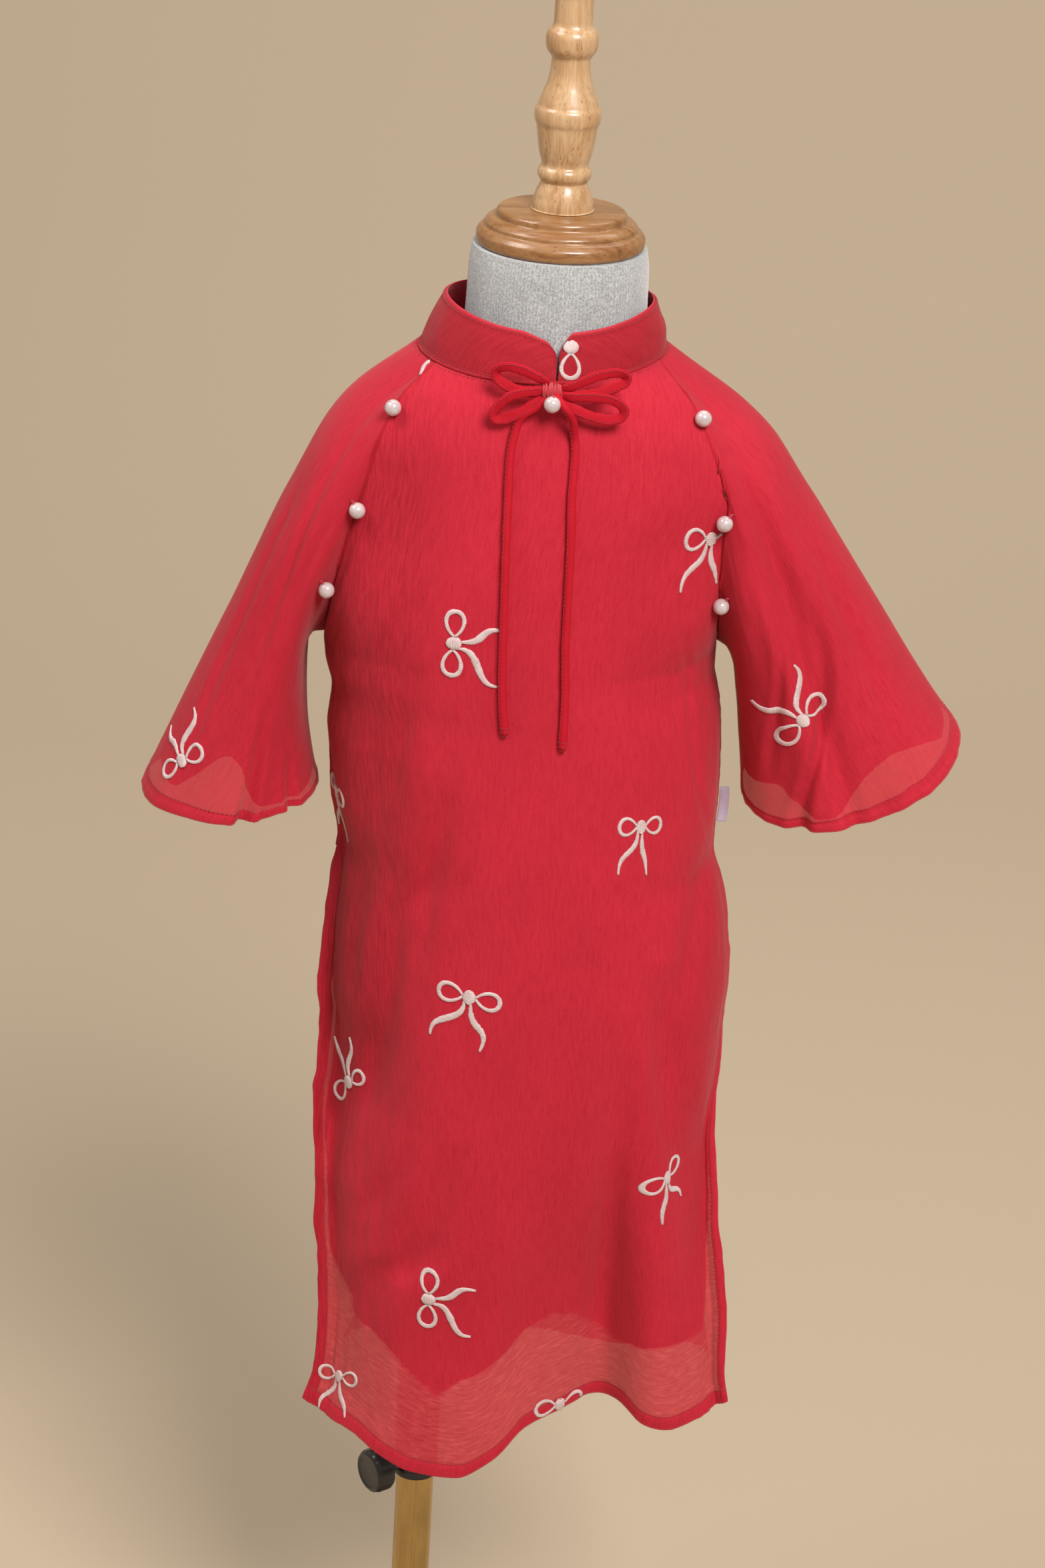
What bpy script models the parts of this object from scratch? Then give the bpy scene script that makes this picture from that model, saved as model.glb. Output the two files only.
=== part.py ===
"""Child's ao dai tunic on a limbless dress form and its stand.

Metres, +Z up, the front of the tunic faces -Y, +X is the viewer's right.
The origin is the centre of the base plate's underside, on the floor.

Every cloth piece is a wall. Its outer face is worked out from short tables of
sizes (one row for each level, section or fold) and its inner face lies one
cloth thickness further in. Neighbouring pieces keep a seam gap.
"""
import math

import bpy
import numpy as np

for old in list(bpy.data.objects):
    bpy.data.objects.remove(old, do_unlink=True)

# ------------------------------------------------------------------ sizes
CLOTH = 0.0011            # georgette wall
LINING = 0.0010           # lining wall
LAYER_GAP = 0.0005        # free space between outer cloth and lining
SEAM = 0.0005             # free space across a seam
SLIT_TOP = (0.637, 0.652)  # height of the side slits, left and right
LINING_HEM = 0.335        # lower edge of the body lining
BACK_TUCK = (0.0205, 0.0100)  # the back hangs this much narrower than the front, left and right, below the slits

NECK_CENTRE_X = -0.006
NECK_HALF_WIDTH = 0.067
NECK_FRONT = 0.062
NECK_BACK = 0.060
COLLAR_CENTRE_X = -0.0035
COLLAR_HALF_WIDTH = 0.0575
COLLAR_FRONT = 0.0540
COLLAR_BACK = 0.0550
COLLAR_CORNER = 0.0065
COLLAR_OPENING_X = 0.0025
RAGLAN_NECK_ANGLE = (-57.0, 68.0)   # degrees round the neck from centre front

PEARL_RADIUS = 0.0045
ROULEAU_RADIUS = 0.00225

MAST_X = -0.044
BASE_RADIUS = 0.140
BASE_THICK = 0.008
TUBE_RADIUS = 0.0115
TUBE_BORE = 0.0098
ROD_RADIUS = 0.0090
TUBE_TOP = 0.2215
CLAMP_RADIUS = 0.0139
CLAMP_TOP = 0.315
CLAMP_BORE = 0.0091
KNOB_Z = 0.2305
KNOB_DIR = (-0.80, -0.60, 0.0)
TORSO_BOTTOM = 0.500

# body from hem to armpit: one row for each level
BODY = dict(
    z=(0.277, 0.300, 0.335, 0.370, 0.420, 0.470, 0.530, 0.560, 0.595, 0.625, 0.645, 0.675, 0.720, 0.745, 0.762, 0.775),
    x_left=(-0.1125, -0.1065, -0.1055, -0.1075, -0.1105, -0.1130, -0.1130, -0.1160, -0.1140, -0.1100, -0.1070, -0.1120, -0.1140, -0.1125, -0.1165, -0.1180),
    x_right=(0.1415, 0.1378, 0.1365, 0.1318, 0.1253, 0.1208, 0.1215, 0.1230, 0.1200, 0.1135, 0.1078, 0.1085, 0.1070, 0.1035, 0.1000, 0.1000),
    y_front=(-0.0870, -0.0880, -0.0890, -0.0890, -0.0900, -0.0910, -0.0920, -0.0920, -0.0915, -0.0910, -0.0905, -0.0890, -0.0865, -0.0855, -0.0850, -0.0845),
    y_back=(0.0800, 0.0810, 0.0820, 0.0830, 0.0850, 0.0870, 0.0880, 0.0870, 0.0850, 0.0830, 0.0810, 0.0790, 0.0780, 0.0785, 0.0795, 0.0800),
    edge_front=(-0.0420, -0.0415, -0.0400, -0.0380, -0.0330, -0.0265, -0.0160, -0.0105, -0.0050, -0.0015, -0.0003, -0.0003, -0.0003, -0.0003, -0.0003, -0.0003),
    edge_back=(0.0380, 0.0375, 0.0360, 0.0330, 0.0280, 0.0210, 0.0120, 0.0080, 0.0040, 0.0015, 0.0003, 0.0003, 0.0003, 0.0003, 0.0003, 0.0003),
)
# raglan seams from armpit (share 0) to neck (share 1)
RAGLAN = dict(
    share=(0.00, 0.08, 0.18, 0.30, 0.45, 0.60, 0.75, 0.90, 1.00),
    x_left=(-0.1180, -0.1165, -0.1140, -0.1100, -0.1040, -0.0968, -0.0905, -0.0785, -0.0622),
    z_left=(0.768, 0.782, 0.799, 0.820, 0.846, 0.871, 0.896, 0.922, 0.9365),
    x_right=(0.1000, 0.0993, 0.0985, 0.0975, 0.0970, 0.0980, 0.0900, 0.0755, 0.0561),
    z_right=(0.776, 0.788, 0.803, 0.823, 0.848, 0.872, 0.896, 0.923, 0.9415),
    depth=(0.0003, 0.0170, 0.0330, 0.0440, 0.0510, 0.0550, 0.0560, 0.0480, 0.0337),
    z_centre=(0.775, 0.788, 0.804, 0.824, 0.848, 0.872, 0.896, 0.920, 0.9355),
    y_front=(-0.0845, -0.0843, -0.0838, -0.0832, -0.0818, -0.0790, -0.0748, -0.0680, -0.0620),
    y_back=(0.0800, 0.0800, 0.0800, 0.0795, 0.0785, 0.0765, 0.0725, 0.0660, 0.0600),
)
# long folds that run down a panel: a trough (depth > 0, inward) along a line
# columns: panel, height, x of the line, depth, half width of the soft trough
FOLDS = (
    # the front falls in beside the hip, below the form, right of the middle
    ("front", (0.277, 0.0560, 0.0340, 0.0320), (0.335, 0.0520, 0.0300, 0.0310), (0.380, 0.0530, 0.0220, 0.0300),
     (0.430, 0.0570, 0.0120, 0.0270), (0.480, 0.0600, 0.0050, 0.0220), (0.530, 0.0600, 0.0020, 0.0180), (0.570, 0.0600, 0.0000, 0.0160)),
    ("front", (0.277, 0.0640, 0.0130, 0.0110), (0.335, 0.0650, 0.0120, 0.0105), (0.400, 0.0650, 0.0085, 0.0100),
     (0.460, 0.0650, 0.0050, 0.0095), (0.520, 0.0650, 0.0025, 0.0095), (0.570, 0.0650, 0.0000, 0.0090)),
    # beside the left slit edge the hem lies almost flat before it swings forward
    ("front", (0.277, -0.0860, 0.0060, 0.0150), (0.335, -0.0860, 0.0050, 0.0140), (0.400, -0.0850, 0.0030, 0.0120),
     (0.450, -0.0850, 0.0040, 0.0140), (0.500, -0.0820, 0.0060, 0.0160), (0.550, -0.0820, 0.0050, 0.0160), (0.600, -0.0820, 0.0030, 0.0160), (0.640, -0.0820, 0.0000, 0.0150)),
    # and again near the right slit edge
    ("front", (0.277, 0.1220, 0.0090, 0.0140), (0.335, 0.1180, 0.0090, 0.0130), (0.400, 0.1140, 0.0080, 0.0110),
     (0.465, 0.1090, 0.0090, 0.0090), (0.510, 0.0960, 0.0080, 0.0085), (0.560, 0.0860, 0.0050, 0.0080), (0.600, 0.0800, 0.0000, 0.0080)),
    # long drag line from the middle of the body down to the left slit edge
    ("front", (0.440, -0.0900, 0.0000, 0.0080), (0.473, -0.0890, 0.0055, 0.0085), (0.508, -0.0730, 0.0070, 0.0095),
     (0.560, -0.0650, 0.0065, 0.0095), (0.620, -0.0600, 0.0060, 0.0100), (0.660, -0.0440, 0.0045, 0.0100), (0.710, -0.0400, 0.0000, 0.0100)),
    ("front", (0.640, -0.0930, 0.0000, 0.0080), (0.679, -0.0880, 0.0040, 0.0080), (0.710, -0.0840, 0.0045, 0.0085), (0.750, -0.0770, 0.0000, 0.0080)),
    ("front", (0.395, -0.0660, 0.0000, 0.0080), (0.423, -0.0460, 0.0050, 0.0085), (0.455, -0.0380, 0.0040, 0.0085), (0.500, -0.0300, 0.0000, 0.0080)),
    # back: three flutes of uneven depth
    ("back", (0.277, -0.0250, 0.0260, 0.0210), (0.340, -0.0260, 0.0210, 0.0200), (0.420, -0.0300, 0.0110, 0.0170), (0.500, -0.0320, 0.0030, 0.0140), (0.560, -0.0330, 0.0000, 0.0120)),
    ("back", (0.277, 0.0700, 0.0330, 0.0240), (0.340, 0.0650, 0.0270, 0.0220), (0.420, 0.0600, 0.0130, 0.0180), (0.500, 0.0560, 0.0040, 0.0140), (0.580, 0.0540, 0.0000, 0.0120)),
    ("back", (0.520, -0.0700, 0.0000, 0.0090), (0.600, -0.0620, 0.0040, 0.0095), (0.680, -0.0540, 0.0045, 0.0095), (0.760, -0.0480, 0.0000, 0.0090)),
)
# hem height across the front: lower on the lobes, higher in the hollow
HEM_FRONT = dict(x=(-0.1125, -0.1000, -0.0840, -0.0660, -0.0450, -0.0200, 0.0060, 0.0220, 0.0360, 0.0560, 0.0750, 0.0900, 0.1070, 0.1250, 0.1415),
                 z=(0.2935, 0.2868, 0.2852, 0.2785, 0.2718, 0.2700, 0.2826, 0.2988, 0.3020, 0.3058, 0.3072, 0.2996, 0.2966, 0.2996, 0.3084))
HEM_BACK = dict(x=(-0.114, -0.070, -0.025, 0.020, 0.070, 0.110, 0.144),
                z=(0.2880, 0.2840, 0.2910, 0.2840, 0.2940, 0.2880, 0.2940))
# below the slits the front ends at each side in a strip that hangs flat and faces forward
STRIP = dict(z=(0.277, 0.300, 0.335, 0.370, 0.420, 0.470, 0.530, 0.590, 0.637),
             left=(0.0120, 0.0130, 0.0140, 0.0150, 0.0140, 0.0110, 0.0060, 0.0020, 0.0000),
             right=(0.0080, 0.0090, 0.0100, 0.0100, 0.0080, 0.0060, 0.0030, 0.0010, 0.0000))
STRIP_ROUND = 0.045

# sleeves: sections between the armhole (share 0, the seam itself) and the cuff (share 1)
SLEEVE_LEFT = dict(
    share=(0.22, 0.45, 0.70, 0.88, 1.00),
    x_top=(-0.1130, -0.1420, -0.1735, -0.2010, -0.2200), z_top=(0.9040, 0.8520, 0.7800, 0.7140, 0.6710),
    x_bottom=(-0.1275, -0.1290, -0.1265, -0.1225, -0.1190), z_bottom=(0.7640, 0.7420, 0.7130, 0.6900, 0.6750),
    front=(0.0580, 0.0550, 0.0540, 0.0555, 0.0580), back=(0.0560, 0.0530, 0.0520, 0.0530, 0.0550),
    drop_front=(0.000, 0.000, 0.001, 0.002, 0.003),
)
SLEEVE_RIGHT = dict(
    share=(0.22, 0.45, 0.70, 0.88, 1.00),
    x_top=(0.1130, 0.1460, 0.1860, 0.2200, 0.2420), z_top=(0.9070, 0.8650, 0.8060, 0.7560, 0.7260),
    x_bottom=(0.1085, 0.1125, 0.1165, 0.1195, 0.1205), z_bottom=(0.7690, 0.7500, 0.7240, 0.7020, 0.6900),
    front=(0.0580, 0.0560, 0.0560, 0.0580, 0.0600), back=(0.0560, 0.0540, 0.0530, 0.0545, 0.0560),
    drop_front=(0.000, 0.004, 0.009, 0.014, 0.018),
)
# flutes of the bell at the cuff: angle round the sleeve (degrees), depth at the cuff, half width (degrees)
SLEEVE_FLUTES = dict(
    left=((52.0, 0.0050, 16.0), (118.0, 0.0045, 14.0), (238.0, 0.0060, 18.0), (300.0, 0.0045, 15.0)),
    right=((60.0, 0.0055, 15.0), (105.0, 0.0060, 13.0), (246.0, 0.0055, 18.0), (306.0, 0.0050, 15.0)),
)
SLEEVE_LINING_END = 0.885   # share of the sleeve's length where its lining ends
RAGLAN_TURN = 144.0         # degrees round the armhole taken by each raglan seam; the neck takes the rest

# torso of the dress form: one row for each level
TORSO = dict(
    z=(0.500, 0.508, 0.530, 0.560, 0.600, 0.650, 0.700, 0.750, 0.790, 0.830, 0.860, 0.880, 0.896, 0.910, 0.922, 0.934, 0.946, 0.965, 0.985, 0.9952),
    half_width=(0.0740, 0.0810, 0.0850, 0.0865, 0.0875, 0.0900, 0.0875, 0.0885, 0.0895, 0.0915, 0.0930, 0.0910, 0.0850, 0.0750, 0.0630, 0.0540, 0.0500, 0.0490, 0.0485, 0.0470),
    front=(0.0660, 0.0720, 0.0760, 0.0785, 0.0795, 0.0785, 0.0785, 0.0775, 0.0770, 0.0755, 0.0725, 0.0700, 0.0670, 0.0630, 0.0580, 0.0530, 0.0500, 0.0490, 0.0485, 0.0470),
    back=(0.0680, 0.0740, 0.0780, 0.0800, 0.0770, 0.0700, 0.0660, 0.0690, 0.0720, 0.0730, 0.0710, 0.0690, 0.0650, 0.0600, 0.0560, 0.0520, 0.0500, 0.0490, 0.0485, 0.0470),
)
CAP_PROFILE = ((0.0440, 0.9956), (0.0455, 0.9975), (0.0455, 1.0015), (0.0435, 1.0045), (0.0410, 1.0055), (0.0410, 1.0075),
               (0.0385, 1.0095), (0.0352, 1.0105), (0.0350, 1.0135), (0.0338, 1.0147))
FINIAL_PROFILE = ((0.0164, 1.0150), (0.0160, 1.0195), (0.0145, 1.0245), (0.0126, 1.0296), (0.0140, 1.0318), (0.0146, 1.0343),
                  (0.0138, 1.0368), (0.0124, 1.0404), (0.0138, 1.0450), (0.0151, 1.0505), (0.0160, 1.0570), (0.0163, 1.0612),
                  (0.0174, 1.0635), (0.0178, 1.0669), (0.0173, 1.0700), (0.0158, 1.0725), (0.0140, 1.0770), (0.0118, 1.0820),
                  (0.0107, 1.0870), (0.0104, 1.0959), (0.0118, 1.0990), (0.0136, 1.1025), (0.0140, 1.1057), (0.0134, 1.1090),
                  (0.0112, 1.1120), (0.0103, 1.1150), (0.0103, 1.1270), (0.0116, 1.1310), (0.0128, 1.1370), (0.0126, 1.1430),
                  (0.0108, 1.1480), (0.0070, 1.1515))

# beads on the front raglan seams: share of the seam's length, sideways lean of the bead from the seam
PEARLS_LEFT = ((0.860, -0.20), (0.520, 0.10), (0.235, -0.22))
PEARLS_RIGHT = ((0.870, 0.50), (0.540, -0.15), (0.230, 0.10))
# rouleau bow: tip of each loop, half the opening between its two strands, height at the knot
LOOPS = dict(
    upper_left=(-0.0285, 0.9410, 0.0030, 0.9338), lower_left=(-0.0278, 0.9185, 0.0026, 0.9285),
    upper_right=(0.0385, 0.9425, 0.0028, 0.9338), lower_right=(0.0375, 0.9225, 0.0028, 0.9285),
)
STRAP_WIDTH = 0.0042
STRAP_THICK = 0.0014
KNOT = (0.0020, 0.9312)
TAIL_LEFT = dict(x=(-0.0052, -0.0118, -0.0180, -0.0198, -0.0195, -0.0190, -0.0183, -0.0177, -0.0165, -0.0142),
                 z=(0.9225, 0.9185, 0.9110, 0.8960, 0.8680, 0.8400, 0.8120, 0.7860, 0.7650, 0.7456))
TAIL_RIGHT = dict(x=(0.0055, 0.0100, 0.0132, 0.0144, 0.0140, 0.0150, 0.0153, 0.0155, 0.0170, 0.0175),
                  z=(0.9225, 0.9185, 0.9125, 0.9000, 0.8820, 0.8540, 0.8260, 0.7980, 0.7700, 0.7387))
LABEL = dict(z_low=0.6660, z_high=0.6870, out=0.0052, thick=0.0010)


# ------------------------------------------------------------------ helpers
def smooth(xs, ys, x):
    """Monotone cubic curve through a table's column."""
    xs, ys, x = (np.asarray(a, float) for a in (xs, ys, x))
    h, d = np.diff(xs), np.diff(ys) / np.diff(xs)
    m = np.zeros_like(ys)
    m[0], m[-1] = d[0], d[-1]
    for i in range(1, len(xs) - 1):
        if d[i - 1] * d[i] > 0:
            w1, w2 = 2 * h[i] + h[i - 1], h[i] + 2 * h[i - 1]
            m[i] = (w1 + w2) / (w1 / d[i - 1] + w2 / d[i])
    x = np.clip(x, xs[0], xs[-1])
    k = np.clip(np.searchsorted(xs, x) - 1, 0, len(h) - 1)
    t = (x - xs[k]) / h[k]
    return ((2 * t**3 - 3 * t**2 + 1) * ys[k] + (t**3 - 2 * t**2 + t) * h[k] * m[k]
            + (3 * t**2 - 2 * t**3) * ys[k + 1] + (t**3 - t**2) * h[k] * m[k + 1])


def step(a, b, x):
    t = np.clip((np.asarray(x, float) - a) / (b - a), 0.0, 1.0)
    return t * t * (3 - 2 * t)


def ring(angle, centre_x, half_width, front, back, z):
    """Point on an oval; angle in degrees from centre front, positive to +X."""
    a = np.radians(np.asarray(angle, float))
    c = np.cos(a)
    return np.stack([centre_x + half_width * np.sin(a), -np.where(c > 0, front, back) * c, np.broadcast_to(z, a.shape) + 0 * a], -1)


def neck_seam(angle):
    a = np.radians(np.asarray(angle, float))
    z = 0.940 + 0.003 * np.sin(a) - 0.0045 * np.cos(a) ** 2
    return ring(angle, NECK_CENTRE_X, NECK_HALF_WIDTH, NECK_FRONT, NECK_BACK, z)


def collar_top(angle):
    a = np.radians(np.asarray(angle, float))
    z = 0.967 + 0.001 * np.sin(a) - np.where(np.cos(a) > 0, 0.0075, 0.0060) * np.cos(a) ** 2
    return ring(angle, COLLAR_CENTRE_X, COLLAR_HALF_WIDTH, COLLAR_FRONT, COLLAR_BACK, z)


def fold_depth(panel, x, z):
    total = np.zeros(np.broadcast(x, z).shape)
    for fold in FOLDS:
        if fold[0] != panel:
            continue
        zs, xs, depths, widths = (np.array(c) for c in zip(*fold[1:]))
        inside = (z >= zs[0]) | (depths[0] > 0)
        inside = inside & (z <= zs[-1])
        line, depth, width = smooth(zs, xs, z), smooth(zs, depths, z), smooth(zs, widths, z)
        total = total + np.where(inside, depth * np.exp(-0.5 * ((x - line) / width) ** 2), 0.0)
    return total


def raglan_edge(side, share, face):
    """Point of a raglan seam; side 0 left or 1 right, face -1 front or +1 back."""
    name = ("left", "right")[side]
    x = smooth(RAGLAN["share"], RAGLAN["x_" + name], share)
    z = smooth(RAGLAN["share"], RAGLAN["z_" + name], share)
    depth = smooth(RAGLAN["share"], RAGLAN["depth"], share)
    p = np.stack([x, face * depth, z], -1)
    corner = neck_seam(RAGLAN_NECK_ANGLE[side] if face < 0 else 180 - RAGLAN_NECK_ANGLE[side])
    end = np.array([RAGLAN["x_" + name][-1], face * RAGLAN["depth"][-1], RAGLAN["z_" + name][-1]])
    return p + (np.asarray(share, float)[..., None] ** 6) * (corner - end)


def panel_point(panel, u, level):
    """Outer face of the front or back: u -1..1 across, level 0 hem, 1 armpit, 2 neck."""
    face = -1 if panel == "front" else 1
    u, level = np.broadcast_arrays(np.asarray(u, float), np.asarray(level, float))
    low, s = np.clip(level, 0, 1), np.clip(level - 1, 0, 1)
    z_low, z_arm = BODY["z"][0], BODY["z"][-1]
    zn = z_low + (z_arm - z_low) * low
    upper = level > 1
    key = "y_front" if face < 0 else "y_back"
    left, right = raglan_edge(0, s, face), raglan_edge(1, s, face)
    xl = np.where(upper, left[..., 0], smooth(BODY["z"], BODY["x_left"], zn))
    xr = np.where(upper, right[..., 0], smooth(BODY["z"], BODY["x_right"], zn))
    if face > 0:
        tuck = step(0.70, 0.28, low)
        xl, xr = xl + BACK_TUCK[0] * tuck, xr - BACK_TUCK[1] * tuck
    edge = smooth(BODY["z"], BODY["edge_front" if face < 0 else "edge_back"], zn)
    yl, yr = np.where(upper, left[..., 1], edge), np.where(upper, right[..., 1], edge)
    yc = np.where(upper, smooth(RAGLAN["share"], RAGLAN[key], s), smooth(BODY["z"], BODY[key], zn))
    k = 1 - step(0.0, 0.5, s)
    flat = np.zeros(u.shape)
    if face < 0:
        width = np.where(u < 0, smooth(STRIP["z"], STRIP["left"], zn), smooth(STRIP["z"], STRIP["right"], zn)) * np.where(upper, 0.0, 1.0)
        end = 1 - width / 0.155
        far = np.abs(u) / end
        soft = lambda v: STRIP_ROUND * np.log1p(np.exp(np.clip(v / STRIP_ROUND, -40, 40)))
        out = soft(far - 1) / soft(1 / end - 1)
        main = np.sign(u) * (1 - soft(1 - far)) / (1 - soft(1 - 1 / end))
        share = step(0.0, 0.004, width)
        flat = np.sign(u) * width * out * share
        u_in = np.clip(u * (1 - share) + main * share, -1, 1)
        xl_in = xl + smooth(STRIP["z"], STRIP["left"], zn) * np.where(upper, 0.0, 1.0)
        xr_in = xr - smooth(STRIP["z"], STRIP["right"], zn) * np.where(upper, 0.0, 1.0)
    else:
        u_in, xl_in, xr_in = u, xl, xr
    wide = (1 - k) * u_in + k * np.sin(u_in * math.pi / 2)
    power = 2.35 - 0.35 * step(0.0, 0.5, s)
    root = 2.0 - step(0.0, 0.5, s)
    bulge = np.clip(1 - np.abs(wide) ** power, 0, 1) ** (1 / root)
    x = (xl_in + xr_in) / 2 + (xr_in - xl_in) / 2 * wide + flat
    ye = yl + (yr - yl) * (wide + 1) / 2
    y = ye + (yc - ye) * bulge
    hem = HEM_FRONT if face < 0 else HEM_BACK
    span = (x - xl) / np.maximum(xr - xl, 1e-6)
    x_hem = BODY["x_left"][0] + (BODY["x_right"][0] - BODY["x_left"][0]) * np.clip(span, 0, 1)
    z_hem = smooth(hem["x"], hem["z"], x_hem)
    arm_l, arm_r = RAGLAN["z_left"][0], RAGLAN["z_right"][0]
    z_edge_arm = arm_l + (arm_r - arm_l) * (wide + 1) / 2
    z_top = z_arm + (z_edge_arm - z_arm) * wide**2
    z = z_hem + (z_top - z_hem) * (zn - z_low) / (z_arm - z_low)
    zc = smooth(RAGLAN["share"], RAGLAN["z_centre"], s)
    z_edge = left[..., 2] + (right[..., 2] - left[..., 2]) * (wide + 1) / 2
    z = np.where(upper, zc + (z_edge - zc) * wide**2, z)
    y = y - face * fold_depth(panel, x, zn + 0 * x) * step(1.0, 0.88, np.abs(u)) * np.where(upper, 0.0, 1.0)
    p = np.stack([x, y, z], -1)
    # the top row lies exactly on the neck seam
    a0, a1 = RAGLAN_NECK_ANGLE
    angle = a0 + (a1 - a0) * (u + 1) / 2
    angle = angle if face < 0 else 180 - angle
    neck = neck_seam(angle)
    one_l, one_r = raglan_edge(0, 1.0, face), raglan_edge(1, 1.0, face)
    yc1, zc1 = RAGLAN[key][-1], RAGLAN["z_centre"][-1]
    x1 = (one_l[0] + one_r[0]) / 2 + (one_r[0] - one_l[0]) / 2 * u
    ye1 = one_l[1] + (one_r[1] - one_l[1]) * (u + 1) / 2
    ze1 = one_l[2] + (one_r[2] - one_l[2]) * (u + 1) / 2
    formula = np.stack([x1, ye1 + (yc1 - ye1) * (1 - u**2), zc1 + (ze1 - zc1) * u**2], -1)
    return p + (s**4)[..., None] * (neck - formula)


def armhole(side, angle):
    """Seam loop of a sleeve; angle in degrees from the armpit over the front (90), the neck (180) and the back."""
    a = np.mod(np.asarray(angle, float), 360.0)
    turn = RAGLAN_TURN
    front = raglan_edge(side, np.clip(a / turn, 0, 1), -1)
    back = raglan_edge(side, np.clip((360 - a) / turn, 0, 1), 1)
    n0 = RAGLAN_NECK_ANGLE[side]
    n1 = (-180 - n0) if side == 0 else (180 - n0)
    top = neck_seam(n0 + (n1 - n0) * np.clip((a - turn) / (360 - 2 * turn), 0, 1))
    a = a[..., None]
    return np.where(a <= turn, front, np.where(a < 360 - turn, top, back))


def sleeve_point(side, angle, share):
    table = (SLEEVE_LEFT, SLEEVE_RIGHT)[side]
    flutes = SLEEVE_FLUTES[("left", "right")[side]]
    angle, share = np.broadcast_arrays(np.asarray(angle, float), np.asarray(share, float))
    a = np.radians(angle)
    rings = [armhole(side, angle)]
    for i in range(len(table["share"])):
        top = np.array([table["x_top"][i], 0, table["z_top"][i]])
        low = np.array([table["x_bottom"][i], 0, table["z_bottom"][i]])
        y = -np.where(np.sin(a) > 0, table["front"][i], table["back"][i]) * np.sin(a)
        p = (top + low) / 2 + (low - top) / 2 * np.cos(a)[..., None]
        p[..., 1] += y
        p[..., 2] -= table["drop_front"][i] * np.sin(a)
        rings.append(p)
    ws = np.array((0.0,) + table["share"])
    stack = np.stack(rings)                      # ring, ..., 3
    # natural spline through the rings, along every line of equal angle
    d = np.diff(stack, axis=0) / np.diff(ws).reshape(-1, *([1] * (stack.ndim - 1)))
    slope = np.concatenate([d[:1], (d[1:] + d[:-1]) / 2, d[-1:]])
    k = np.clip(np.searchsorted(ws, share) - 1, 0, len(ws) - 2)
    t = ((share - ws[k]) / (ws[k + 1] - ws[k]))[..., None]
    h = (ws[k + 1] - ws[k])[..., None]
    pick = lambda arr, idx: np.take_along_axis(arr, idx[None, ..., None], axis=0)[0]
    p = ((2 * t**3 - 3 * t**2 + 1) * pick(stack, k) + (t**3 - 2 * t**2 + t) * h * pick(slope, k)
         + (3 * t**2 - 2 * t**3) * pick(stack, k + 1) + (t**3 - t**2) * h * pick(slope, k + 1))
    depth = np.zeros(share.shape)
    for centre, amount, width in flutes:
        away = (angle - centre + 180) % 360 - 180
        depth = depth + amount * np.exp(-0.5 * (away / width) ** 2)
    depth = depth * step(0.25, 1.0, share)
    p[..., 1] += depth * np.sign(np.sin(a)) * np.abs(np.sin(a)) ** 0.5
    return p


def normals(grid, wrap):
    du = np.empty_like(grid)
    du[:, 1:-1] = grid[:, 2:] - grid[:, :-2]
    if wrap:
        du[:, 0], du[:, -1] = grid[:, 1] - grid[:, -1], grid[:, 0] - grid[:, -2]
    else:
        du[:, 0], du[:, -1] = grid[:, 1] - grid[:, 0], grid[:, -1] - grid[:, -2]
    dv = np.gradient(grid, axis=0)
    n = np.cross(du, dv)
    return n / np.maximum(np.linalg.norm(n, axis=-1, keepdims=True), 1e-12)


def material(name, rgb, rough, metal=0.0, alpha=1.0):
    m = bpy.data.materials.new(name)
    m.use_nodes = True
    shader = m.node_tree.nodes["Principled BSDF"]
    shader.inputs["Base Color"].default_value = (*rgb, 1.0)
    shader.inputs["Roughness"].default_value = rough
    shader.inputs["Metallic"].default_value = metal
    shader.inputs["Alpha"].default_value = alpha
    m.diffuse_color = (*rgb, 1.0)
    return m


def make(name, verts, faces, mat, flat=35.0):
    mesh = bpy.data.meshes.new(name)
    mesh.from_pydata([tuple(v) for v in verts], [], faces)
    mesh.validate()
    mesh.materials.append(mat)
    mesh.shade_smooth()
    mesh.set_sharp_from_angle(angle=math.radians(flat))
    obj = bpy.data.objects.new(name, mesh)
    bpy.context.collection.objects.link(obj)
    return obj


def wall(name, grid, thick, mat, wrap=False, inset=0.0, n=None):
    """Closed wall: the grid (rows up, columns so that the normal points out) moved in by inset, and its inner face."""
    n = normals(grid, wrap) if n is None else n
    outer, inner = grid - n * inset, grid - n * (inset + thick)
    rows, cols = grid.shape[:2]
    verts = np.concatenate([outer.reshape(-1, 3), inner.reshape(-1, 3)])
    half = rows * cols
    at = lambda r, c, layer: layer * half + r * cols + c % cols
    faces = []
    last = cols if wrap else cols - 1
    for r in range(rows - 1):
        for c in range(last):
            faces.append((at(r, c, 0), at(r, c + 1, 0), at(r + 1, c + 1, 0), at(r + 1, c, 0)))
            faces.append((at(r, c, 1), at(r + 1, c, 1), at(r + 1, c + 1, 1), at(r, c + 1, 1)))
    for c in range(last):
        faces.append((at(0, c, 0), at(0, c, 1), at(0, c + 1, 1), at(0, c + 1, 0)))
        faces.append((at(rows - 1, c, 0), at(rows - 1, c + 1, 0), at(rows - 1, c + 1, 1), at(rows - 1, c, 1)))
    if not wrap:
        for r in range(rows - 1):
            faces.append((at(r, 0, 0), at(r + 1, 0, 0), at(r + 1, 0, 1), at(r, 0, 1)))
            faces.append((at(r, cols - 1, 0), at(r, cols - 1, 1), at(r + 1, cols - 1, 1), at(r + 1, cols - 1, 0)))
    return make(name, verts, faces, mat)


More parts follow.
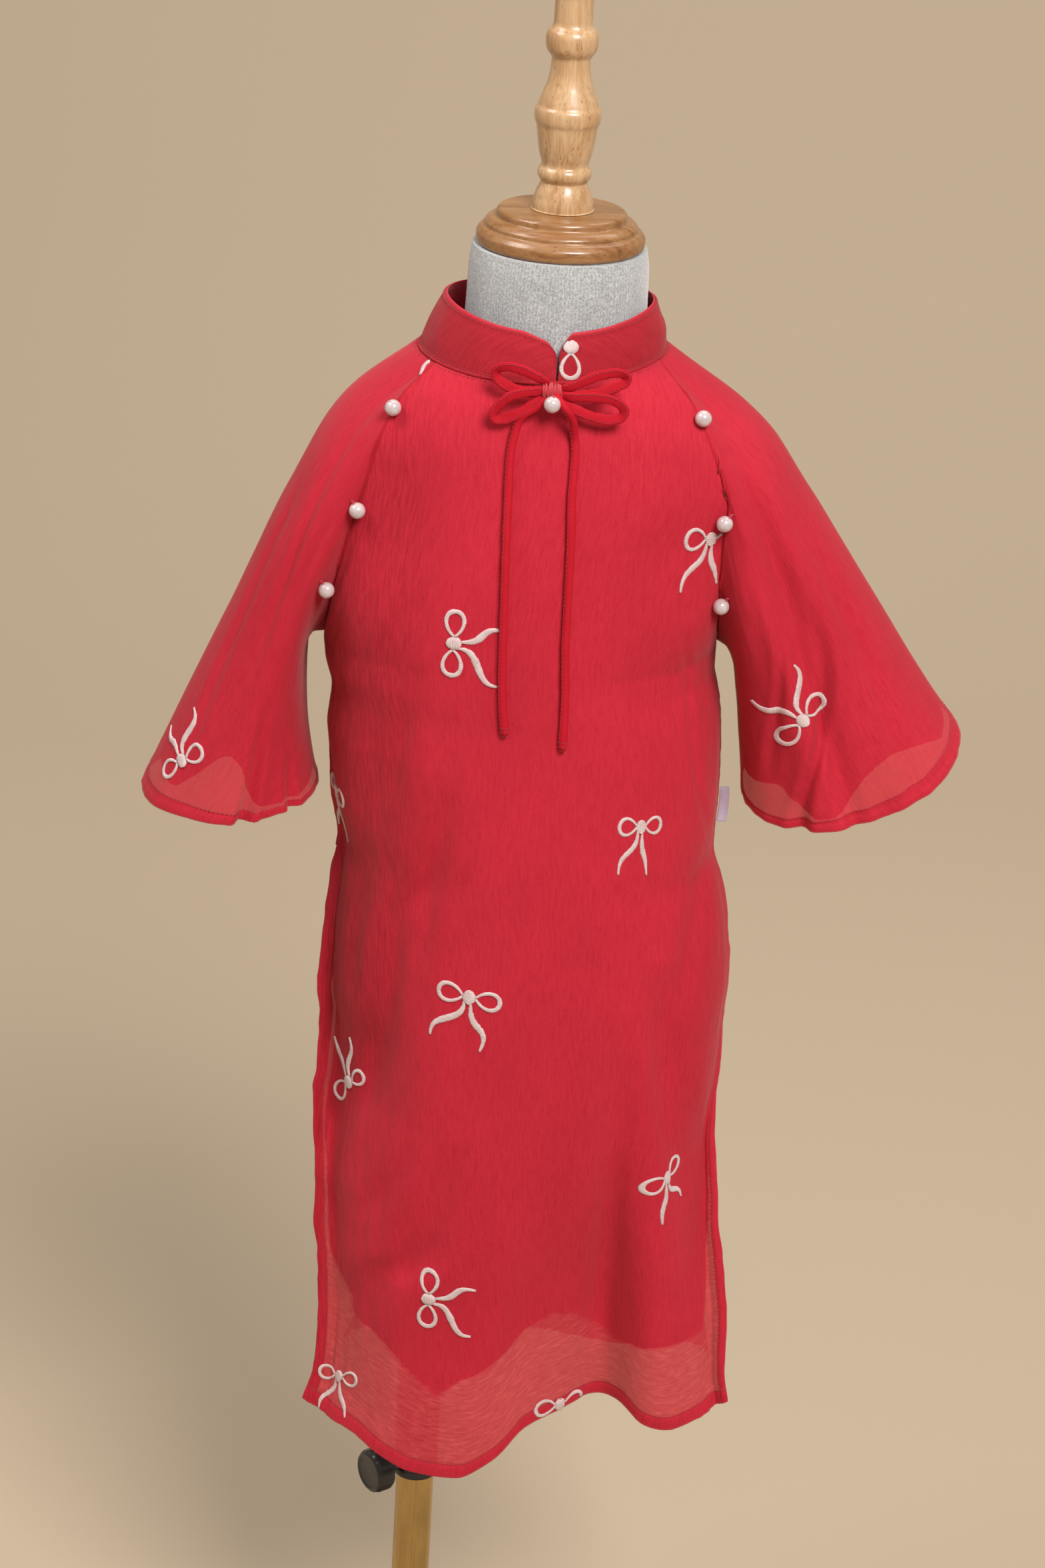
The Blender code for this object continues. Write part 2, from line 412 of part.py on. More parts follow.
def turned(name, profile, mat, centre=(0.0, 0.0), sides=48):
    """Solid turned on a vertical axis from (radius, height) pairs, bottom to top."""
    verts, faces = [], []
    for r, z in profile:
        for i in range(sides):
            a = 2 * math.pi * i / sides
            verts.append((centre[0] + r * math.cos(a), centre[1] + r * math.sin(a), z))
    for k in range(len(profile) - 1):
        for i in range(sides):
            j = (i + 1) % sides
            faces.append((k * sides + i, k * sides + j, (k + 1) * sides + j, (k + 1) * sides + i))
    faces.append(tuple(reversed(range(sides))))
    faces.append(tuple((len(profile) - 1) * sides + i for i in range(sides)))
    return make(name, verts, faces, mat)


def tube_wall(name, outer, inner, mat, centre=(0.0, 0.0), sides=24):
    """Ring solid from an outer and an inner (radius, height) profile, both bottom to top."""
    loop = list(outer) + list(reversed(inner))
    verts, faces = [], []
    for r, z in loop:
        for i in range(sides):
            a = 2 * math.pi * i / sides
            verts.append((centre[0] + r * math.cos(a), centre[1] + r * math.sin(a), z))
    for k in range(len(loop)):
        m = (k + 1) % len(loop)
        for i in range(sides):
            j = (i + 1) % sides
            faces.append((k * sides + i, k * sides + j, m * sides + j, m * sides + i))
    return make(name, verts, faces, mat)


def cord(name, points, radius, mat):
    curve = bpy.data.curves.new(name, "CURVE")
    curve.dimensions = "3D"
    curve.bevel_depth = radius
    curve.bevel_resolution = 2
    curve.use_fill_caps = True
    spline = curve.splines.new("POLY")
    spline.points.add(len(points) - 1)
    for target, p in zip(spline.points, points):
        target.co = (*[float(v) for v in p], 1.0)
    curve.materials.append(mat)
    obj = bpy.data.objects.new(name, curve)
    bpy.context.collection.objects.link(obj)
    return obj


def front_y(x, z):
    """Depth of the front panel's outer face near (x, z): the foremost of its points close by."""
    p = FACETS["front"]
    p = p[p[:, 2] > 0.70]
    d = np.hypot(p[:, 0] - x, p[:, 2] - z)
    return float(np.min(p[d < d.min() + 0.0025, 1]))


# ------------------------------------------------------------------ materials
red = material("red_georgette", (0.56, 0.035, 0.05), 0.85)
red_collar = material("collar_georgette", (0.54, 0.033, 0.047), 0.85)
red_lining = material("red_lining", (0.45, 0.02, 0.035), 0.7)
red_cord = material("rouleau", (0.52, 0.03, 0.045), 0.8)
pearl = material("pearl", (0.86, 0.78, 0.74), 0.15)
label_mat = material("label", (0.62, 0.55, 0.68), 0.7)
knit = material("grey_knit", (0.50, 0.48, 0.46), 0.95)
wood = material("rubberwood", (0.60, 0.34, 0.11), 0.35)
brass = material("brass", (0.55, 0.36, 0.13), 0.3, 1.0)
black = material("black_plastic", (0.02, 0.02, 0.02), 0.4)
paint = material("base_paint", (0.05, 0.05, 0.05), 0.5)

# ------------------------------------------------------------------ body
FRONT_SIDES = np.array([-1, -0.925, -0.86, -0.79, -0.70, *np.linspace(-0.58, 0.58, 11), 0.70, 0.79, 0.86, 0.925, 1])
BACK_SIDES = np.linspace(1, -1, 15)
LINING_SHARE = (LINING_HEM - BODY["z"][0]) / (BODY["z"][-1] - BODY["z"][0])
LEVELS = np.array([0.0, 0.055, LINING_SHARE, 0.19, 0.28, 0.38, 0.49, 0.61, 0.74, 0.87, 1.0,
                   1.125, 1.25, 1.375, 1.50, 1.625, 1.75, 1.875, 1.9965])

# ------------------------------------------------------------------ sleeves
SLEEVE_ANGLES = np.arange(0, 360, 18.0)
SLEEVE_SHARES = np.array([0.0, 0.07, 0.16, 0.27, 0.40, 0.54, 0.68, SLEEVE_LINING_END - 0.09, SLEEVE_LINING_END, 1.0])

grids, outs = {}, {}
for panel, sides in (("front", FRONT_SIDES), ("back", BACK_SIDES)):
    grids[panel] = panel_point(panel, sides[None, :], LEVELS[:, None])
    outs[panel] = normals(grids[panel], False)
for side, name in ((0, "left"), (1, "right")):
    angles = SLEEVE_ANGLES[::-1] if side == 0 else SLEEVE_ANGLES
    grid = sleeve_point(side, angles[None, :], SLEEVE_SHARES[:, None])
    # the sleeve's edge keeps clear of the seam line, square to it
    along = np.roll(grid[0], -1, axis=0) - np.roll(grid[0], 1, axis=0)
    along /= np.linalg.norm(along, axis=-1, keepdims=True)
    away = grid[1] - grid[0]
    away -= along * np.sum(away * along, axis=-1, keepdims=True)
    grid[0] += away / np.linalg.norm(away, axis=-1, keepdims=True) * SEAM
    grids[name], outs[name] = grid[::-1], normals(grid[::-1], True)
    # sleeve and body share one direction of thickness along their seam where the cloth turns over it
    for panel, face in (("front", 1), ("back", -1)):
        column = 0 if (side == 0) == (panel == "front") else -1
        for k in range(9):
            angle = (k * 18.0 * face) % 360
            c = int(np.argmin(np.abs(angles - angle)))
            r = len(LEVELS) - 9 + k
            a, b = outs[panel][r, column].copy(), outs[name][-1, c].copy()
            if np.dot(a, b) > 0.1:
                mean = (a + b) / np.linalg.norm(a + b)
                outs[panel][r, column] = outs[name][-1, c] = mean

for panel in ("front", "back"):
    wall(panel + "_panel", grids[panel], CLOTH, red, n=outs[panel])
    # the lining is cut from the panel's own points, one column short of its side edges
    wall("lining_" + panel, grids[panel][2:-1, 1:-1], LINING, red_lining, inset=CLOTH + LAYER_GAP, n=outs[panel][2:-1, 1:-1])
for name in ("left", "right"):
    wall("sleeve_" + name, grids[name], CLOTH, red, wrap=True, n=outs[name])
    wall("lining_sleeve_" + name, grids[name][1:-1], LINING, red_lining, wrap=True, inset=CLOTH + LAYER_GAP, n=outs[name][1:-1])


def facets(grid, wrap, n=6):
    """Points spread evenly over a grid's flat faces."""
    g = np.concatenate([grid, grid[:, :1]], axis=1) if wrap else grid
    t = np.arange(n) / n
    a, b, c, d = g[:-1, :-1], g[:-1, 1:], g[1:, :-1], g[1:, 1:]
    w = lambda u, v: a * (1 - u) * (1 - v) + b * u * (1 - v) + c * (1 - u) * v + d * u * v
    return np.concatenate([w(u, v).reshape(-1, 3) for u in t for v in t])


FACETS = {name: facets(grids[name], name in ("left", "right"), 8) for name in grids}

# ------------------------------------------------------------------ collar
gap_angle = math.degrees(0.0004 / NECK_FRONT)
open_angle = math.degrees(math.asin((COLLAR_OPENING_X - NECK_CENTRE_X) / NECK_HALF_WIDTH))
open_top = math.degrees(math.asin((COLLAR_OPENING_X - COLLAR_CENTRE_X) / COLLAR_HALF_WIDTH))


def collar_grid(lift, columns=25, heights=(0.0, 0.35, 0.72, 1.0)):
    """Band from the neck seam to the collar's top; lift adds a row that stands above it."""
    ends = np.array([0.0, 0.004, 0.010, 0.018, 0.030])
    t = np.concatenate([ends, np.linspace(0.060, 0.940, columns - 10), 1 - ends[::-1]])
    low = open_angle + gap_angle + t * (360 - 2 * gap_angle)
    high = open_top + gap_angle + t * (360 - 2 * gap_angle)
    bottom, top = neck_seam(low), collar_top(high)
    bottom[:, 2] += SEAM
    away = np.minimum(t, 1 - t) * 2 * math.pi * 0.055
    drop = np.where(away < COLLAR_CORNER, COLLAR_CORNER * (1 - np.sqrt(np.clip(1 - (1 - away / COLLAR_CORNER) ** 2, 0, 1))), 0.0)
    top[:, 2] -= drop
    rows = []
    for h in heights:
        p = bottom + (top - bottom) * h
        out = p - np.array([COLLAR_CENTRE_X, 0, 0])
        out[:, 2] = 0
        out /= np.linalg.norm(out, axis=-1, keepdims=True)
        rows.append(p + out * 0.0012 * math.sin(math.pi * h))
    if lift:
        up = rows[-1] - rows[-2]
        rows.append(rows[-1] + up / np.linalg.norm(up, axis=-1, keepdims=True) * lift)
    return np.stack(rows)


collar = collar_grid(0.0)
collar_out = normals(collar, False)
wall("collar_outer", collar, CLOTH, red_collar, n=collar_out)
wall("collar_inner", collar_grid(0.0014), LINING, red_lining, inset=CLOTH + LAYER_GAP, n=np.concatenate([collar_out, collar_out[-1:]]))

# ------------------------------------------------------------------ bow, ties, pearls, label
def loop_path(tip_x, tip_z, half_gap, start_z):
    """Middle line (x, z) of a loop: out along the upper strand, round the tip, back below."""
    kx, kz = KNOT
    side = 1 if tip_x > kx else -1
    start = np.array([kx + side * 0.0058, start_z])
    axis = np.array([tip_x - side * 0.0012, tip_z]) - start
    length = np.linalg.norm(axis)
    axis /= length
    across = np.array([-axis[1], axis[0]])
    if across[1] < 0:
        across = -across
    near, far = 0.00115, 0.0010
    strand = [(t, near + (far - near) * t + half_gap * math.sin(math.pi * t**1.25) ** 0.9) for t in np.linspace(0.0, 1.0, 8)]
    path = [start + axis * length * t + across * h for t, h in strand]
    path += [start + axis * (length + far * math.cos(a)) + across * far * math.sin(a) for a in (0.9, 0.0, -0.9)]
    path += [start + axis * length * t - across * h for t, h in reversed(strand)]
    return np.array(path)


def strap(name, path, mat, width=STRAP_WIDTH, thick=STRAP_THICK):
    """Flat rouleau standing on edge in front of the chest, along an (x, z) path."""
    d = np.gradient(path, axis=0)
    d /= np.linalg.norm(d, axis=1, keepdims=True)
    n = np.stack([-d[:, 1], d[:, 0]], 1) * thick / 2
    verts, faces = [], []
    for (x, z), (nx, nz) in zip(path, n):
        reach = abs(x - KNOT[0]) / 0.036
        back = front_y(x, min(z, 0.927)) - 0.0009 - 0.0010 * reach
        for sx, y in ((1, back), (1, back - width), (-1, back - width), (-1, back)):
            verts.append((x + sx * nx, y, z + sx * nz))
    last = len(path) - 1
    for i in range(last):
        for j in range(4):
            m = (j + 1) % 4
            faces.append((i * 4 + j, i * 4 + m, i * 4 + 4 + m, i * 4 + 4 + j))
    faces += [(3, 2, 1, 0), (last * 4, last * 4 + 1, last * 4 + 2, last * 4 + 3)]
    return make(name, verts, faces, mat)


for name, (tx, tz, half, sz) in LOOPS.items():
    strap("bow_loop_" + name, loop_path(tx, tz, half, sz), red_cord)


def ball(name, centre, radius, mat, rings=8, sides=12):
    profile = [(max(radius * math.sin(math.pi * k / rings), 1e-6), centre[2] - radius * math.cos(math.pi * k / rings)) for k in range(1, rings)]
    verts, faces = [(centre[0], centre[1], centre[2] - radius)], []
    for r, z in profile:
        for i in range(sides):
            a = 2 * math.pi * i / sides
            verts.append((centre[0] + r * math.cos(a), centre[1] + r * math.sin(a), z))
    verts.append((centre[0], centre[1], centre[2] + radius))
    top = len(verts) - 1
    for i in range(sides):
        j = (i + 1) % sides
        faces.append((0, 1 + j, 1 + i))
        for k in range(len(profile) - 1):
            b = 1 + k * sides
            faces.append((b + i, b + j, b + sides + j, b + sides + i))
        b = 1 + (len(profile) - 1) * sides
        faces.append((b + i, b + j, top))
    return make(name, verts, faces, mat, flat=80)


# the thread-wrapped knot stands between the loops' inner ends, the bead just below it
knot_back = front_y(KNOT[0], 0.927) - 0.0009
knot = ball("bow_knot", (0, 0, 0), 1.0, red_cord, 8, 12)
for v in knot.data.vertices:
    v.co = (KNOT[0] + v.co.x * 0.0050, knot_back - 0.0024 + v.co.y * 0.0024, KNOT[1] + v.co.z * 0.0056)
ball("pearl_centre", (0.0008, knot_back - 0.0048 - PEARL_RADIUS - 0.0002 + 0.0004, 0.9262), PEARL_RADIUS, pearl)


def tail(table, samples=20):
    zs, xs = np.array(table["z"][::-1]), np.array(table["x"][::-1])
    z = np.linspace(zs[-1], zs[0], samples)
    x = smooth(zs, xs, z)
    pts = np.array([(a, front_y(a, b), b) for a, b in zip(x, z)])
    kernel = np.array([1, 2, 3, 2, 1]) / 9
    y = np.convolve(np.pad(pts[:, 1], 2, mode="edge"), kernel, mode="valid")
    lift = ROULEAU_RADIUS + 0.0009 + 0.0022 * np.exp(-((zs[-1] - z) / 0.008))
    pts[:, 1] = np.minimum(y, pts[:, 1]) - lift
    return pts


cord("tie_tail_left", tail(TAIL_LEFT), ROULEAU_RADIUS, red_cord)
cord("tie_tail_right", tail(TAIL_RIGHT), ROULEAU_RADIUS, red_cord)

def resting_bead(side, share, lean):
    """Centre of a bead sewn on the front raglan seam, moved out until it rests on both pieces."""
    p = raglan_edge(side, share, -1)
    cloud = np.concatenate([FACETS["front"], FACETS[("left", "right")[side]]])
    cloud = cloud[np.linalg.norm(cloud - p, axis=1) < 0.035]
    way = np.array([lean, -1.0, 0.10])
    way /= np.linalg.norm(way)
    for d in np.arange(PEARL_RADIUS, 0.024, 0.0001):
        c = p + way * d
        if np.min(np.linalg.norm(cloud - c, axis=1)) > PEARL_RADIUS + 0.0004:
            break
    return c


for side, name, beads in ((0, "left", PEARLS_LEFT), (1, "right", PEARLS_RIGHT)):
    for i, (share, lean) in enumerate(beads):
        ball("pearl_%s_%d" % (name, i + 1), resting_bead(side, share, lean), PEARL_RADIUS, pearl)

zl, zh = LABEL["z_low"], LABEL["z_high"]
xs = max(float(smooth(BODY["z"], BODY["x_right"], z)) for z in (zl, zh)) + 0.0006
box = [(x, y, z) for x in (xs, xs + LABEL["out"]) for y in (-LABEL["thick"] / 2, LABEL["thick"] / 2) for z in (zl, zh)]
make("side_label", box, [(0, 1, 3, 2), (4, 6, 7, 5), (0, 4, 5, 1), (2, 3, 7, 6), (0, 2, 6, 4), (1, 5, 7, 3)], label_mat)

# ------------------------------------------------------------------ dress form
torso_rows = []
for i, z in enumerate(TORSO["z"]):
    a = np.radians(np.arange(0, 360, 360 / 30))
    c, s = np.cos(a), np.sin(a)
    power = 2.0 + 0.35 * float(step(0.96, 0.88, z)) * float(step(0.50, 0.52, z))
    shape = 1 / (np.abs(c) ** power + np.abs(s) ** power) ** (1 / power)
    x = TORSO["half_width"][i] * s * shape
    y = -np.where(c > 0, TORSO["front"][i], TORSO["back"][i]) * c * shape
    torso_rows.append(np.stack([x, y, np.full_like(x, z)], -1))
rows, cols = len(torso_rows), 30
verts = np.concatenate(torso_rows)
faces = [(r * cols + c, r * cols + (c + 1) % cols, (r + 1) * cols + (c + 1) % cols, (r + 1) * cols + c) for r in range(rows - 1) for c in range(cols)]
faces += [tuple(reversed(range(cols))), tuple((rows - 1) * cols + c for c in range(cols))]
make("form_torso", verts, faces, knit)
turned("neck_cap", CAP_PROFILE, wood, sides=36)
turned("finial", FINIAL_PROFILE, wood, sides=20)

# ------------------------------------------------------------------ stand
mast = (MAST_X, 0.0)
turned("base_plate", ((BASE_RADIUS - 0.0012, 0.0), (BASE_RADIUS, 0.0012), (BASE_RADIUS, BASE_THICK - 0.0025),
                      (BASE_RADIUS - 0.0025, BASE_THICK)), paint, sides=48)
tube_wall("base_socket", ((0.0215, BASE_THICK + 0.0003), (0.0215, 0.0120), (0.0165, 0.0160), (0.0155, 0.0320)),
          ((TUBE_RADIUS + 0.0003, BASE_THICK + 0.0003), (TUBE_RADIUS + 0.0003, 0.0320)), black, mast)
tube_wall("mast_tube", ((TUBE_RADIUS, BASE_THICK + 0.0003), (TUBE_RADIUS, TUBE_TOP)),
          ((TUBE_BORE, BASE_THICK + 0.0003), (TUBE_BORE, TUBE_TOP)), brass, mast)
tube_wall("clamp_sleeve", ((CLAMP_RADIUS, TUBE_TOP + 0.0003), (CLAMP_RADIUS, CLAMP_TOP - 0.0015), (CLAMP_RADIUS - 0.0015, CLAMP_TOP)),
          ((CLAMP_BORE, TUBE_TOP + 0.0003), (CLAMP_BORE, CLAMP_TOP)), black, mast)
turned("upper_rod", ((ROD_RADIUS - 0.0008, 0.0750), (ROD_RADIUS, 0.0760), (ROD_RADIUS, TORSO_BOTTOM - 0.0005)), brass, mast, sides=24)
tube_wall("form_socket", ((0.0150, 0.4820), (0.0170, 0.4840), (0.0170, 0.4900), (0.0240, 0.4935), (0.0240, TORSO_BOTTOM - 0.0003)),
          ((TUBE_BORE, 0.4820), (TUBE_BORE, TORSO_BOTTOM - 0.0003)), black, mast)

kd = np.array(KNOB_DIR)
kd /= np.linalg.norm(kd)
ku = np.array([0.0, 0.0, 1.0])
ks = np.cross(ku, kd)
knob_profile = ((0.0046, CLAMP_RADIUS + 0.0004), (0.0046, 0.0200), (0.0085, 0.0215), (0.0128, 0.0235), (0.0136, 0.0255), (0.0136, 0.0330),
                (0.0124, 0.0350), (0.0080, 0.0356))
verts, faces, sides = [], [], 30
for k, (r, d) in enumerate(knob_profile):
    for i in range(sides):
        a = 2 * math.pi * i / sides
        grip = 1.0 - (0.055 * (i % 5 == 0) if 3 <= k <= 6 else 0.0)
        p = np.array([MAST_X, 0.0, KNOB_Z]) + kd * d + (ks * math.cos(a) + ku * math.sin(a)) * r * grip
        verts.append(tuple(p))
for k in range(len(knob_profile) - 1):
    for i in range(sides):
        j = (i + 1) % sides
        faces.append((k * sides + i, k * sides + j, (k + 1) * sides + j, (k + 1) * sides + i))
faces.append(tuple(reversed(range(sides))))
faces.append(tuple((len(knob_profile) - 1) * sides + i for i in range(sides)))
make("clamp_knob", verts, faces, black)
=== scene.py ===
"""Child's ao dai tunic on a limbless dress form and its stand: the visual model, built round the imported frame.

Metres, +Z up, the front faces -Y, the same frame as the CAD. The tables of sizes are the ones the CAD is made from;
the surfaces are sampled finely and get the creases, hems, facings, stitches, embroidery and materials.
"""
import math

import bpy
import numpy as np
from mathutils import Matrix, Vector
from mathutils.bvhtree import BVHTree


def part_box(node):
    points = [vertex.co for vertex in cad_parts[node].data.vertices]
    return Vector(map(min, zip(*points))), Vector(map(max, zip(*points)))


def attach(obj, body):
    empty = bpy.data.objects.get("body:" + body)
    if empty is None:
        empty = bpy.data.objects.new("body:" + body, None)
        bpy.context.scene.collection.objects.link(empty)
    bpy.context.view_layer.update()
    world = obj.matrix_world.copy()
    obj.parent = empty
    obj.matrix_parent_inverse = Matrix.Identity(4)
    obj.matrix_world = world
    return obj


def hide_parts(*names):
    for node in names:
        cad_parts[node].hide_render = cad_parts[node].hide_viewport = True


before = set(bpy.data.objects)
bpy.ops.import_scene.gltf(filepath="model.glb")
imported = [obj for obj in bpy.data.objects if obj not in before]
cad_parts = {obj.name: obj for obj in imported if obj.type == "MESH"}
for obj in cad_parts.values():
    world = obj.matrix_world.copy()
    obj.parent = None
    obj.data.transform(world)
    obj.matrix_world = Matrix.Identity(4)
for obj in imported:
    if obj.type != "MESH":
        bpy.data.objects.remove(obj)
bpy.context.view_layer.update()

scene = bpy.context.scene

# ------------------------------------------------------------------ camera
PITCH, ROLL = math.radians(22.5), math.radians(3.4)
forward = Vector((0, math.cos(PITCH), -math.sin(PITCH)))
up0, right0 = Vector((0, math.sin(PITCH), math.cos(PITCH))), Vector((1, 0, 0))
right = right0 * math.cos(ROLL) + up0 * math.sin(ROLL)
up = up0 * math.cos(ROLL) - right0 * math.sin(ROLL)
camera_data = bpy.data.cameras.new("camera")
camera_data.lens, camera_data.sensor_width, camera_data.sensor_height = 85.0, 36.0, 36.0
camera_data.clip_start, camera_data.clip_end = 0.05, 200.0
camera = bpy.data.objects.new("camera", camera_data)
scene.collection.objects.link(camera)
camera.matrix_world = Matrix(((right.x, up.x, -forward.x, -0.003), (right.y, up.y, -forward.y, -1.945),
                              (right.z, up.z, -forward.z, 1.487), (0, 0, 0, 1)))
scene.camera = camera
scene.view_settings.view_transform = "Standard"

# ------------------------------------------------------------------ sizes
CLOTH = 0.0011            # georgette wall
LINING = 0.0010           # lining wall
LAYER_GAP = 0.0005        # free space between outer cloth and lining
SEAM = 0.0005             # free space across a seam
SLIT_TOP = (0.637, 0.652)  # height of the side slits, left and right
LINING_HEM = 0.335        # lower edge of the body lining
BACK_TUCK = (0.0205, 0.0100)  # the back hangs this much narrower than the front, left and right, below the slits

NECK_CENTRE_X = -0.006
NECK_HALF_WIDTH = 0.067
NECK_FRONT = 0.062
NECK_BACK = 0.060
COLLAR_CENTRE_X = -0.0035
COLLAR_HALF_WIDTH = 0.0575
COLLAR_FRONT = 0.0540
COLLAR_BACK = 0.0550
COLLAR_CORNER = 0.0065
COLLAR_OPENING_X = 0.0025
RAGLAN_NECK_ANGLE = (-57.0, 68.0)   # degrees round the neck from centre front

PEARL_RADIUS = 0.0045
ROULEAU_RADIUS = 0.00225

MAST_X = -0.044
BASE_RADIUS = 0.140
BASE_THICK = 0.008
TUBE_RADIUS = 0.0115
TUBE_BORE = 0.0098
ROD_RADIUS = 0.0090
TUBE_TOP = 0.2215
CLAMP_RADIUS = 0.0139
CLAMP_TOP = 0.315
CLAMP_BORE = 0.0091
KNOB_Z = 0.2305
KNOB_DIR = (-0.80, -0.60, 0.0)
TORSO_BOTTOM = 0.500

# body from hem to armpit: one row for each level
BODY = dict(
    z=(0.277, 0.300, 0.335, 0.370, 0.420, 0.470, 0.530, 0.560, 0.595, 0.625, 0.645, 0.675, 0.720, 0.745, 0.762, 0.775),
    x_left=(-0.1125, -0.1065, -0.1055, -0.1075, -0.1105, -0.1130, -0.1130, -0.1160, -0.1140, -0.1100, -0.1070, -0.1120, -0.1140, -0.1125, -0.1165, -0.1180),
    x_right=(0.1415, 0.1378, 0.1365, 0.1318, 0.1253, 0.1208, 0.1215, 0.1230, 0.1200, 0.1135, 0.1078, 0.1085, 0.1070, 0.1035, 0.1000, 0.1000),
    y_front=(-0.0870, -0.0880, -0.0890, -0.0890, -0.0900, -0.0910, -0.0920, -0.0920, -0.0915, -0.0910, -0.0905, -0.0890, -0.0865, -0.0855, -0.0850, -0.0845),
    y_back=(0.0800, 0.0810, 0.0820, 0.0830, 0.0850, 0.0870, 0.0880, 0.0870, 0.0850, 0.0830, 0.0810, 0.0790, 0.0780, 0.0785, 0.0795, 0.0800),
    edge_front=(-0.0420, -0.0415, -0.0400, -0.0380, -0.0330, -0.0265, -0.0160, -0.0105, -0.0050, -0.0015, -0.0003, -0.0003, -0.0003, -0.0003, -0.0003, -0.0003),
    edge_back=(0.0380, 0.0375, 0.0360, 0.0330, 0.0280, 0.0210, 0.0120, 0.0080, 0.0040, 0.0015, 0.0003, 0.0003, 0.0003, 0.0003, 0.0003, 0.0003),
)
# raglan seams from armpit (share 0) to neck (share 1)
RAGLAN = dict(
    share=(0.00, 0.08, 0.18, 0.30, 0.45, 0.60, 0.75, 0.90, 1.00),
    x_left=(-0.1180, -0.1165, -0.1140, -0.1100, -0.1040, -0.0968, -0.0905, -0.0785, -0.0622),
    z_left=(0.768, 0.782, 0.799, 0.820, 0.846, 0.871, 0.896, 0.922, 0.9365),
    x_right=(0.1000, 0.0993, 0.0985, 0.0975, 0.0970, 0.0980, 0.0900, 0.0755, 0.0561),
    z_right=(0.776, 0.788, 0.803, 0.823, 0.848, 0.872, 0.896, 0.923, 0.9415),
    depth=(0.0003, 0.0170, 0.0330, 0.0440, 0.0510, 0.0550, 0.0560, 0.0480, 0.0337),
    z_centre=(0.775, 0.788, 0.804, 0.824, 0.848, 0.872, 0.896, 0.920, 0.9355),
    y_front=(-0.0845, -0.0843, -0.0838, -0.0832, -0.0818, -0.0790, -0.0748, -0.0680, -0.0620),
    y_back=(0.0800, 0.0800, 0.0800, 0.0795, 0.0785, 0.0765, 0.0725, 0.0660, 0.0600),
)
# long folds that run down a panel: a trough (depth > 0, inward) along a line
# columns: panel, height, x of the line, depth, half width of the soft trough
FOLDS = (
    # the front falls in beside the hip, below the form, right of the middle
    ("front", (0.277, 0.0560, 0.0340, 0.0320), (0.335, 0.0520, 0.0300, 0.0310), (0.380, 0.0530, 0.0220, 0.0300),
     (0.430, 0.0570, 0.0120, 0.0270), (0.480, 0.0600, 0.0050, 0.0220), (0.530, 0.0600, 0.0020, 0.0180), (0.570, 0.0600, 0.0000, 0.0160)),
    ("front", (0.277, 0.0640, 0.0130, 0.0110), (0.335, 0.0650, 0.0120, 0.0105), (0.400, 0.0650, 0.0085, 0.0100),
     (0.460, 0.0650, 0.0050, 0.0095), (0.520, 0.0650, 0.0025, 0.0095), (0.570, 0.0650, 0.0000, 0.0090)),
    # beside the left slit edge the hem lies almost flat before it swings forward
    ("front", (0.277, -0.0860, 0.0060, 0.0150), (0.335, -0.0860, 0.0050, 0.0140), (0.400, -0.0850, 0.0030, 0.0120),
     (0.450, -0.0850, 0.0040, 0.0140), (0.500, -0.0820, 0.0060, 0.0160), (0.550, -0.0820, 0.0050, 0.0160), (0.600, -0.0820, 0.0030, 0.0160), (0.640, -0.0820, 0.0000, 0.0150)),
    # and again near the right slit edge
    ("front", (0.277, 0.1220, 0.0090, 0.0140), (0.335, 0.1180, 0.0090, 0.0130), (0.400, 0.1140, 0.0080, 0.0110),
     (0.465, 0.1090, 0.0090, 0.0090), (0.510, 0.0960, 0.0080, 0.0085), (0.560, 0.0860, 0.0050, 0.0080), (0.600, 0.0800, 0.0000, 0.0080)),
    # long drag line from the middle of the body down to the left slit edge
    ("front", (0.440, -0.0900, 0.0000, 0.0080), (0.473, -0.0890, 0.0055, 0.0085), (0.508, -0.0730, 0.0070, 0.0095),
     (0.560, -0.0650, 0.0065, 0.0095), (0.620, -0.0600, 0.0060, 0.0100), (0.660, -0.0440, 0.0045, 0.0100), (0.710, -0.0400, 0.0000, 0.0100)),
    ("front", (0.640, -0.0930, 0.0000, 0.0080), (0.679, -0.0880, 0.0040, 0.0080), (0.710, -0.0840, 0.0045, 0.0085), (0.750, -0.0770, 0.0000, 0.0080)),
    ("front", (0.395, -0.0660, 0.0000, 0.0080), (0.423, -0.0460, 0.0050, 0.0085), (0.455, -0.0380, 0.0040, 0.0085), (0.500, -0.0300, 0.0000, 0.0080)),
    # back: three flutes of uneven depth
    ("back", (0.277, -0.0250, 0.0260, 0.0210), (0.340, -0.0260, 0.0210, 0.0200), (0.420, -0.0300, 0.0110, 0.0170), (0.500, -0.0320, 0.0030, 0.0140), (0.560, -0.0330, 0.0000, 0.0120)),
    ("back", (0.277, 0.0700, 0.0330, 0.0240), (0.340, 0.0650, 0.0270, 0.0220), (0.420, 0.0600, 0.0130, 0.0180), (0.500, 0.0560, 0.0040, 0.0140), (0.580, 0.0540, 0.0000, 0.0120)),
    ("back", (0.520, -0.0700, 0.0000, 0.0090), (0.600, -0.0620, 0.0040, 0.0095), (0.680, -0.0540, 0.0045, 0.0095), (0.760, -0.0480, 0.0000, 0.0090)),
)
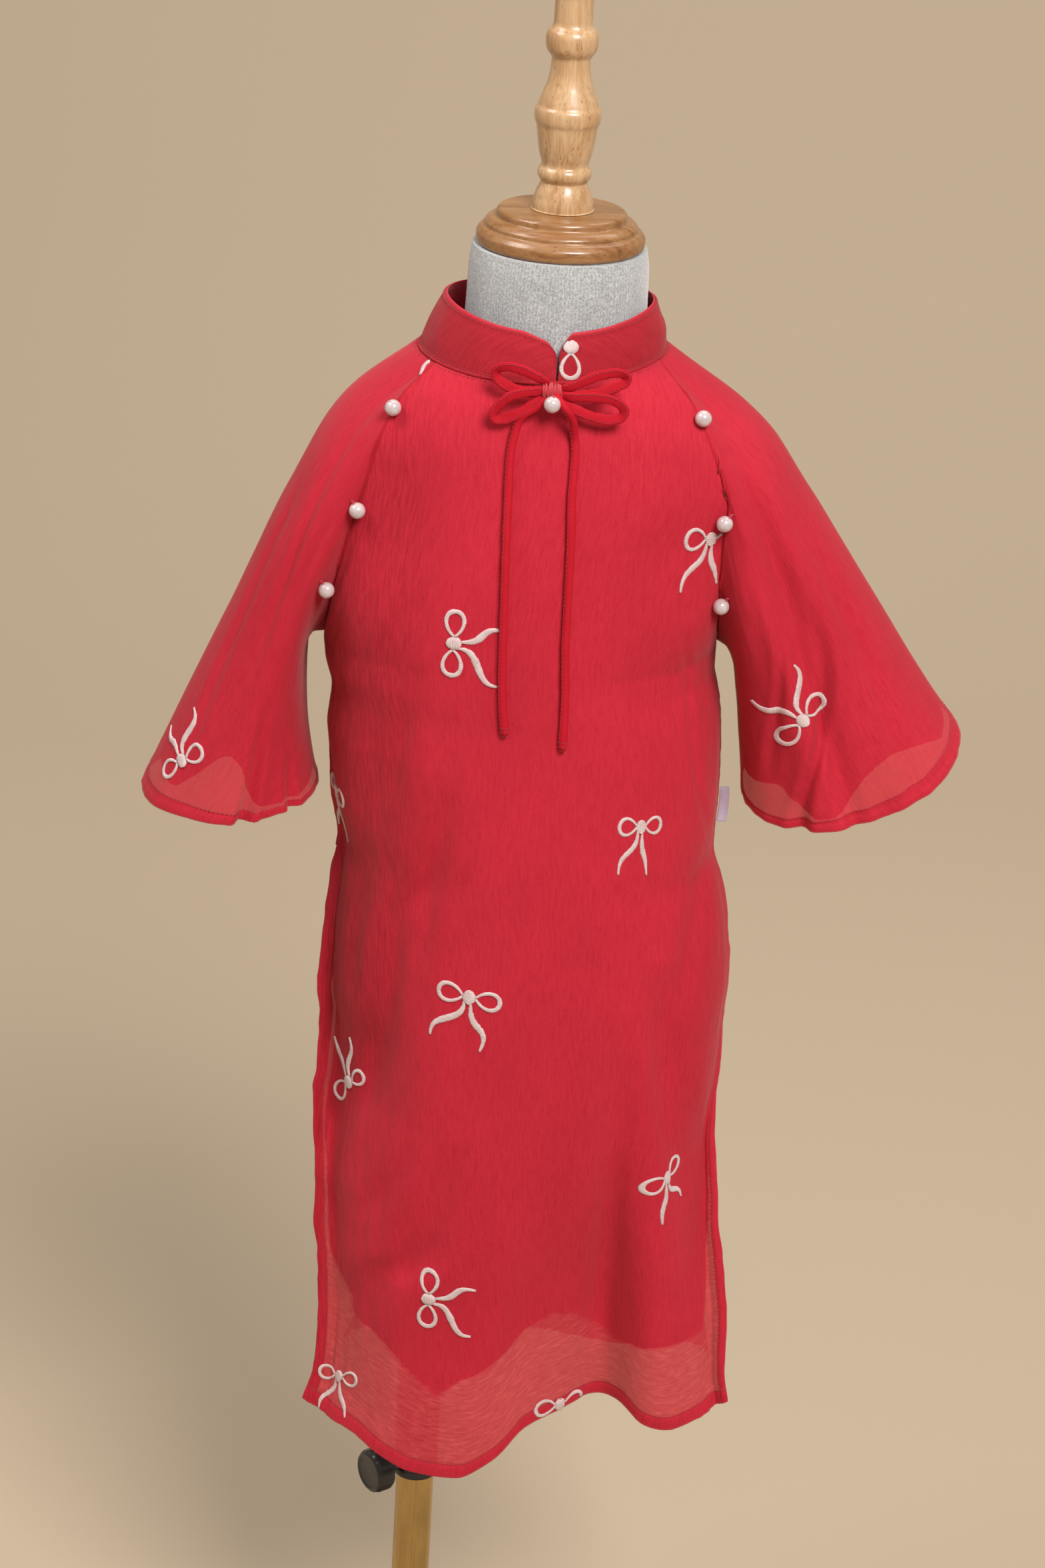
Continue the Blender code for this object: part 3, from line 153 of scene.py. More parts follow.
# hem height across the front: lower on the lobes, higher in the hollow
HEM_FRONT = dict(x=(-0.1125, -0.1000, -0.0840, -0.0660, -0.0450, -0.0200, 0.0060, 0.0220, 0.0360, 0.0560, 0.0750, 0.0900, 0.1070, 0.1250, 0.1415),
                 z=(0.2935, 0.2868, 0.2852, 0.2785, 0.2718, 0.2700, 0.2826, 0.2988, 0.3020, 0.3058, 0.3072, 0.2996, 0.2966, 0.2996, 0.3084))
HEM_BACK = dict(x=(-0.114, -0.070, -0.025, 0.020, 0.070, 0.110, 0.144),
                z=(0.2880, 0.2840, 0.2910, 0.2840, 0.2940, 0.2880, 0.2940))
# below the slits the front ends at each side in a strip that hangs flat and faces forward
STRIP = dict(z=(0.277, 0.300, 0.335, 0.370, 0.420, 0.470, 0.530, 0.590, 0.637),
             left=(0.0120, 0.0130, 0.0140, 0.0150, 0.0140, 0.0110, 0.0060, 0.0020, 0.0000),
             right=(0.0080, 0.0090, 0.0100, 0.0100, 0.0080, 0.0060, 0.0030, 0.0010, 0.0000))
STRIP_ROUND = 0.045

# sleeves: sections between the armhole (share 0, the seam itself) and the cuff (share 1)
SLEEVE_LEFT = dict(
    share=(0.22, 0.45, 0.70, 0.88, 1.00),
    x_top=(-0.1130, -0.1420, -0.1735, -0.2010, -0.2200), z_top=(0.9040, 0.8520, 0.7800, 0.7140, 0.6710),
    x_bottom=(-0.1275, -0.1290, -0.1265, -0.1225, -0.1190), z_bottom=(0.7640, 0.7420, 0.7130, 0.6900, 0.6750),
    front=(0.0580, 0.0550, 0.0540, 0.0555, 0.0580), back=(0.0560, 0.0530, 0.0520, 0.0530, 0.0550),
    drop_front=(0.000, 0.000, 0.001, 0.002, 0.003),
)
SLEEVE_RIGHT = dict(
    share=(0.22, 0.45, 0.70, 0.88, 1.00),
    x_top=(0.1130, 0.1460, 0.1860, 0.2200, 0.2420), z_top=(0.9070, 0.8650, 0.8060, 0.7560, 0.7260),
    x_bottom=(0.1085, 0.1125, 0.1165, 0.1195, 0.1205), z_bottom=(0.7690, 0.7500, 0.7240, 0.7020, 0.6900),
    front=(0.0580, 0.0560, 0.0560, 0.0580, 0.0600), back=(0.0560, 0.0540, 0.0530, 0.0545, 0.0560),
    drop_front=(0.000, 0.004, 0.009, 0.014, 0.018),
)
# flutes of the bell at the cuff: angle round the sleeve (degrees), depth at the cuff, half width (degrees)
SLEEVE_FLUTES = dict(
    left=((52.0, 0.0050, 16.0), (118.0, 0.0045, 14.0), (238.0, 0.0060, 18.0), (300.0, 0.0045, 15.0)),
    right=((60.0, 0.0055, 15.0), (105.0, 0.0060, 13.0), (246.0, 0.0055, 18.0), (306.0, 0.0050, 15.0)),
)
SLEEVE_LINING_END = 0.885   # share of the sleeve's length where its lining ends
RAGLAN_TURN = 144.0         # degrees round the armhole taken by each raglan seam; the neck takes the rest

# torso of the dress form: one row for each level
TORSO = dict(
    z=(0.500, 0.508, 0.530, 0.560, 0.600, 0.650, 0.700, 0.750, 0.790, 0.830, 0.860, 0.880, 0.896, 0.910, 0.922, 0.934, 0.946, 0.965, 0.985, 0.9952),
    half_width=(0.0740, 0.0810, 0.0850, 0.0865, 0.0875, 0.0900, 0.0875, 0.0885, 0.0895, 0.0915, 0.0930, 0.0910, 0.0850, 0.0750, 0.0630, 0.0540, 0.0500, 0.0490, 0.0485, 0.0470),
    front=(0.0660, 0.0720, 0.0760, 0.0785, 0.0795, 0.0785, 0.0785, 0.0775, 0.0770, 0.0755, 0.0725, 0.0700, 0.0670, 0.0630, 0.0580, 0.0530, 0.0500, 0.0490, 0.0485, 0.0470),
    back=(0.0680, 0.0740, 0.0780, 0.0800, 0.0770, 0.0700, 0.0660, 0.0690, 0.0720, 0.0730, 0.0710, 0.0690, 0.0650, 0.0600, 0.0560, 0.0520, 0.0500, 0.0490, 0.0485, 0.0470),
)
CAP_PROFILE = ((0.0440, 0.9956), (0.0455, 0.9975), (0.0455, 1.0015), (0.0435, 1.0045), (0.0410, 1.0055), (0.0410, 1.0075),
               (0.0385, 1.0095), (0.0352, 1.0105), (0.0350, 1.0135), (0.0338, 1.0147))
FINIAL_PROFILE = ((0.0164, 1.0150), (0.0160, 1.0195), (0.0145, 1.0245), (0.0126, 1.0296), (0.0140, 1.0318), (0.0146, 1.0343),
                  (0.0138, 1.0368), (0.0124, 1.0404), (0.0138, 1.0450), (0.0151, 1.0505), (0.0160, 1.0570), (0.0163, 1.0612),
                  (0.0174, 1.0635), (0.0178, 1.0669), (0.0173, 1.0700), (0.0158, 1.0725), (0.0140, 1.0770), (0.0118, 1.0820),
                  (0.0107, 1.0870), (0.0104, 1.0959), (0.0118, 1.0990), (0.0136, 1.1025), (0.0140, 1.1057), (0.0134, 1.1090),
                  (0.0112, 1.1120), (0.0103, 1.1150), (0.0103, 1.1270), (0.0116, 1.1310), (0.0128, 1.1370), (0.0126, 1.1430),
                  (0.0108, 1.1480), (0.0070, 1.1515))

# beads on the front raglan seams: share of the seam's length, sideways lean of the bead from the seam
PEARLS_LEFT = ((0.860, -0.20), (0.520, 0.10), (0.235, -0.22))
PEARLS_RIGHT = ((0.870, 0.50), (0.540, -0.15), (0.230, 0.10))
# rouleau bow: tip of each loop, half the opening between its two strands, height at the knot
LOOPS = dict(
    upper_left=(-0.0285, 0.9410, 0.0030, 0.9338), lower_left=(-0.0278, 0.9185, 0.0026, 0.9285),
    upper_right=(0.0385, 0.9425, 0.0028, 0.9338), lower_right=(0.0375, 0.9225, 0.0028, 0.9285),
)
STRAP_WIDTH = 0.0042
STRAP_THICK = 0.0014
KNOT = (0.0020, 0.9312)
TAIL_LEFT = dict(x=(-0.0052, -0.0118, -0.0180, -0.0198, -0.0195, -0.0190, -0.0183, -0.0177, -0.0165, -0.0142),
                 z=(0.9225, 0.9185, 0.9110, 0.8960, 0.8680, 0.8400, 0.8120, 0.7860, 0.7650, 0.7456))
TAIL_RIGHT = dict(x=(0.0055, 0.0100, 0.0132, 0.0144, 0.0140, 0.0150, 0.0153, 0.0155, 0.0170, 0.0175),
                  z=(0.9225, 0.9185, 0.9125, 0.9000, 0.8820, 0.8540, 0.8260, 0.7980, 0.7700, 0.7387))
LABEL = dict(z_low=0.6660, z_high=0.6870, out=0.0052, thick=0.0010)


# ------------------------------------------------------------------ helpers
def smooth(xs, ys, x):
    """Monotone cubic curve through a table's column."""
    xs, ys, x = (np.asarray(a, float) for a in (xs, ys, x))
    h, d = np.diff(xs), np.diff(ys) / np.diff(xs)
    m = np.zeros_like(ys)
    m[0], m[-1] = d[0], d[-1]
    for i in range(1, len(xs) - 1):
        if d[i - 1] * d[i] > 0:
            w1, w2 = 2 * h[i] + h[i - 1], h[i] + 2 * h[i - 1]
            m[i] = (w1 + w2) / (w1 / d[i - 1] + w2 / d[i])
    x = np.clip(x, xs[0], xs[-1])
    k = np.clip(np.searchsorted(xs, x) - 1, 0, len(h) - 1)
    t = (x - xs[k]) / h[k]
    return ((2 * t**3 - 3 * t**2 + 1) * ys[k] + (t**3 - 2 * t**2 + t) * h[k] * m[k]
            + (3 * t**2 - 2 * t**3) * ys[k + 1] + (t**3 - t**2) * h[k] * m[k + 1])


def step(a, b, x):
    t = np.clip((np.asarray(x, float) - a) / (b - a), 0.0, 1.0)
    return t * t * (3 - 2 * t)


def ring(angle, centre_x, half_width, front, back, z):
    """Point on an oval; angle in degrees from centre front, positive to +X."""
    a = np.radians(np.asarray(angle, float))
    c = np.cos(a)
    return np.stack([centre_x + half_width * np.sin(a), -np.where(c > 0, front, back) * c, np.broadcast_to(z, a.shape) + 0 * a], -1)


def neck_seam(angle):
    a = np.radians(np.asarray(angle, float))
    z = 0.940 + 0.003 * np.sin(a) - 0.0045 * np.cos(a) ** 2
    return ring(angle, NECK_CENTRE_X, NECK_HALF_WIDTH, NECK_FRONT, NECK_BACK, z)


def collar_top(angle):
    a = np.radians(np.asarray(angle, float))
    z = 0.967 + 0.001 * np.sin(a) - np.where(np.cos(a) > 0, 0.0075, 0.0060) * np.cos(a) ** 2
    return ring(angle, COLLAR_CENTRE_X, COLLAR_HALF_WIDTH, COLLAR_FRONT, COLLAR_BACK, z)


def fold_depth(panel, x, z):
    total = np.zeros(np.broadcast(x, z).shape)
    for fold in FOLDS:
        if fold[0] != panel:
            continue
        zs, xs, depths, widths = (np.array(c) for c in zip(*fold[1:]))
        inside = (z >= zs[0]) | (depths[0] > 0)
        inside = inside & (z <= zs[-1])
        line, depth, width = smooth(zs, xs, z), smooth(zs, depths, z), smooth(zs, widths, z)
        total = total + np.where(inside, depth * np.exp(-0.5 * ((x - line) / width) ** 2), 0.0)
    return total


def raglan_edge(side, share, face):
    """Point of a raglan seam; side 0 left or 1 right, face -1 front or +1 back."""
    name = ("left", "right")[side]
    x = smooth(RAGLAN["share"], RAGLAN["x_" + name], share)
    z = smooth(RAGLAN["share"], RAGLAN["z_" + name], share)
    depth = smooth(RAGLAN["share"], RAGLAN["depth"], share)
    p = np.stack([x, face * depth, z], -1)
    corner = neck_seam(RAGLAN_NECK_ANGLE[side] if face < 0 else 180 - RAGLAN_NECK_ANGLE[side])
    end = np.array([RAGLAN["x_" + name][-1], face * RAGLAN["depth"][-1], RAGLAN["z_" + name][-1]])
    return p + (np.asarray(share, float)[..., None] ** 6) * (corner - end)


def panel_point(panel, u, level):
    """Outer face of the front or back: u -1..1 across, level 0 hem, 1 armpit, 2 neck."""
    face = -1 if panel == "front" else 1
    u, level = np.broadcast_arrays(np.asarray(u, float), np.asarray(level, float))
    low, s = np.clip(level, 0, 1), np.clip(level - 1, 0, 1)
    z_low, z_arm = BODY["z"][0], BODY["z"][-1]
    zn = z_low + (z_arm - z_low) * low
    upper = level > 1
    key = "y_front" if face < 0 else "y_back"
    left, right = raglan_edge(0, s, face), raglan_edge(1, s, face)
    xl = np.where(upper, left[..., 0], smooth(BODY["z"], BODY["x_left"], zn))
    xr = np.where(upper, right[..., 0], smooth(BODY["z"], BODY["x_right"], zn))
    if face > 0:
        tuck = step(0.70, 0.28, low)
        xl, xr = xl + BACK_TUCK[0] * tuck, xr - BACK_TUCK[1] * tuck
    edge = smooth(BODY["z"], BODY["edge_front" if face < 0 else "edge_back"], zn)
    yl, yr = np.where(upper, left[..., 1], edge), np.where(upper, right[..., 1], edge)
    yc = np.where(upper, smooth(RAGLAN["share"], RAGLAN[key], s), smooth(BODY["z"], BODY[key], zn))
    k = 1 - step(0.0, 0.5, s)
    flat = np.zeros(u.shape)
    if face < 0:
        width = np.where(u < 0, smooth(STRIP["z"], STRIP["left"], zn), smooth(STRIP["z"], STRIP["right"], zn)) * np.where(upper, 0.0, 1.0)
        end = 1 - width / 0.155
        far = np.abs(u) / end
        soft = lambda v: STRIP_ROUND * np.log1p(np.exp(np.clip(v / STRIP_ROUND, -40, 40)))
        out = soft(far - 1) / soft(1 / end - 1)
        main = np.sign(u) * (1 - soft(1 - far)) / (1 - soft(1 - 1 / end))
        share = step(0.0, 0.004, width)
        flat = np.sign(u) * width * out * share
        u_in = np.clip(u * (1 - share) + main * share, -1, 1)
        xl_in = xl + smooth(STRIP["z"], STRIP["left"], zn) * np.where(upper, 0.0, 1.0)
        xr_in = xr - smooth(STRIP["z"], STRIP["right"], zn) * np.where(upper, 0.0, 1.0)
    else:
        u_in, xl_in, xr_in = u, xl, xr
    wide = (1 - k) * u_in + k * np.sin(u_in * math.pi / 2)
    power = 2.35 - 0.35 * step(0.0, 0.5, s)
    root = 2.0 - step(0.0, 0.5, s)
    bulge = np.clip(1 - np.abs(wide) ** power, 0, 1) ** (1 / root)
    x = (xl_in + xr_in) / 2 + (xr_in - xl_in) / 2 * wide + flat
    ye = yl + (yr - yl) * (wide + 1) / 2
    y = ye + (yc - ye) * bulge
    hem = HEM_FRONT if face < 0 else HEM_BACK
    span = (x - xl) / np.maximum(xr - xl, 1e-6)
    x_hem = BODY["x_left"][0] + (BODY["x_right"][0] - BODY["x_left"][0]) * np.clip(span, 0, 1)
    z_hem = smooth(hem["x"], hem["z"], x_hem)
    arm_l, arm_r = RAGLAN["z_left"][0], RAGLAN["z_right"][0]
    z_edge_arm = arm_l + (arm_r - arm_l) * (wide + 1) / 2
    z_top = z_arm + (z_edge_arm - z_arm) * wide**2
    z = z_hem + (z_top - z_hem) * (zn - z_low) / (z_arm - z_low)
    zc = smooth(RAGLAN["share"], RAGLAN["z_centre"], s)
    z_edge = left[..., 2] + (right[..., 2] - left[..., 2]) * (wide + 1) / 2
    z = np.where(upper, zc + (z_edge - zc) * wide**2, z)
    y = y - face * fold_depth(panel, x, zn + 0 * x) * step(1.0, 0.88, np.abs(u)) * np.where(upper, 0.0, 1.0)
    p = np.stack([x, y, z], -1)
    # the top row lies exactly on the neck seam
    a0, a1 = RAGLAN_NECK_ANGLE
    angle = a0 + (a1 - a0) * (u + 1) / 2
    angle = angle if face < 0 else 180 - angle
    neck = neck_seam(angle)
    one_l, one_r = raglan_edge(0, 1.0, face), raglan_edge(1, 1.0, face)
    yc1, zc1 = RAGLAN[key][-1], RAGLAN["z_centre"][-1]
    x1 = (one_l[0] + one_r[0]) / 2 + (one_r[0] - one_l[0]) / 2 * u
    ye1 = one_l[1] + (one_r[1] - one_l[1]) * (u + 1) / 2
    ze1 = one_l[2] + (one_r[2] - one_l[2]) * (u + 1) / 2
    formula = np.stack([x1, ye1 + (yc1 - ye1) * (1 - u**2), zc1 + (ze1 - zc1) * u**2], -1)
    return p + (s**4)[..., None] * (neck - formula)


def armhole(side, angle):
    """Seam loop of a sleeve; angle in degrees from the armpit over the front (90), the neck (180) and the back."""
    a = np.mod(np.asarray(angle, float), 360.0)
    turn = RAGLAN_TURN
    front = raglan_edge(side, np.clip(a / turn, 0, 1), -1)
    back = raglan_edge(side, np.clip((360 - a) / turn, 0, 1), 1)
    n0 = RAGLAN_NECK_ANGLE[side]
    n1 = (-180 - n0) if side == 0 else (180 - n0)
    top = neck_seam(n0 + (n1 - n0) * np.clip((a - turn) / (360 - 2 * turn), 0, 1))
    a = a[..., None]
    return np.where(a <= turn, front, np.where(a < 360 - turn, top, back))


def sleeve_point(side, angle, share):
    table = (SLEEVE_LEFT, SLEEVE_RIGHT)[side]
    flutes = SLEEVE_FLUTES[("left", "right")[side]]
    angle, share = np.broadcast_arrays(np.asarray(angle, float), np.asarray(share, float))
    a = np.radians(angle)
    rings = [armhole(side, angle)]
    for i in range(len(table["share"])):
        top = np.array([table["x_top"][i], 0, table["z_top"][i]])
        low = np.array([table["x_bottom"][i], 0, table["z_bottom"][i]])
        y = -np.where(np.sin(a) > 0, table["front"][i], table["back"][i]) * np.sin(a)
        p = (top + low) / 2 + (low - top) / 2 * np.cos(a)[..., None]
        p[..., 1] += y
        p[..., 2] -= table["drop_front"][i] * np.sin(a)
        rings.append(p)
    ws = np.array((0.0,) + table["share"])
    stack = np.stack(rings)                      # ring, ..., 3
    # natural spline through the rings, along every line of equal angle
    d = np.diff(stack, axis=0) / np.diff(ws).reshape(-1, *([1] * (stack.ndim - 1)))
    slope = np.concatenate([d[:1], (d[1:] + d[:-1]) / 2, d[-1:]])
    k = np.clip(np.searchsorted(ws, share) - 1, 0, len(ws) - 2)
    t = ((share - ws[k]) / (ws[k + 1] - ws[k]))[..., None]
    h = (ws[k + 1] - ws[k])[..., None]
    pick = lambda arr, idx: np.take_along_axis(arr, idx[None, ..., None], axis=0)[0]
    p = ((2 * t**3 - 3 * t**2 + 1) * pick(stack, k) + (t**3 - 2 * t**2 + t) * h * pick(slope, k)
         + (3 * t**2 - 2 * t**3) * pick(stack, k + 1) + (t**3 - t**2) * h * pick(slope, k + 1))
    depth = np.zeros(share.shape)
    for centre, amount, width in flutes:
        away = (angle - centre + 180) % 360 - 180
        depth = depth + amount * np.exp(-0.5 * (away / width) ** 2)
    depth = depth * step(0.25, 1.0, share)
    p[..., 1] += depth * np.sign(np.sin(a)) * np.abs(np.sin(a)) ** 0.5
    return p


def normals(grid, wrap):
    du = np.empty_like(grid)
    du[:, 1:-1] = grid[:, 2:] - grid[:, :-2]
    if wrap:
        du[:, 0], du[:, -1] = grid[:, 1] - grid[:, -1], grid[:, 0] - grid[:, -2]
    else:
        du[:, 0], du[:, -1] = grid[:, 1] - grid[:, 0], grid[:, -1] - grid[:, -2]
    dv = np.gradient(grid, axis=0)
    n = np.cross(du, dv)
    return n / np.maximum(np.linalg.norm(n, axis=-1, keepdims=True), 1e-12)

# ------------------------------------------------------------------ small tools
def value_noise(x, y, seed, period=None):
    """Smooth noise from -1 to 1 on a grid of whole numbers; period repeats it along x."""
    x, y = np.broadcast_arrays(np.asarray(x, float), np.asarray(y, float))
    xi, yi = np.floor(x).astype(np.int64), np.floor(y).astype(np.int64)
    fx, fy = x - xi, y - yi
    fx, fy = fx**3 * (fx * (fx * 6 - 15) + 10), fy**3 * (fy * (fy * 6 - 15) + 10)

    def corner(i, j):
        if period:
            i = i % period
        h = (i * 73856093) ^ (j * 19349663) ^ (seed * 83492791)
        h = ((h ^ (h >> 13)) * 1274126177) & 0xFFFFFFFF
        h = ((h ^ (h >> 16)) * 668265263) & 0xFFFFFFFF
        return ((h >> 8) & 0xFFFF) / 32767.5 - 1.0

    a, b = corner(xi, yi), corner(xi + 1, yi)
    c, d = corner(xi, yi + 1), corner(xi + 1, yi + 1)
    return (a * (1 - fx) + b * fx) * (1 - fy) + (c * (1 - fx) + d * fx) * fy


def fbm(x, y, seed, octaves=2, period=None):
    total, size = 0.0, 1.0
    for k in range(octaves):
        total = total + size * value_noise(x * 2**k, y * 2**k, seed + 17 * k, None if period is None else period * 2**k)
        size *= 0.5
    return total / (2 - 0.5 ** (octaves - 1))


def mesh_object(name, verts, quads, uvs=None, mat=None, body="dressed_form", smooth=True):
    mesh = bpy.data.meshes.new(name)
    verts, quads = np.asarray(verts, np.float32), np.asarray(quads, np.int32)
    mesh.vertices.add(len(verts))
    mesh.vertices.foreach_set("co", verts.ravel())
    mesh.loops.add(quads.size)
    mesh.loops.foreach_set("vertex_index", quads.ravel())
    mesh.polygons.add(len(quads))
    mesh.polygons.foreach_set("loop_start", np.arange(0, quads.size, quads.shape[1], dtype=np.int32))
    mesh.update(calc_edges=True)
    if uvs is not None:
        layer = mesh.uv_layers.new(name="grain")
        layer.data.foreach_set("uv", np.asarray(uvs, np.float32).ravel())
    mesh.validate()
    if smooth:
        mesh.shade_smooth()
    if mat is not None:
        mesh.materials.append(mat)
    obj = bpy.data.objects.new(name, mesh)
    scene.collection.objects.link(obj)
    if body:
        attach(obj, body)
    return obj


def lengths(grid, axis):
    """Running length in metres along an axis of a grid of points."""
    d = np.linalg.norm(np.diff(grid, axis=axis), axis=-1)
    total = np.cumsum(d, axis=axis)
    pad = np.zeros_like(np.take(total, [0], axis=axis))
    return np.concatenate([pad, total], axis=axis)


def grain_uv(grid, wrap=False, flip=False):
    """(across, along) in metres for each point of a grid; a wrapped grid gets one more column."""
    g = np.concatenate([grid, grid[:, :1]], axis=1) if wrap else grid
    across, along = lengths(g, 1), lengths(g, 0)
    middle = across[:, across.shape[1] // 2:across.shape[1] // 2 + 1]
    across = across - middle
    return np.stack([across, along], -1)


def shell_arrays(grid, thick, wrap=False, n=None, inset=0.0, uv=None):
    """Closed thin wall with rounded edges: vertices, quads and the quads' UVs."""
    n = normals(grid, wrap) if n is None else n
    outer, inner = grid - n * inset, grid - n * (inset + thick)
    rows, cols = grid.shape[:2]
    uv = grain_uv(grid, wrap) if uv is None else uv
    uv_cols = uv.shape[1]
    half = rows * cols
    r, c = np.meshgrid(np.arange(rows - 1), np.arange(cols if wrap else cols - 1), indexing="ij")
    r, c = r.ravel(), c.ravel()
    at = lambda rr, cc, layer: layer * half + rr * cols + cc % cols
    uat = lambda rr, cc: rr * uv_cols + cc
    quads = [np.stack([at(r, c, 0), at(r, c + 1, 0), at(r + 1, c + 1, 0), at(r + 1, c, 0)], 1),
             np.stack([at(r, c, 1), at(r + 1, c, 1), at(r + 1, c + 1, 1), at(r, c + 1, 1)], 1)]
    uvi = [np.stack([uat(r, c), uat(r, c + 1), uat(r + 1, c + 1), uat(r + 1, c)], 1),
           np.stack([uat(r, c), uat(r + 1, c), uat(r + 1, c + 1), uat(r, c + 1)], 1)]
    loops = []
    if wrap:
        ring = np.arange(cols + 1)
        loops.append([(0, k) for k in ring])
        loops.append([(rows - 1, k) for k in ring[::-1]])
    else:
        loop = [(0, k) for k in range(cols)] + [(k, cols - 1) for k in range(1, rows)]
        loop += [(rows - 1, k) for k in range(cols - 2, -1, -1)] + [(k, 0) for k in range(rows - 2, -1, -1)]
        loops.append(loop)
    verts = [outer.reshape(-1, 3), inner.reshape(-1, 3)]
    base = 2 * half
    middle = (outer + inner) / 2
    for loop in loops:
        rc = np.array(loop)
        closed = (rc[0] == rc[-1]).all() or wrap
        rr, cc = rc[:, 0], rc[:, 1] % cols
        away = np.zeros((len(rc), 3))
        low, high = rr == 0, rr == rows - 1
        away[low] += _unit(middle[0, cc[low]] - middle[1, cc[low]])
        away[high] += _unit(middle[-1, cc[high]] - middle[-2, cc[high]])
        if not wrap:
            west, east = cc == 0, cc == cols - 1
            away[west] += _unit(middle[rr[west], 0] - middle[rr[west], 1])
            away[east] += _unit(middle[rr[east], -1] - middle[rr[east], -2])
        mid = middle[rr, cc] + _unit(away) * thick * 0.5
        count = len(rc) - 1
        verts.append(mid[:count])
        i = np.arange(count)
        j = (i + 1) % count
        m_i, m_j = base + i, base + j
        k = i + 1
        o_i, o_j = at(rc[i, 0], rc[i, 1], 0), at(rc[k, 0], rc[k, 1], 0)
        n_i, n_j = at(rc[i, 0], rc[i, 1], 1), at(rc[k, 0], rc[k, 1], 1)
        u_i, u_j = uat(rc[i, 0], rc[i, 1]), uat(rc[k, 0], rc[k, 1])
        quads += [np.stack([o_j, o_i, m_i, m_j], 1), np.stack([m_j, m_i, n_i, n_j], 1)]
        uvi += [np.stack([u_j, u_i, u_i, u_j], 1)] * 2
        base += count
    quads, uvi = np.concatenate(quads), np.concatenate(uvi)
    return np.concatenate(verts), quads, uv.reshape(-1, 2)[uvi]


def _unit(v):
    return v / np.maximum(np.linalg.norm(v, axis=-1, keepdims=True), 1e-12)


def shell(name, grid, thick, mat, wrap=False, n=None, inset=0.0, uv=None, body="dressed_form"):
    verts, quads, uvs = shell_arrays(grid, thick, wrap, n, inset, uv)
    return mesh_object(name, verts, quads, uvs, mat, body)


def sweep(path, widths, heights, across, out, sides=8, flat=0.0, power=2.0):
    """Rings of an oval section along a path; across and out are unit vectors for each point. Returns the rings (n, sides, 3)."""
    a = np.arange(sides) * 2 * math.pi / sides
    ca, sa = np.cos(a), np.sin(a)
    ca = np.sign(ca) * np.abs(ca) ** (2 / power)
    sa = np.sign(sa) * np.abs(sa) ** (2 / power)
    return (path[:, None] + across[:, None] * (widths[:, None] / 2 * ca)[..., None]
            + out[:, None] * (heights[:, None] / 2 * sa)[..., None])


def tube_arrays(rings, closed=False):
    """Quads for a row of rings, with a flat end made of quads and triangles folded into quads."""
    n, s = rings.shape[:2]
    verts = [rings.reshape(-1, 3)]
    i, j = np.meshgrid(np.arange(n if closed else n - 1), np.arange(s), indexing="ij")
    i, j = i.ravel(), j.ravel()
    k, m = (i + 1) % n, (j + 1) % s
    quads = [np.stack([i * s + j, i * s + m, k * s + m, k * s + j], 1)]
    if not closed:
        base = n * s
        verts.append(np.stack([rings[0].mean(0), rings[-1].mean(0)]))
        h = np.arange(0, s, 2)
        g = lambda x: (h + x) % s
        quads.append(np.stack([np.full(len(h), base), g(2), g(1), h], 1))
        last = (n - 1) * s
        quads.append(np.stack([np.full(len(h), base + 1), last + h, last + g(1), last + g(2)], 1))
    return np.concatenate(verts), np.concatenate(quads)


def merge(parts):
    verts, quads, base = [], [], 0
    for v, q in parts:
        verts.append(v)
        quads.append(q + base)
        base += len(v)
    return np.concatenate(verts), np.concatenate(quads)


def resample(points, step_length):
    points = np.asarray(points, float)
    along = np.concatenate([[0], np.cumsum(np.linalg.norm(np.diff(points, axis=0), axis=1))])
    count = max(2, int(round(along[-1] / step_length)) + 1)
    at = np.linspace(0, along[-1], count)
    return np.stack([np.interp(at, along, points[:, k]) for k in range(points.shape[1])], 1)


def curve_through(points, samples):
    """Smooth curve through points (Catmull-Rom), evenly spread."""
    p = np.asarray(points, float)
    p = np.concatenate([2 * p[:1] - p[1:2], p, 2 * p[-1:] - p[-2:-1]])
    out = []
    for k in range(1, len(p) - 2):
        t = np.linspace(0, 1, 24, endpoint=False)[:, None]
        a, b, c, d = p[k - 1], p[k], p[k + 1], p[k + 2]
        out.append(0.5 * (2 * b + (c - a) * t + (2 * a - 5 * b + 4 * c - d) * t**2 + (3 * b - a - 3 * c + d) * t**3))
    out.append(p[-2:-1])
    line = np.concatenate(out)
    along = np.concatenate([[0], np.cumsum(np.linalg.norm(np.diff(line, axis=0), axis=1))])
    at = np.linspace(0, along[-1], samples)
    return np.stack([np.interp(at, along, line[:, k]) for k in range(p.shape[1])], 1)


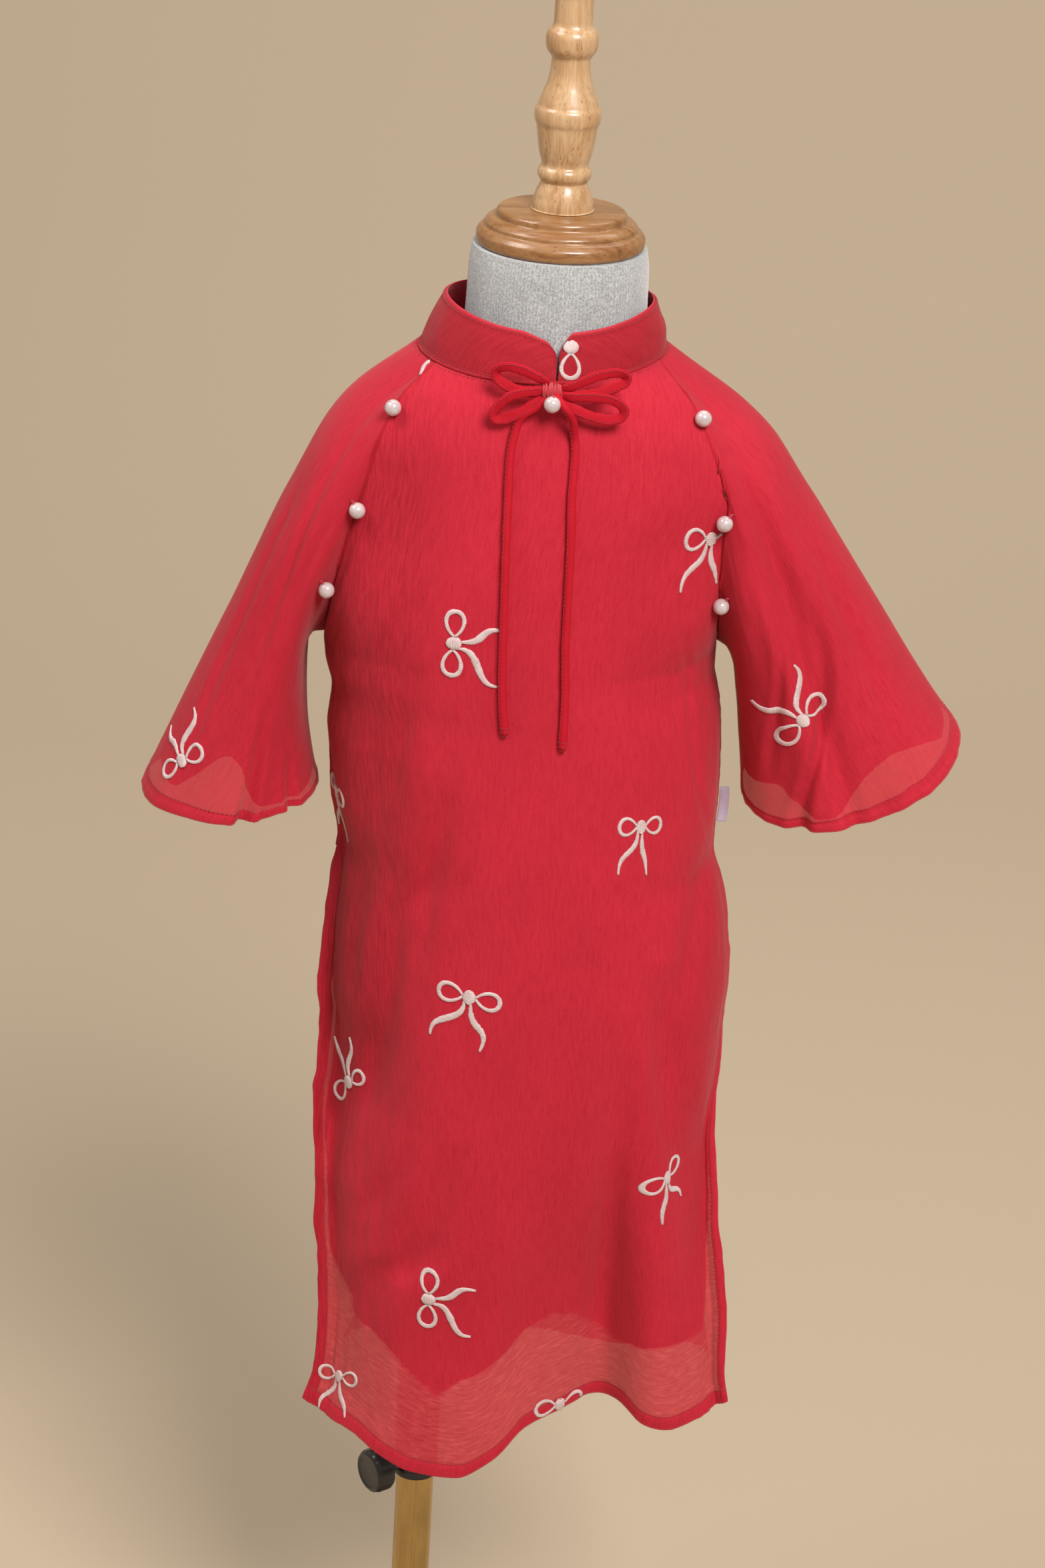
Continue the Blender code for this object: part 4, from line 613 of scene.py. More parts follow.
def stitch_parts(points, outs, pitch=0.0026, length=0.0019, width=0.00042, height=0.00030, lift=0.00005, seed=1):
    """One small tapered thread for each stitch along a line on the cloth."""
    points, outs = np.asarray(points, float), np.asarray(outs, float)
    along = np.concatenate([[0], np.cumsum(np.linalg.norm(np.diff(points, axis=0), axis=1))])
    count = int(along[-1] / pitch)
    if count < 1:
        return []
    start = (np.arange(count) + 0.5) * along[-1] / count - length / 2
    at = start[:, None] + np.array([0.0, 0.22, 0.5, 0.78, 1.0]) * length
    p = np.stack([np.interp(at, along, points[:, k]) for k in range(3)], -1)
    o = _unit(np.stack([np.interp(at, along, outs[:, k]) for k in range(3)], -1))
    d = _unit(np.gradient(p, axis=1))
    side = _unit(np.cross(d, o))
    wide = np.array([0.45, 0.9, 1.0, 0.9, 0.45]) * width / 2
    rise = np.array([-0.6, 0.75, 1.0, 0.75, -0.6]) * height
    p = p + o * lift
    corners = [side * wide[:, None] - o * height * 0.6, side * (wide * 0.7)[:, None] + o * rise[:, None],
               -side * (wide * 0.7)[:, None] + o * rise[:, None], -side * wide[:, None] - o * height * 0.6]
    rings = np.stack([p + c for c in corners], 2)           # stitch, 5, 4, 3
    parts = []
    base = np.arange(count) * 20
    verts = rings.reshape(-1, 3)
    quads = []
    for k in range(4):
        for j in range(4):
            m = (j + 1) % 4
            quads.append(np.stack([base + k * 4 + j, base + k * 4 + m, base + k * 4 + 4 + m, base + k * 4 + 4 + j], 1))
    quads.append(np.stack([base + 3, base + 2, base + 1, base], 1))
    quads.append(np.stack([base + 16, base + 17, base + 18, base + 19], 1))
    return [(verts, np.concatenate(quads))]


# ------------------------------------------------------------------ materials
WAVE = 20 / (2 * math.pi)    # a wave texture's period is 1 / WAVE of its vector's unit


def new_material(name):
    m = bpy.data.materials.new(name)
    m.use_nodes = True
    t = m.node_tree
    return m, t, t.nodes["Principled BSDF"]


def node(t, kind, **inputs):
    n = t.nodes.new(kind)
    for key, value in inputs.items():
        if key.startswith("_"):
            setattr(n, key[1:], value)
        else:
            n.inputs[key.replace("_", " ")].default_value = value
    return n


def link(t, a, b):
    t.links.new(a, b)


def ramp(t, source, stops):
    r = t.nodes.new("ShaderNodeValToRGB")
    el = r.color_ramp.elements
    while len(el) < len(stops):
        el.new(0.5)
    for e, (pos, col) in zip(el, stops):
        e.position = pos
        e.color = (*col, 1.0) if len(col) == 3 else col
    link(t, source, r.inputs["Fac"])
    return r.outputs["Color"]


def grain_vector(t, sx, sy, turn=0.0):
    """The cloth's own metres, scaled: sx and sy are the size in metres of one unit across and along."""
    uv = node(t, "ShaderNodeUVMap", _uv_map="grain")
    mp = node(t, "ShaderNodeMapping")
    mp.inputs["Scale"].default_value = (1 / sx, 1 / sy, 1)
    mp.inputs["Rotation"].default_value = (0, 0, turn)
    link(t, uv.outputs["UV"], mp.inputs["Vector"])
    return mp.outputs["Vector"]


def mix(t, a, b, fac, kind="MIX"):
    n = t.nodes.new("ShaderNodeMix")
    n.data_type, n.blend_type = "RGBA", kind
    if isinstance(fac, (int, float)):
        n.inputs["Factor"].default_value = fac
    else:
        link(t, fac, n.inputs["Factor"])
    for value, socket in ((a, n.inputs["A"]), (b, n.inputs["B"])):
        if isinstance(value, tuple):
            socket.default_value = (*value, 1.0)
        else:
            link(t, value, socket)
    return n.outputs["Result"]


def math_node(t, op, a, b=None):
    n = t.nodes.new("ShaderNodeMath")
    n.operation = op
    for value, socket in ((a, n.inputs[0]), (b, n.inputs[1])):
        if value is None:
            continue
        if isinstance(value, (int, float)):
            socket.default_value = value
        else:
            link(t, value, socket)
    return n.outputs[0]


def bump(t, shader, layers):
    """layers: (height socket, strength, distance in metres)"""
    last = None
    for height, strength, distance in layers:
        b = node(t, "ShaderNodeBump", Strength=strength, Distance=distance)
        link(t, height, b.inputs["Height"])
        if last is not None:
            link(t, last, b.inputs["Normal"])
        last = b.outputs["Normal"]
    link(t, last, shader.inputs["Normal"])


def georgette(name, dark, light, alpha, crinkle=1.0, sheen=0.16, front_paint_and_crinkle=False):
    """Crinkled crepe: wavy ridges along the grain, a pebbled weave under them; the colour is painted paler on the
    ridges and darker in the troughs, a painted light and shade.
    """
    m, t, s = new_material(name)
    ridge = node(t, "ShaderNodeTexNoise", Scale=1.0, Detail=2.0, Roughness=0.55, Distortion=0.35)
    link(t, grain_vector(t, 0.0016, 0.0120), ridge.inputs["Vector"])
    fine = node(t, "ShaderNodeTexNoise", Scale=1.0, Detail=2.0, Roughness=0.55, Distortion=0.25)
    link(t, grain_vector(t, 0.00075, 0.0034, 0.06), fine.inputs["Vector"])
    weave = node(t, "ShaderNodeTexNoise", Scale=1.0, Detail=1.0, Roughness=0.5)
    link(t, grain_vector(t, 0.00062, 0.00062), weave.inputs["Vector"])
    patch = node(t, "ShaderNodeTexNoise", Scale=1.0, Detail=2.0, Roughness=0.5)
    link(t, grain_vector(t, 0.045, 0.085), patch.inputs["Vector"])
    height = math_node(t, "ADD", math_node(t, "MULTIPLY", ridge.outputs["Fac"], 0.62), math_node(t, "MULTIPLY", fine.outputs["Fac"], 0.38))
    # painted light and shade: the colour runs from dark in the crinkles' troughs to light on their ridges
    colour = ramp(t, height, [(0.28, dark), (0.50, tuple(0.4 * a + 0.6 * b for a, b in zip(dark, light))), (0.72, light)])
    # painted shade in the weave's pits, paler on its tops; the broad patches after it are the cloth's own uneven tone
    tone = ramp(t, weave.outputs["Fac"], [(0.30, (0.90, 0.86, 0.86)), (0.70, (1.06, 1.10, 1.10))])
    colour = mix(t, colour, tone, 1.0, "MULTIPLY")
    wide = ramp(t, patch.outputs["Fac"], [(0.30, (0.94, 0.92, 0.92)), (0.70, (1.04, 1.05, 1.05))])
    colour = mix(t, colour, wide, 1.0, "MULTIPLY")
    link(t, colour, s.inputs["Base Color"])
    rough = ramp(t, height, [(0.3, (0.92,) * 3), (0.7, (0.76,) * 3)])
    link(t, rough, s.inputs["Roughness"])
    s.inputs["Specular IOR Level"].default_value = 0.22
    s.inputs["Sheen Weight"].default_value = sheen
    s.inputs["Sheen Roughness"].default_value = 0.45
    s.inputs["Sheen Tint"].default_value = (1.0, 0.55, 0.55, 1.0)
    s.inputs["Alpha"].default_value = alpha
    strength = 0.60 * crinkle
    if front_paint_and_crinkle:
        # painted light: where no lining lies behind it the cloth's colour is set paler, standing in for light that
        # shows through the sheer cloth
        bare = t.nodes.new("ShaderNodeAttribute")
        bare.attribute_name = "bare"
        puckers = node(t, "ShaderNodeTexNoise", Scale=1.0, Detail=3.0, Roughness=0.6, Distortion=0.6)
        link(t, grain_vector(t, 0.0085, 0.0019), puckers.inputs["Vector"])
        # the painted light through the bare cloth, mottled by the puckers
        thin = ramp(t, puckers.outputs["Fac"], [(0.32, (0.520, 0.040, 0.048)), (0.52, (0.640, 0.068, 0.074)), (0.72, (0.800, 0.130, 0.130))])
        colour = mix(t, colour, mix(t, colour, thin, 0.60), bare.outputs["Fac"])
        link(t, colour, s.inputs["Base Color"])
        # the crepe is crinkled harder on the wearer's right of the long drag line than in the middle
        tc = node(t, "ShaderNodeTexCoord")
        split = t.nodes.new("ShaderNodeSeparateXYZ")
        link(t, tc.outputs["Object"], split.inputs["Vector"])
        span = t.nodes.new("ShaderNodeMapRange")
        span.interpolation_type = "SMOOTHSTEP"
        for key, value in (("From Min", -0.046), ("From Max", -0.084), ("To Min", 0.0), ("To Max", 1.0)):
            span.inputs[key].default_value = value
        link(t, split.outputs["X"], span.inputs["Value"])
        low = t.nodes.new("ShaderNodeMapRange")
        low.interpolation_type = "SMOOTHSTEP"
        for key, value in (("From Min", 0.26), ("From Max", 0.37), ("To Min", 0.35), ("To Max", 1.0)):
            low.inputs[key].default_value = value
        link(t, split.outputs["Z"], low.inputs["Value"])
        # the painted shade's inner edge runs straight down to the hip and then out along the long drag line
        slant = t.nodes.new("ShaderNodeMapRange")
        slant.interpolation_type = "SMOOTHSTEP"
        for key, value in (("From Min", 0.570), ("From Max", 0.470), ("To Min", 0.0), ("To Max", 0.036)):
            slant.inputs[key].default_value = value
        link(t, split.outputs["Z"], slant.inputs["Value"])
        inner = t.nodes.new("ShaderNodeMapRange")
        inner.interpolation_type = "SMOOTHSTEP"
        for key, value in (("From Min", -0.048), ("From Max", -0.076), ("To Min", 0.0), ("To Max", 1.0)):
            inner.inputs[key].default_value = value
        link(t, math_node(t, "ADD", split.outputs["X"], slant.outputs["Result"]), inner.inputs["Value"])
        # the mask of the painted shade on the front's left side, weaker towards the hem
        where = math_node(t, "MULTIPLY", inner.outputs["Result"], low.outputs["Result"])
        strength = math_node(t, "ADD", math_node(t, "MULTIPLY", span.outputs["Result"], 0.42), 0.40)
        lines = node(t, "ShaderNodeTexNoise", Scale=1.0, Detail=2.0, Roughness=0.5, Distortion=0.25)
        link(t, grain_vector(t, 0.00105, 0.0170), lines.inputs["Vector"])
        # painted shade: inside that mask the colour is darker in the troughs of long crinkle lines
        crease_shade = ramp(t, lines.outputs["Fac"], [(0.36, (0.80, 0.73, 0.73)), (0.60, (1.0, 1.0, 1.0))])
        shaded = mix(t, colour, crease_shade, 1.0, "MULTIPLY")
        colour = mix(t, colour, shaded, where)
        # painted shade: from the hip down the colour is darker again inside that mask, standing in for shade that the
        # folds alone don't give
        hip = t.nodes.new("ShaderNodeMapRange")
        hip.interpolation_type = "SMOOTHSTEP"
        for key, value in (("From Min", 0.640), ("From Max", 0.520), ("To Min", 0.0), ("To Max", 0.85)):
            hip.inputs[key].default_value = value
        link(t, split.outputs["Z"], hip.inputs["Value"])
        dense_rows_and_hip_shade = mix(t, colour, (0.80, 0.66, 0.66), 1.0, "MULTIPLY")
        link(t, mix(t, colour, dense_rows_and_hip_shade, math_node(t, "MULTIPLY", where, hip.outputs["Result"])), s.inputs["Base Color"])
        height = math_node(t, "ADD", math_node(t, "MULTIPLY", height, 0.55), math_node(t, "MULTIPLY", lines.outputs["Fac"], 0.55))
        raised = math_node(t, "MULTIPLY", math_node(t, "MULTIPLY", puckers.outputs["Fac"], bare.outputs["Fac"]), 0.8)
        height = math_node(t, "ADD", height, raised)
    crumple = node(t, "ShaderNodeBump", Distance=0.00060)
    if front_paint_and_crinkle:
        link(t, strength, crumple.inputs["Strength"])
    else:
        crumple.inputs["Strength"].default_value = strength
    link(t, height, crumple.inputs["Height"])
    pebble = node(t, "ShaderNodeBump", Strength=0.55, Distance=0.00020)
    link(t, weave.outputs["Fac"], pebble.inputs["Height"])
    link(t, crumple.outputs["Normal"], pebble.inputs["Normal"])
    link(t, pebble.outputs["Normal"], s.inputs["Normal"])
    return m


def plain_weave(name, dark, light, rough=0.6, sheen=0.15):
    m, t, s = new_material(name)
    weft = node(t, "ShaderNodeTexWave", _wave_type="BANDS", _bands_direction="X", Scale=1.0, Distortion=0.6, Detail=1.0)
    link(t, grain_vector(t, 0.00045 * WAVE, 0.00045 * WAVE), weft.inputs["Vector"])
    warp = node(t, "ShaderNodeTexWave", _wave_type="BANDS", _bands_direction="Y", Scale=1.0, Distortion=0.6, Detail=1.0)
    link(t, grain_vector(t, 0.00045 * WAVE, 0.00045 * WAVE), warp.inputs["Vector"])
    slub = node(t, "ShaderNodeTexNoise", Scale=1.0, Detail=3.0, Roughness=0.6)
    link(t, grain_vector(t, 0.004, 0.012), slub.inputs["Vector"])
    h = math_node(t, "MULTIPLY", weft.outputs["Fac"], warp.outputs["Fac"])
    colour = mix(t, dark, light, slub.outputs["Fac"])
    # painted shade between the threads: the colour is darker where the weave's bump is low and lighter where the
    # threads cross on top; the slub mix above is the yarn's own uneven tone
    colour = mix(t, colour, ramp(t, h, [(0.0, (0.86,) * 3), (1.0, (1.06,) * 3)]), 1.0, "MULTIPLY")
    link(t, colour, s.inputs["Base Color"])
    link(t, ramp(t, slub.outputs["Fac"], [(0.3, (rough + 0.1,) * 3), (0.7, (rough - 0.08,) * 3)]), s.inputs["Roughness"])
    s.inputs["Specular IOR Level"].default_value = 0.3
    s.inputs["Sheen Weight"].default_value = sheen
    s.inputs["Sheen Roughness"].default_value = 0.4
    s.inputs["Sheen Tint"].default_value = (1.0, 0.6, 0.6, 1.0)
    bump(t, s, [(h, 0.35, 0.00015), (slub.outputs["Fac"], 0.3, 0.0005)])
    return m


def satin_stitch(name):
    """Embroidery thread laid side by side across each stroke; v runs along the stroke."""
    m, t, s = new_material(name)
    thread = node(t, "ShaderNodeTexWave", _wave_type="BANDS", _bands_direction="Y", Scale=1.0, Distortion=1.6, Detail=2.0)
    thread.inputs["Detail Scale"].default_value = 2.0
    link(t, grain_vector(t, 0.0042, 0.00062 * WAVE), thread.inputs["Vector"])
    fuzz = node(t, "ShaderNodeTexNoise", Scale=1.0, Detail=3.0, Roughness=0.7)
    link(t, grain_vector(t, 0.0011, 0.00035), fuzz.inputs["Vector"])
    soft = node(t, "ShaderNodeTexNoise", Scale=1.0, Detail=1.0)
    link(t, grain_vector(t, 0.006, 0.006), soft.inputs["Vector"])
    # painted shade: the colour is dark in the grooves between the threads and light on their tops, following the bump;
    # the two multiplies after it are the thread's own uneven tone
    colour = ramp(t, thread.outputs["Fac"], [(0.05, (0.50, 0.28, 0.27)), (0.32, (0.74, 0.60, 0.575)), (0.9, (0.87, 0.79, 0.765))])
    colour = mix(t, colour, ramp(t, fuzz.outputs["Fac"], [(0.3, (0.84, 0.80, 0.80)), (0.7, (1.05, 1.05, 1.05))]), 1.0, "MULTIPLY")
    colour = mix(t, colour, ramp(t, soft.outputs["Fac"], [(0.35, (0.93, 0.87, 0.87)), (0.65, (1.03, 1.03, 1.03))]), 1.0, "MULTIPLY")
    link(t, colour, s.inputs["Base Color"])
    link(t, ramp(t, fuzz.outputs["Fac"], [(0.3, (0.62,) * 3), (0.7, (0.42,) * 3)]), s.inputs["Roughness"])
    s.inputs["Sheen Weight"].default_value = 0.35
    s.inputs["Sheen Roughness"].default_value = 0.35
    bump(t, s, [(thread.outputs["Fac"], 0.8, 0.00022), (fuzz.outputs["Fac"], 0.4, 0.0001)])
    return m


def object_vector(t, scale):
    tc = node(t, "ShaderNodeTexCoord")
    mp = node(t, "ShaderNodeMapping")
    mp.inputs["Scale"].default_value = scale
    link(t, tc.outputs["Object"], mp.inputs["Vector"])
    return mp.outputs["Vector"]


def rubberwood(name, grain_axis, shade=1.0):
    """Pale varnished hardwood with broad warm bands, fine pores and short dark flecks along the grain."""
    m, t, s = new_material(name)
    wood = [tuple(0.80 * shade * c ** (1.0 if shade == 1.0 else 1.62) for c in w) for w in ((0.50, 0.265, 0.110), (0.66, 0.395, 0.190), (0.74, 0.480, 0.260), (0.60, 0.33, 0.140))]
    long_, cross = 1 / 0.060, 1 / 0.0085
    stretch = (cross, cross, long_) if grain_axis == "Z" else (long_, cross, cross)
    bands = node(t, "ShaderNodeTexNoise", Scale=1.0, Detail=4.0, Roughness=0.55, Distortion=1.1)
    link(t, object_vector(t, stretch), bands.inputs["Vector"])
    fibre = node(t, "ShaderNodeTexNoise", Scale=1.0, Detail=5.0, Roughness=0.65, Distortion=0.3)
    k = (1 / 0.0011, 1 / 0.0011, 1 / 0.016) if grain_axis == "Z" else (1 / 0.016, 1 / 0.0011, 1 / 0.0011)
    link(t, object_vector(t, k), fibre.inputs["Vector"])
    pores = node(t, "ShaderNodeTexVoronoi", Scale=1.0, Randomness=1.0)
    pores.feature = "F1"
    k = (1 / 0.0021, 1 / 0.0021, 1 / 0.0080) if grain_axis == "Z" else (1 / 0.0080, 1 / 0.0021, 1 / 0.0021)
    link(t, object_vector(t, k), pores.inputs["Vector"])
    colour = ramp(t, bands.outputs["Fac"], [(0.28, wood[0]), (0.45, wood[1]), (0.60, wood[2]), (0.75, wood[3])])
    colour = mix(t, colour, ramp(t, fibre.outputs["Fac"], [(0.30, (0.80, 0.74, 0.68)), (0.62, (1.05, 1.05, 1.05))]), 1.0, "MULTIPLY")
    fleck = ramp(t, pores.outputs["Distance"], [(0.09, (0.42, 0.30, 0.22)), (0.19, (1.0, 1.0, 1.0))])
    colour = mix(t, colour, fleck, 0.75, "MULTIPLY")
    link(t, colour, s.inputs["Base Color"])
    link(t, ramp(t, fibre.outputs["Fac"], [(0.3, (0.42,) * 3), (0.7, (0.30,) * 3)]), s.inputs["Roughness"])
    s.inputs["Coat Weight"].default_value = 0.45
    s.inputs["Coat Roughness"].default_value = 0.16
    s.inputs["Coat IOR"].default_value = 1.5
    bump(t, s, [(pores.outputs["Distance"], 0.12, 0.0003), (fibre.outputs["Fac"], 0.12, 0.0002)])
    return m


def rib_knit(name):
    """Velvety grey knit: narrow upright ribs of small loops, with pale fuzz."""
    m, t, s = new_material(name)
    rib = node(t, "ShaderNodeTexWave", _wave_type="BANDS", _bands_direction="X", Scale=1.0, Distortion=3.2, Detail=3.0)
    rib.inputs["Detail Scale"].default_value = 1.8
    link(t, grain_vector(t, 0.00200 * WAVE, 0.00200 * WAVE), rib.inputs["Vector"])
    loops = node(t, "ShaderNodeTexVoronoi", Scale=1.0, Randomness=0.75)
    link(t, grain_vector(t, 0.00085, 0.00135), loops.inputs["Vector"])
    fuzz = node(t, "ShaderNodeTexNoise", Scale=1.0, Detail=4.0, Roughness=0.7)
    link(t, grain_vector(t, 0.0009, 0.0016), fuzz.inputs["Vector"])
    soft = node(t, "ShaderNodeTexNoise", Scale=1.0, Detail=2.0)
    link(t, grain_vector(t, 0.018, 0.030), soft.inputs["Vector"])
    h = math_node(t, "ADD", math_node(t, "MULTIPLY", rib.outputs["Fac"], 0.16), math_node(t, "MULTIPLY", loops.outputs["Distance"], 0.92))
    # painted shade: the colour is darker in the hollows between ribs and loops and lighter on their tops, following the
    # bump; the fuzz after it is the yarn's own pale fibres
    colour = ramp(t, h, [(0.15, (0.27, 0.27, 0.268)), (0.50, (0.40, 0.40, 0.397)), (0.85, (0.53, 0.53, 0.525))])
    colour = mix(t, colour, ramp(t, fuzz.outputs["Fac"], [(0.35, (0.78,) * 3), (0.68, (1.16,) * 3)]), 1.0, "MULTIPLY")
    colour = mix(t, colour, ramp(t, soft.outputs["Fac"], [(0.35, (0.92,) * 3), (0.65, (1.05,) * 3)]), 1.0, "MULTIPLY")
    link(t, colour, s.inputs["Base Color"])
    link(t, ramp(t, fuzz.outputs["Fac"], [(0.3, (0.98,) * 3), (0.7, (0.86,) * 3)]), s.inputs["Roughness"])
    s.inputs["Specular IOR Level"].default_value = 0.15
    s.inputs["Sheen Weight"].default_value = 0.5
    s.inputs["Sheen Roughness"].default_value = 0.5
    bump(t, s, [(rib.outputs["Fac"], 0.14, 0.0004), (loops.outputs["Distance"], 0.5, 0.0003), (fuzz.outputs["Fac"], 0.5, 0.0003)])
    return m


def pearl_material(name):
    m, t, s = new_material(name)
    tone = node(t, "ShaderNodeTexNoise", Scale=1.0, Detail=2.0, Distortion=0.6)
    link(t, object_vector(t, (320, 320, 320)), tone.inputs["Vector"])
    link(t, ramp(t, tone.outputs["Fac"], [(0.30, (0.50, 0.385, 0.385)), (0.5, (0.56, 0.455, 0.450)), (0.70, (0.60, 0.52, 0.52))]), s.inputs["Base Color"])
    link(t, ramp(t, tone.outputs["Fac"], [(0.3, (0.20,) * 3), (0.7, (0.13,) * 3)]), s.inputs["Roughness"])
    s.inputs["Specular IOR Level"].default_value = 0.8
    s.inputs["Coat Weight"].default_value = 1.0
    s.inputs["Coat Roughness"].default_value = 0.06
    bump(t, s, [(tone.outputs["Fac"], 0.04, 0.0004)])
    return m


def brushed(name, dark, light, rough, metal=1.0):
    m, t, s = new_material(name)
    lines = node(t, "ShaderNodeTexNoise", Scale=1.0, Detail=4.0, Roughness=0.7)
    link(t, object_vector(t, (1 / 0.0007, 1 / 0.0007, 1 / 0.045)), lines.inputs["Vector"])
    stain = node(t, "ShaderNodeTexNoise", Scale=1.0, Detail=3.0, Roughness=0.6)
    link(t, object_vector(t, (60, 60, 22)), stain.inputs["Vector"])
    link(t, mix(t, mix(t, dark, light, lines.outputs["Fac"]), ramp(t, stain.outputs["Fac"], [(0.3, (0.82,) * 3), (0.65, (1.05,) * 3)]), 1.0, "MULTIPLY"), s.inputs["Base Color"])
    link(t, ramp(t, lines.outputs["Fac"], [(0.3, (rough + 0.10,) * 3), (0.7, (rough - 0.06,) * 3)]), s.inputs["Roughness"])
    s.inputs["Metallic"].default_value = metal
    bump(t, s, [(lines.outputs["Fac"], 0.10, 0.00008), (stain.outputs["Fac"], 0.04, 0.0004)])
    return m


def moulded(name, colour, rough, grain=0.0006, coat=0.0):
    m, t, s = new_material(name)
    g = node(t, "ShaderNodeTexNoise", Scale=1.0, Detail=3.0, Roughness=0.6)
    link(t, object_vector(t, (1 / grain,) * 3), g.inputs["Vector"])
    wear = node(t, "ShaderNodeTexNoise", Scale=1.0, Detail=4.0, Roughness=0.6)
    link(t, object_vector(t, (45, 45, 45)), wear.inputs["Vector"])
    lo, hi = tuple(c * 0.75 for c in colour), tuple(min(1, c * 1.5 + 0.004) for c in colour)
    link(t, mix(t, lo, hi, wear.outputs["Fac"]), s.inputs["Base Color"])
    link(t, ramp(t, wear.outputs["Fac"], [(0.3, (rough + 0.10,) * 3), (0.7, (rough - 0.08,) * 3)]), s.inputs["Roughness"])
    s.inputs["Coat Weight"].default_value = coat
    s.inputs["Coat Roughness"].default_value = 0.2
    bump(t, s, [(g.outputs["Fac"], 0.25, 0.00012)])
    return m


def thread_material(name, dark, light):
    m, t, s = new_material(name)
    ply = node(t, "ShaderNodeTexNoise", Scale=1.0, Detail=3.0, Roughness=0.6)
    link(t, object_vector(t, (2600, 2600, 2600)), ply.inputs["Vector"])
    link(t, mix(t, dark, light, ply.outputs["Fac"]), s.inputs["Base Color"])
    link(t, ramp(t, ply.outputs["Fac"], [(0.3, (0.75,) * 3), (0.7, (0.55,) * 3)]), s.inputs["Roughness"])
    s.inputs["Sheen Weight"].default_value = 0.2
    bump(t, s, [(ply.outputs["Fac"], 0.4, 0.0001)])
    return m


def floor_material(name, dark, light):
    m, t, s = new_material(name)
    n = node(t, "ShaderNodeTexNoise", Scale=1.0, Detail=3.0, Roughness=0.5)
    link(t, object_vector(t, (0.7, 0.7, 0.7)), n.inputs["Vector"])
    link(t, mix(t, dark, light, n.outputs["Fac"]), s.inputs["Base Color"])
    s.inputs["Roughness"].default_value = 0.95
    s.inputs["Specular IOR Level"].default_value = 0.1
    return m


# RED_DARK is the painted shade in the crinkles' troughs, RED_LIGHT the painted light on their ridges
RED_DARK, RED_LIGHT = (0.540, 0.0150, 0.0340), (0.670, 0.0250, 0.0500)
cloth_mat = georgette("red_georgette", RED_DARK, RED_LIGHT, 0.70, 0.8)
# the front's copy is painted paler where no lining lies behind it (painted light) and darker on its left side (painted
# shade)
front_mat = georgette("red_georgette_front", RED_DARK, RED_LIGHT, 0.76, 1.0, front_paint_and_crinkle=True)
collar_mat = georgette("collar_georgette", (0.300, 0.0070, 0.0150), (0.405, 0.0125, 0.0240), 1.0, 0.50)
fold_mat = georgette("hem_georgette", RED_DARK, RED_LIGHT, 0.97, 0.8)
lining_mat = plain_weave("red_lining", (0.540, 0.0150, 0.0360), (0.640, 0.0230, 0.0480))
strap_mat = plain_weave("rouleau", (0.470, 0.0068, 0.0180), (0.570, 0.0110, 0.0260), 0.70, 0.0)
strap_mat.node_tree.nodes["Principled BSDF"].inputs["Specular IOR Level"].default_value = 0.12
stitch_mat = thread_material("sewing_thread", (0.20, 0.006, 0.012), (0.34, 0.014, 0.022))
wrap_mat = thread_material("wrap_thread", (0.38, 0.012, 0.022), (0.62, 0.035, 0.050))
satin_mat = satin_stitch("embroidery")
pearl_mat = pearl_material("pearl")
label_mat = plain_weave("label_tape", (0.52, 0.44, 0.60), (0.70, 0.62, 0.76), 0.55, 0.2)
label_mat.node_tree.nodes["Principled BSDF"].inputs["Sheen Tint"].default_value = (1, 1, 1, 1)
label_thread = thread_material("label_thread", (0.55, 0.50, 0.60), (0.75, 0.70, 0.80))
knit_mat = rib_knit("grey_knit")
finial_mat = rubberwood("rubberwood_upright", "Z")
cap_mat = rubberwood("rubberwood_flat", "X", 0.69)
brass_mat = brushed("brushed_brass", (0.42, 0.27, 0.095), (0.66, 0.46, 0.19), 0.30)
black_mat = moulded("black_plastic", (0.018, 0.017, 0.016), 0.42, coat=0.15)
paint_mat = moulded("base_paint", (0.035, 0.034, 0.033), 0.5, 0.0009)
rubber_mat = moulded("rubber_foot", (0.02, 0.02, 0.02), 0.85)


# ------------------------------------------------------------------ cloth surfaces
Z_HEM, Z_ARM = BODY["z"][0], BODY["z"][-1]
HALF_ARC = 0.163            # arc length from the centre to an edge of a panel, near enough
HEM_BAND, SLIT_BAND, CUFF_BAND = 0.0088, 0.0074, 0.0068
CLOTH_SHEET = 0.00050       # georgette
LINING_SHEET = 0.00045
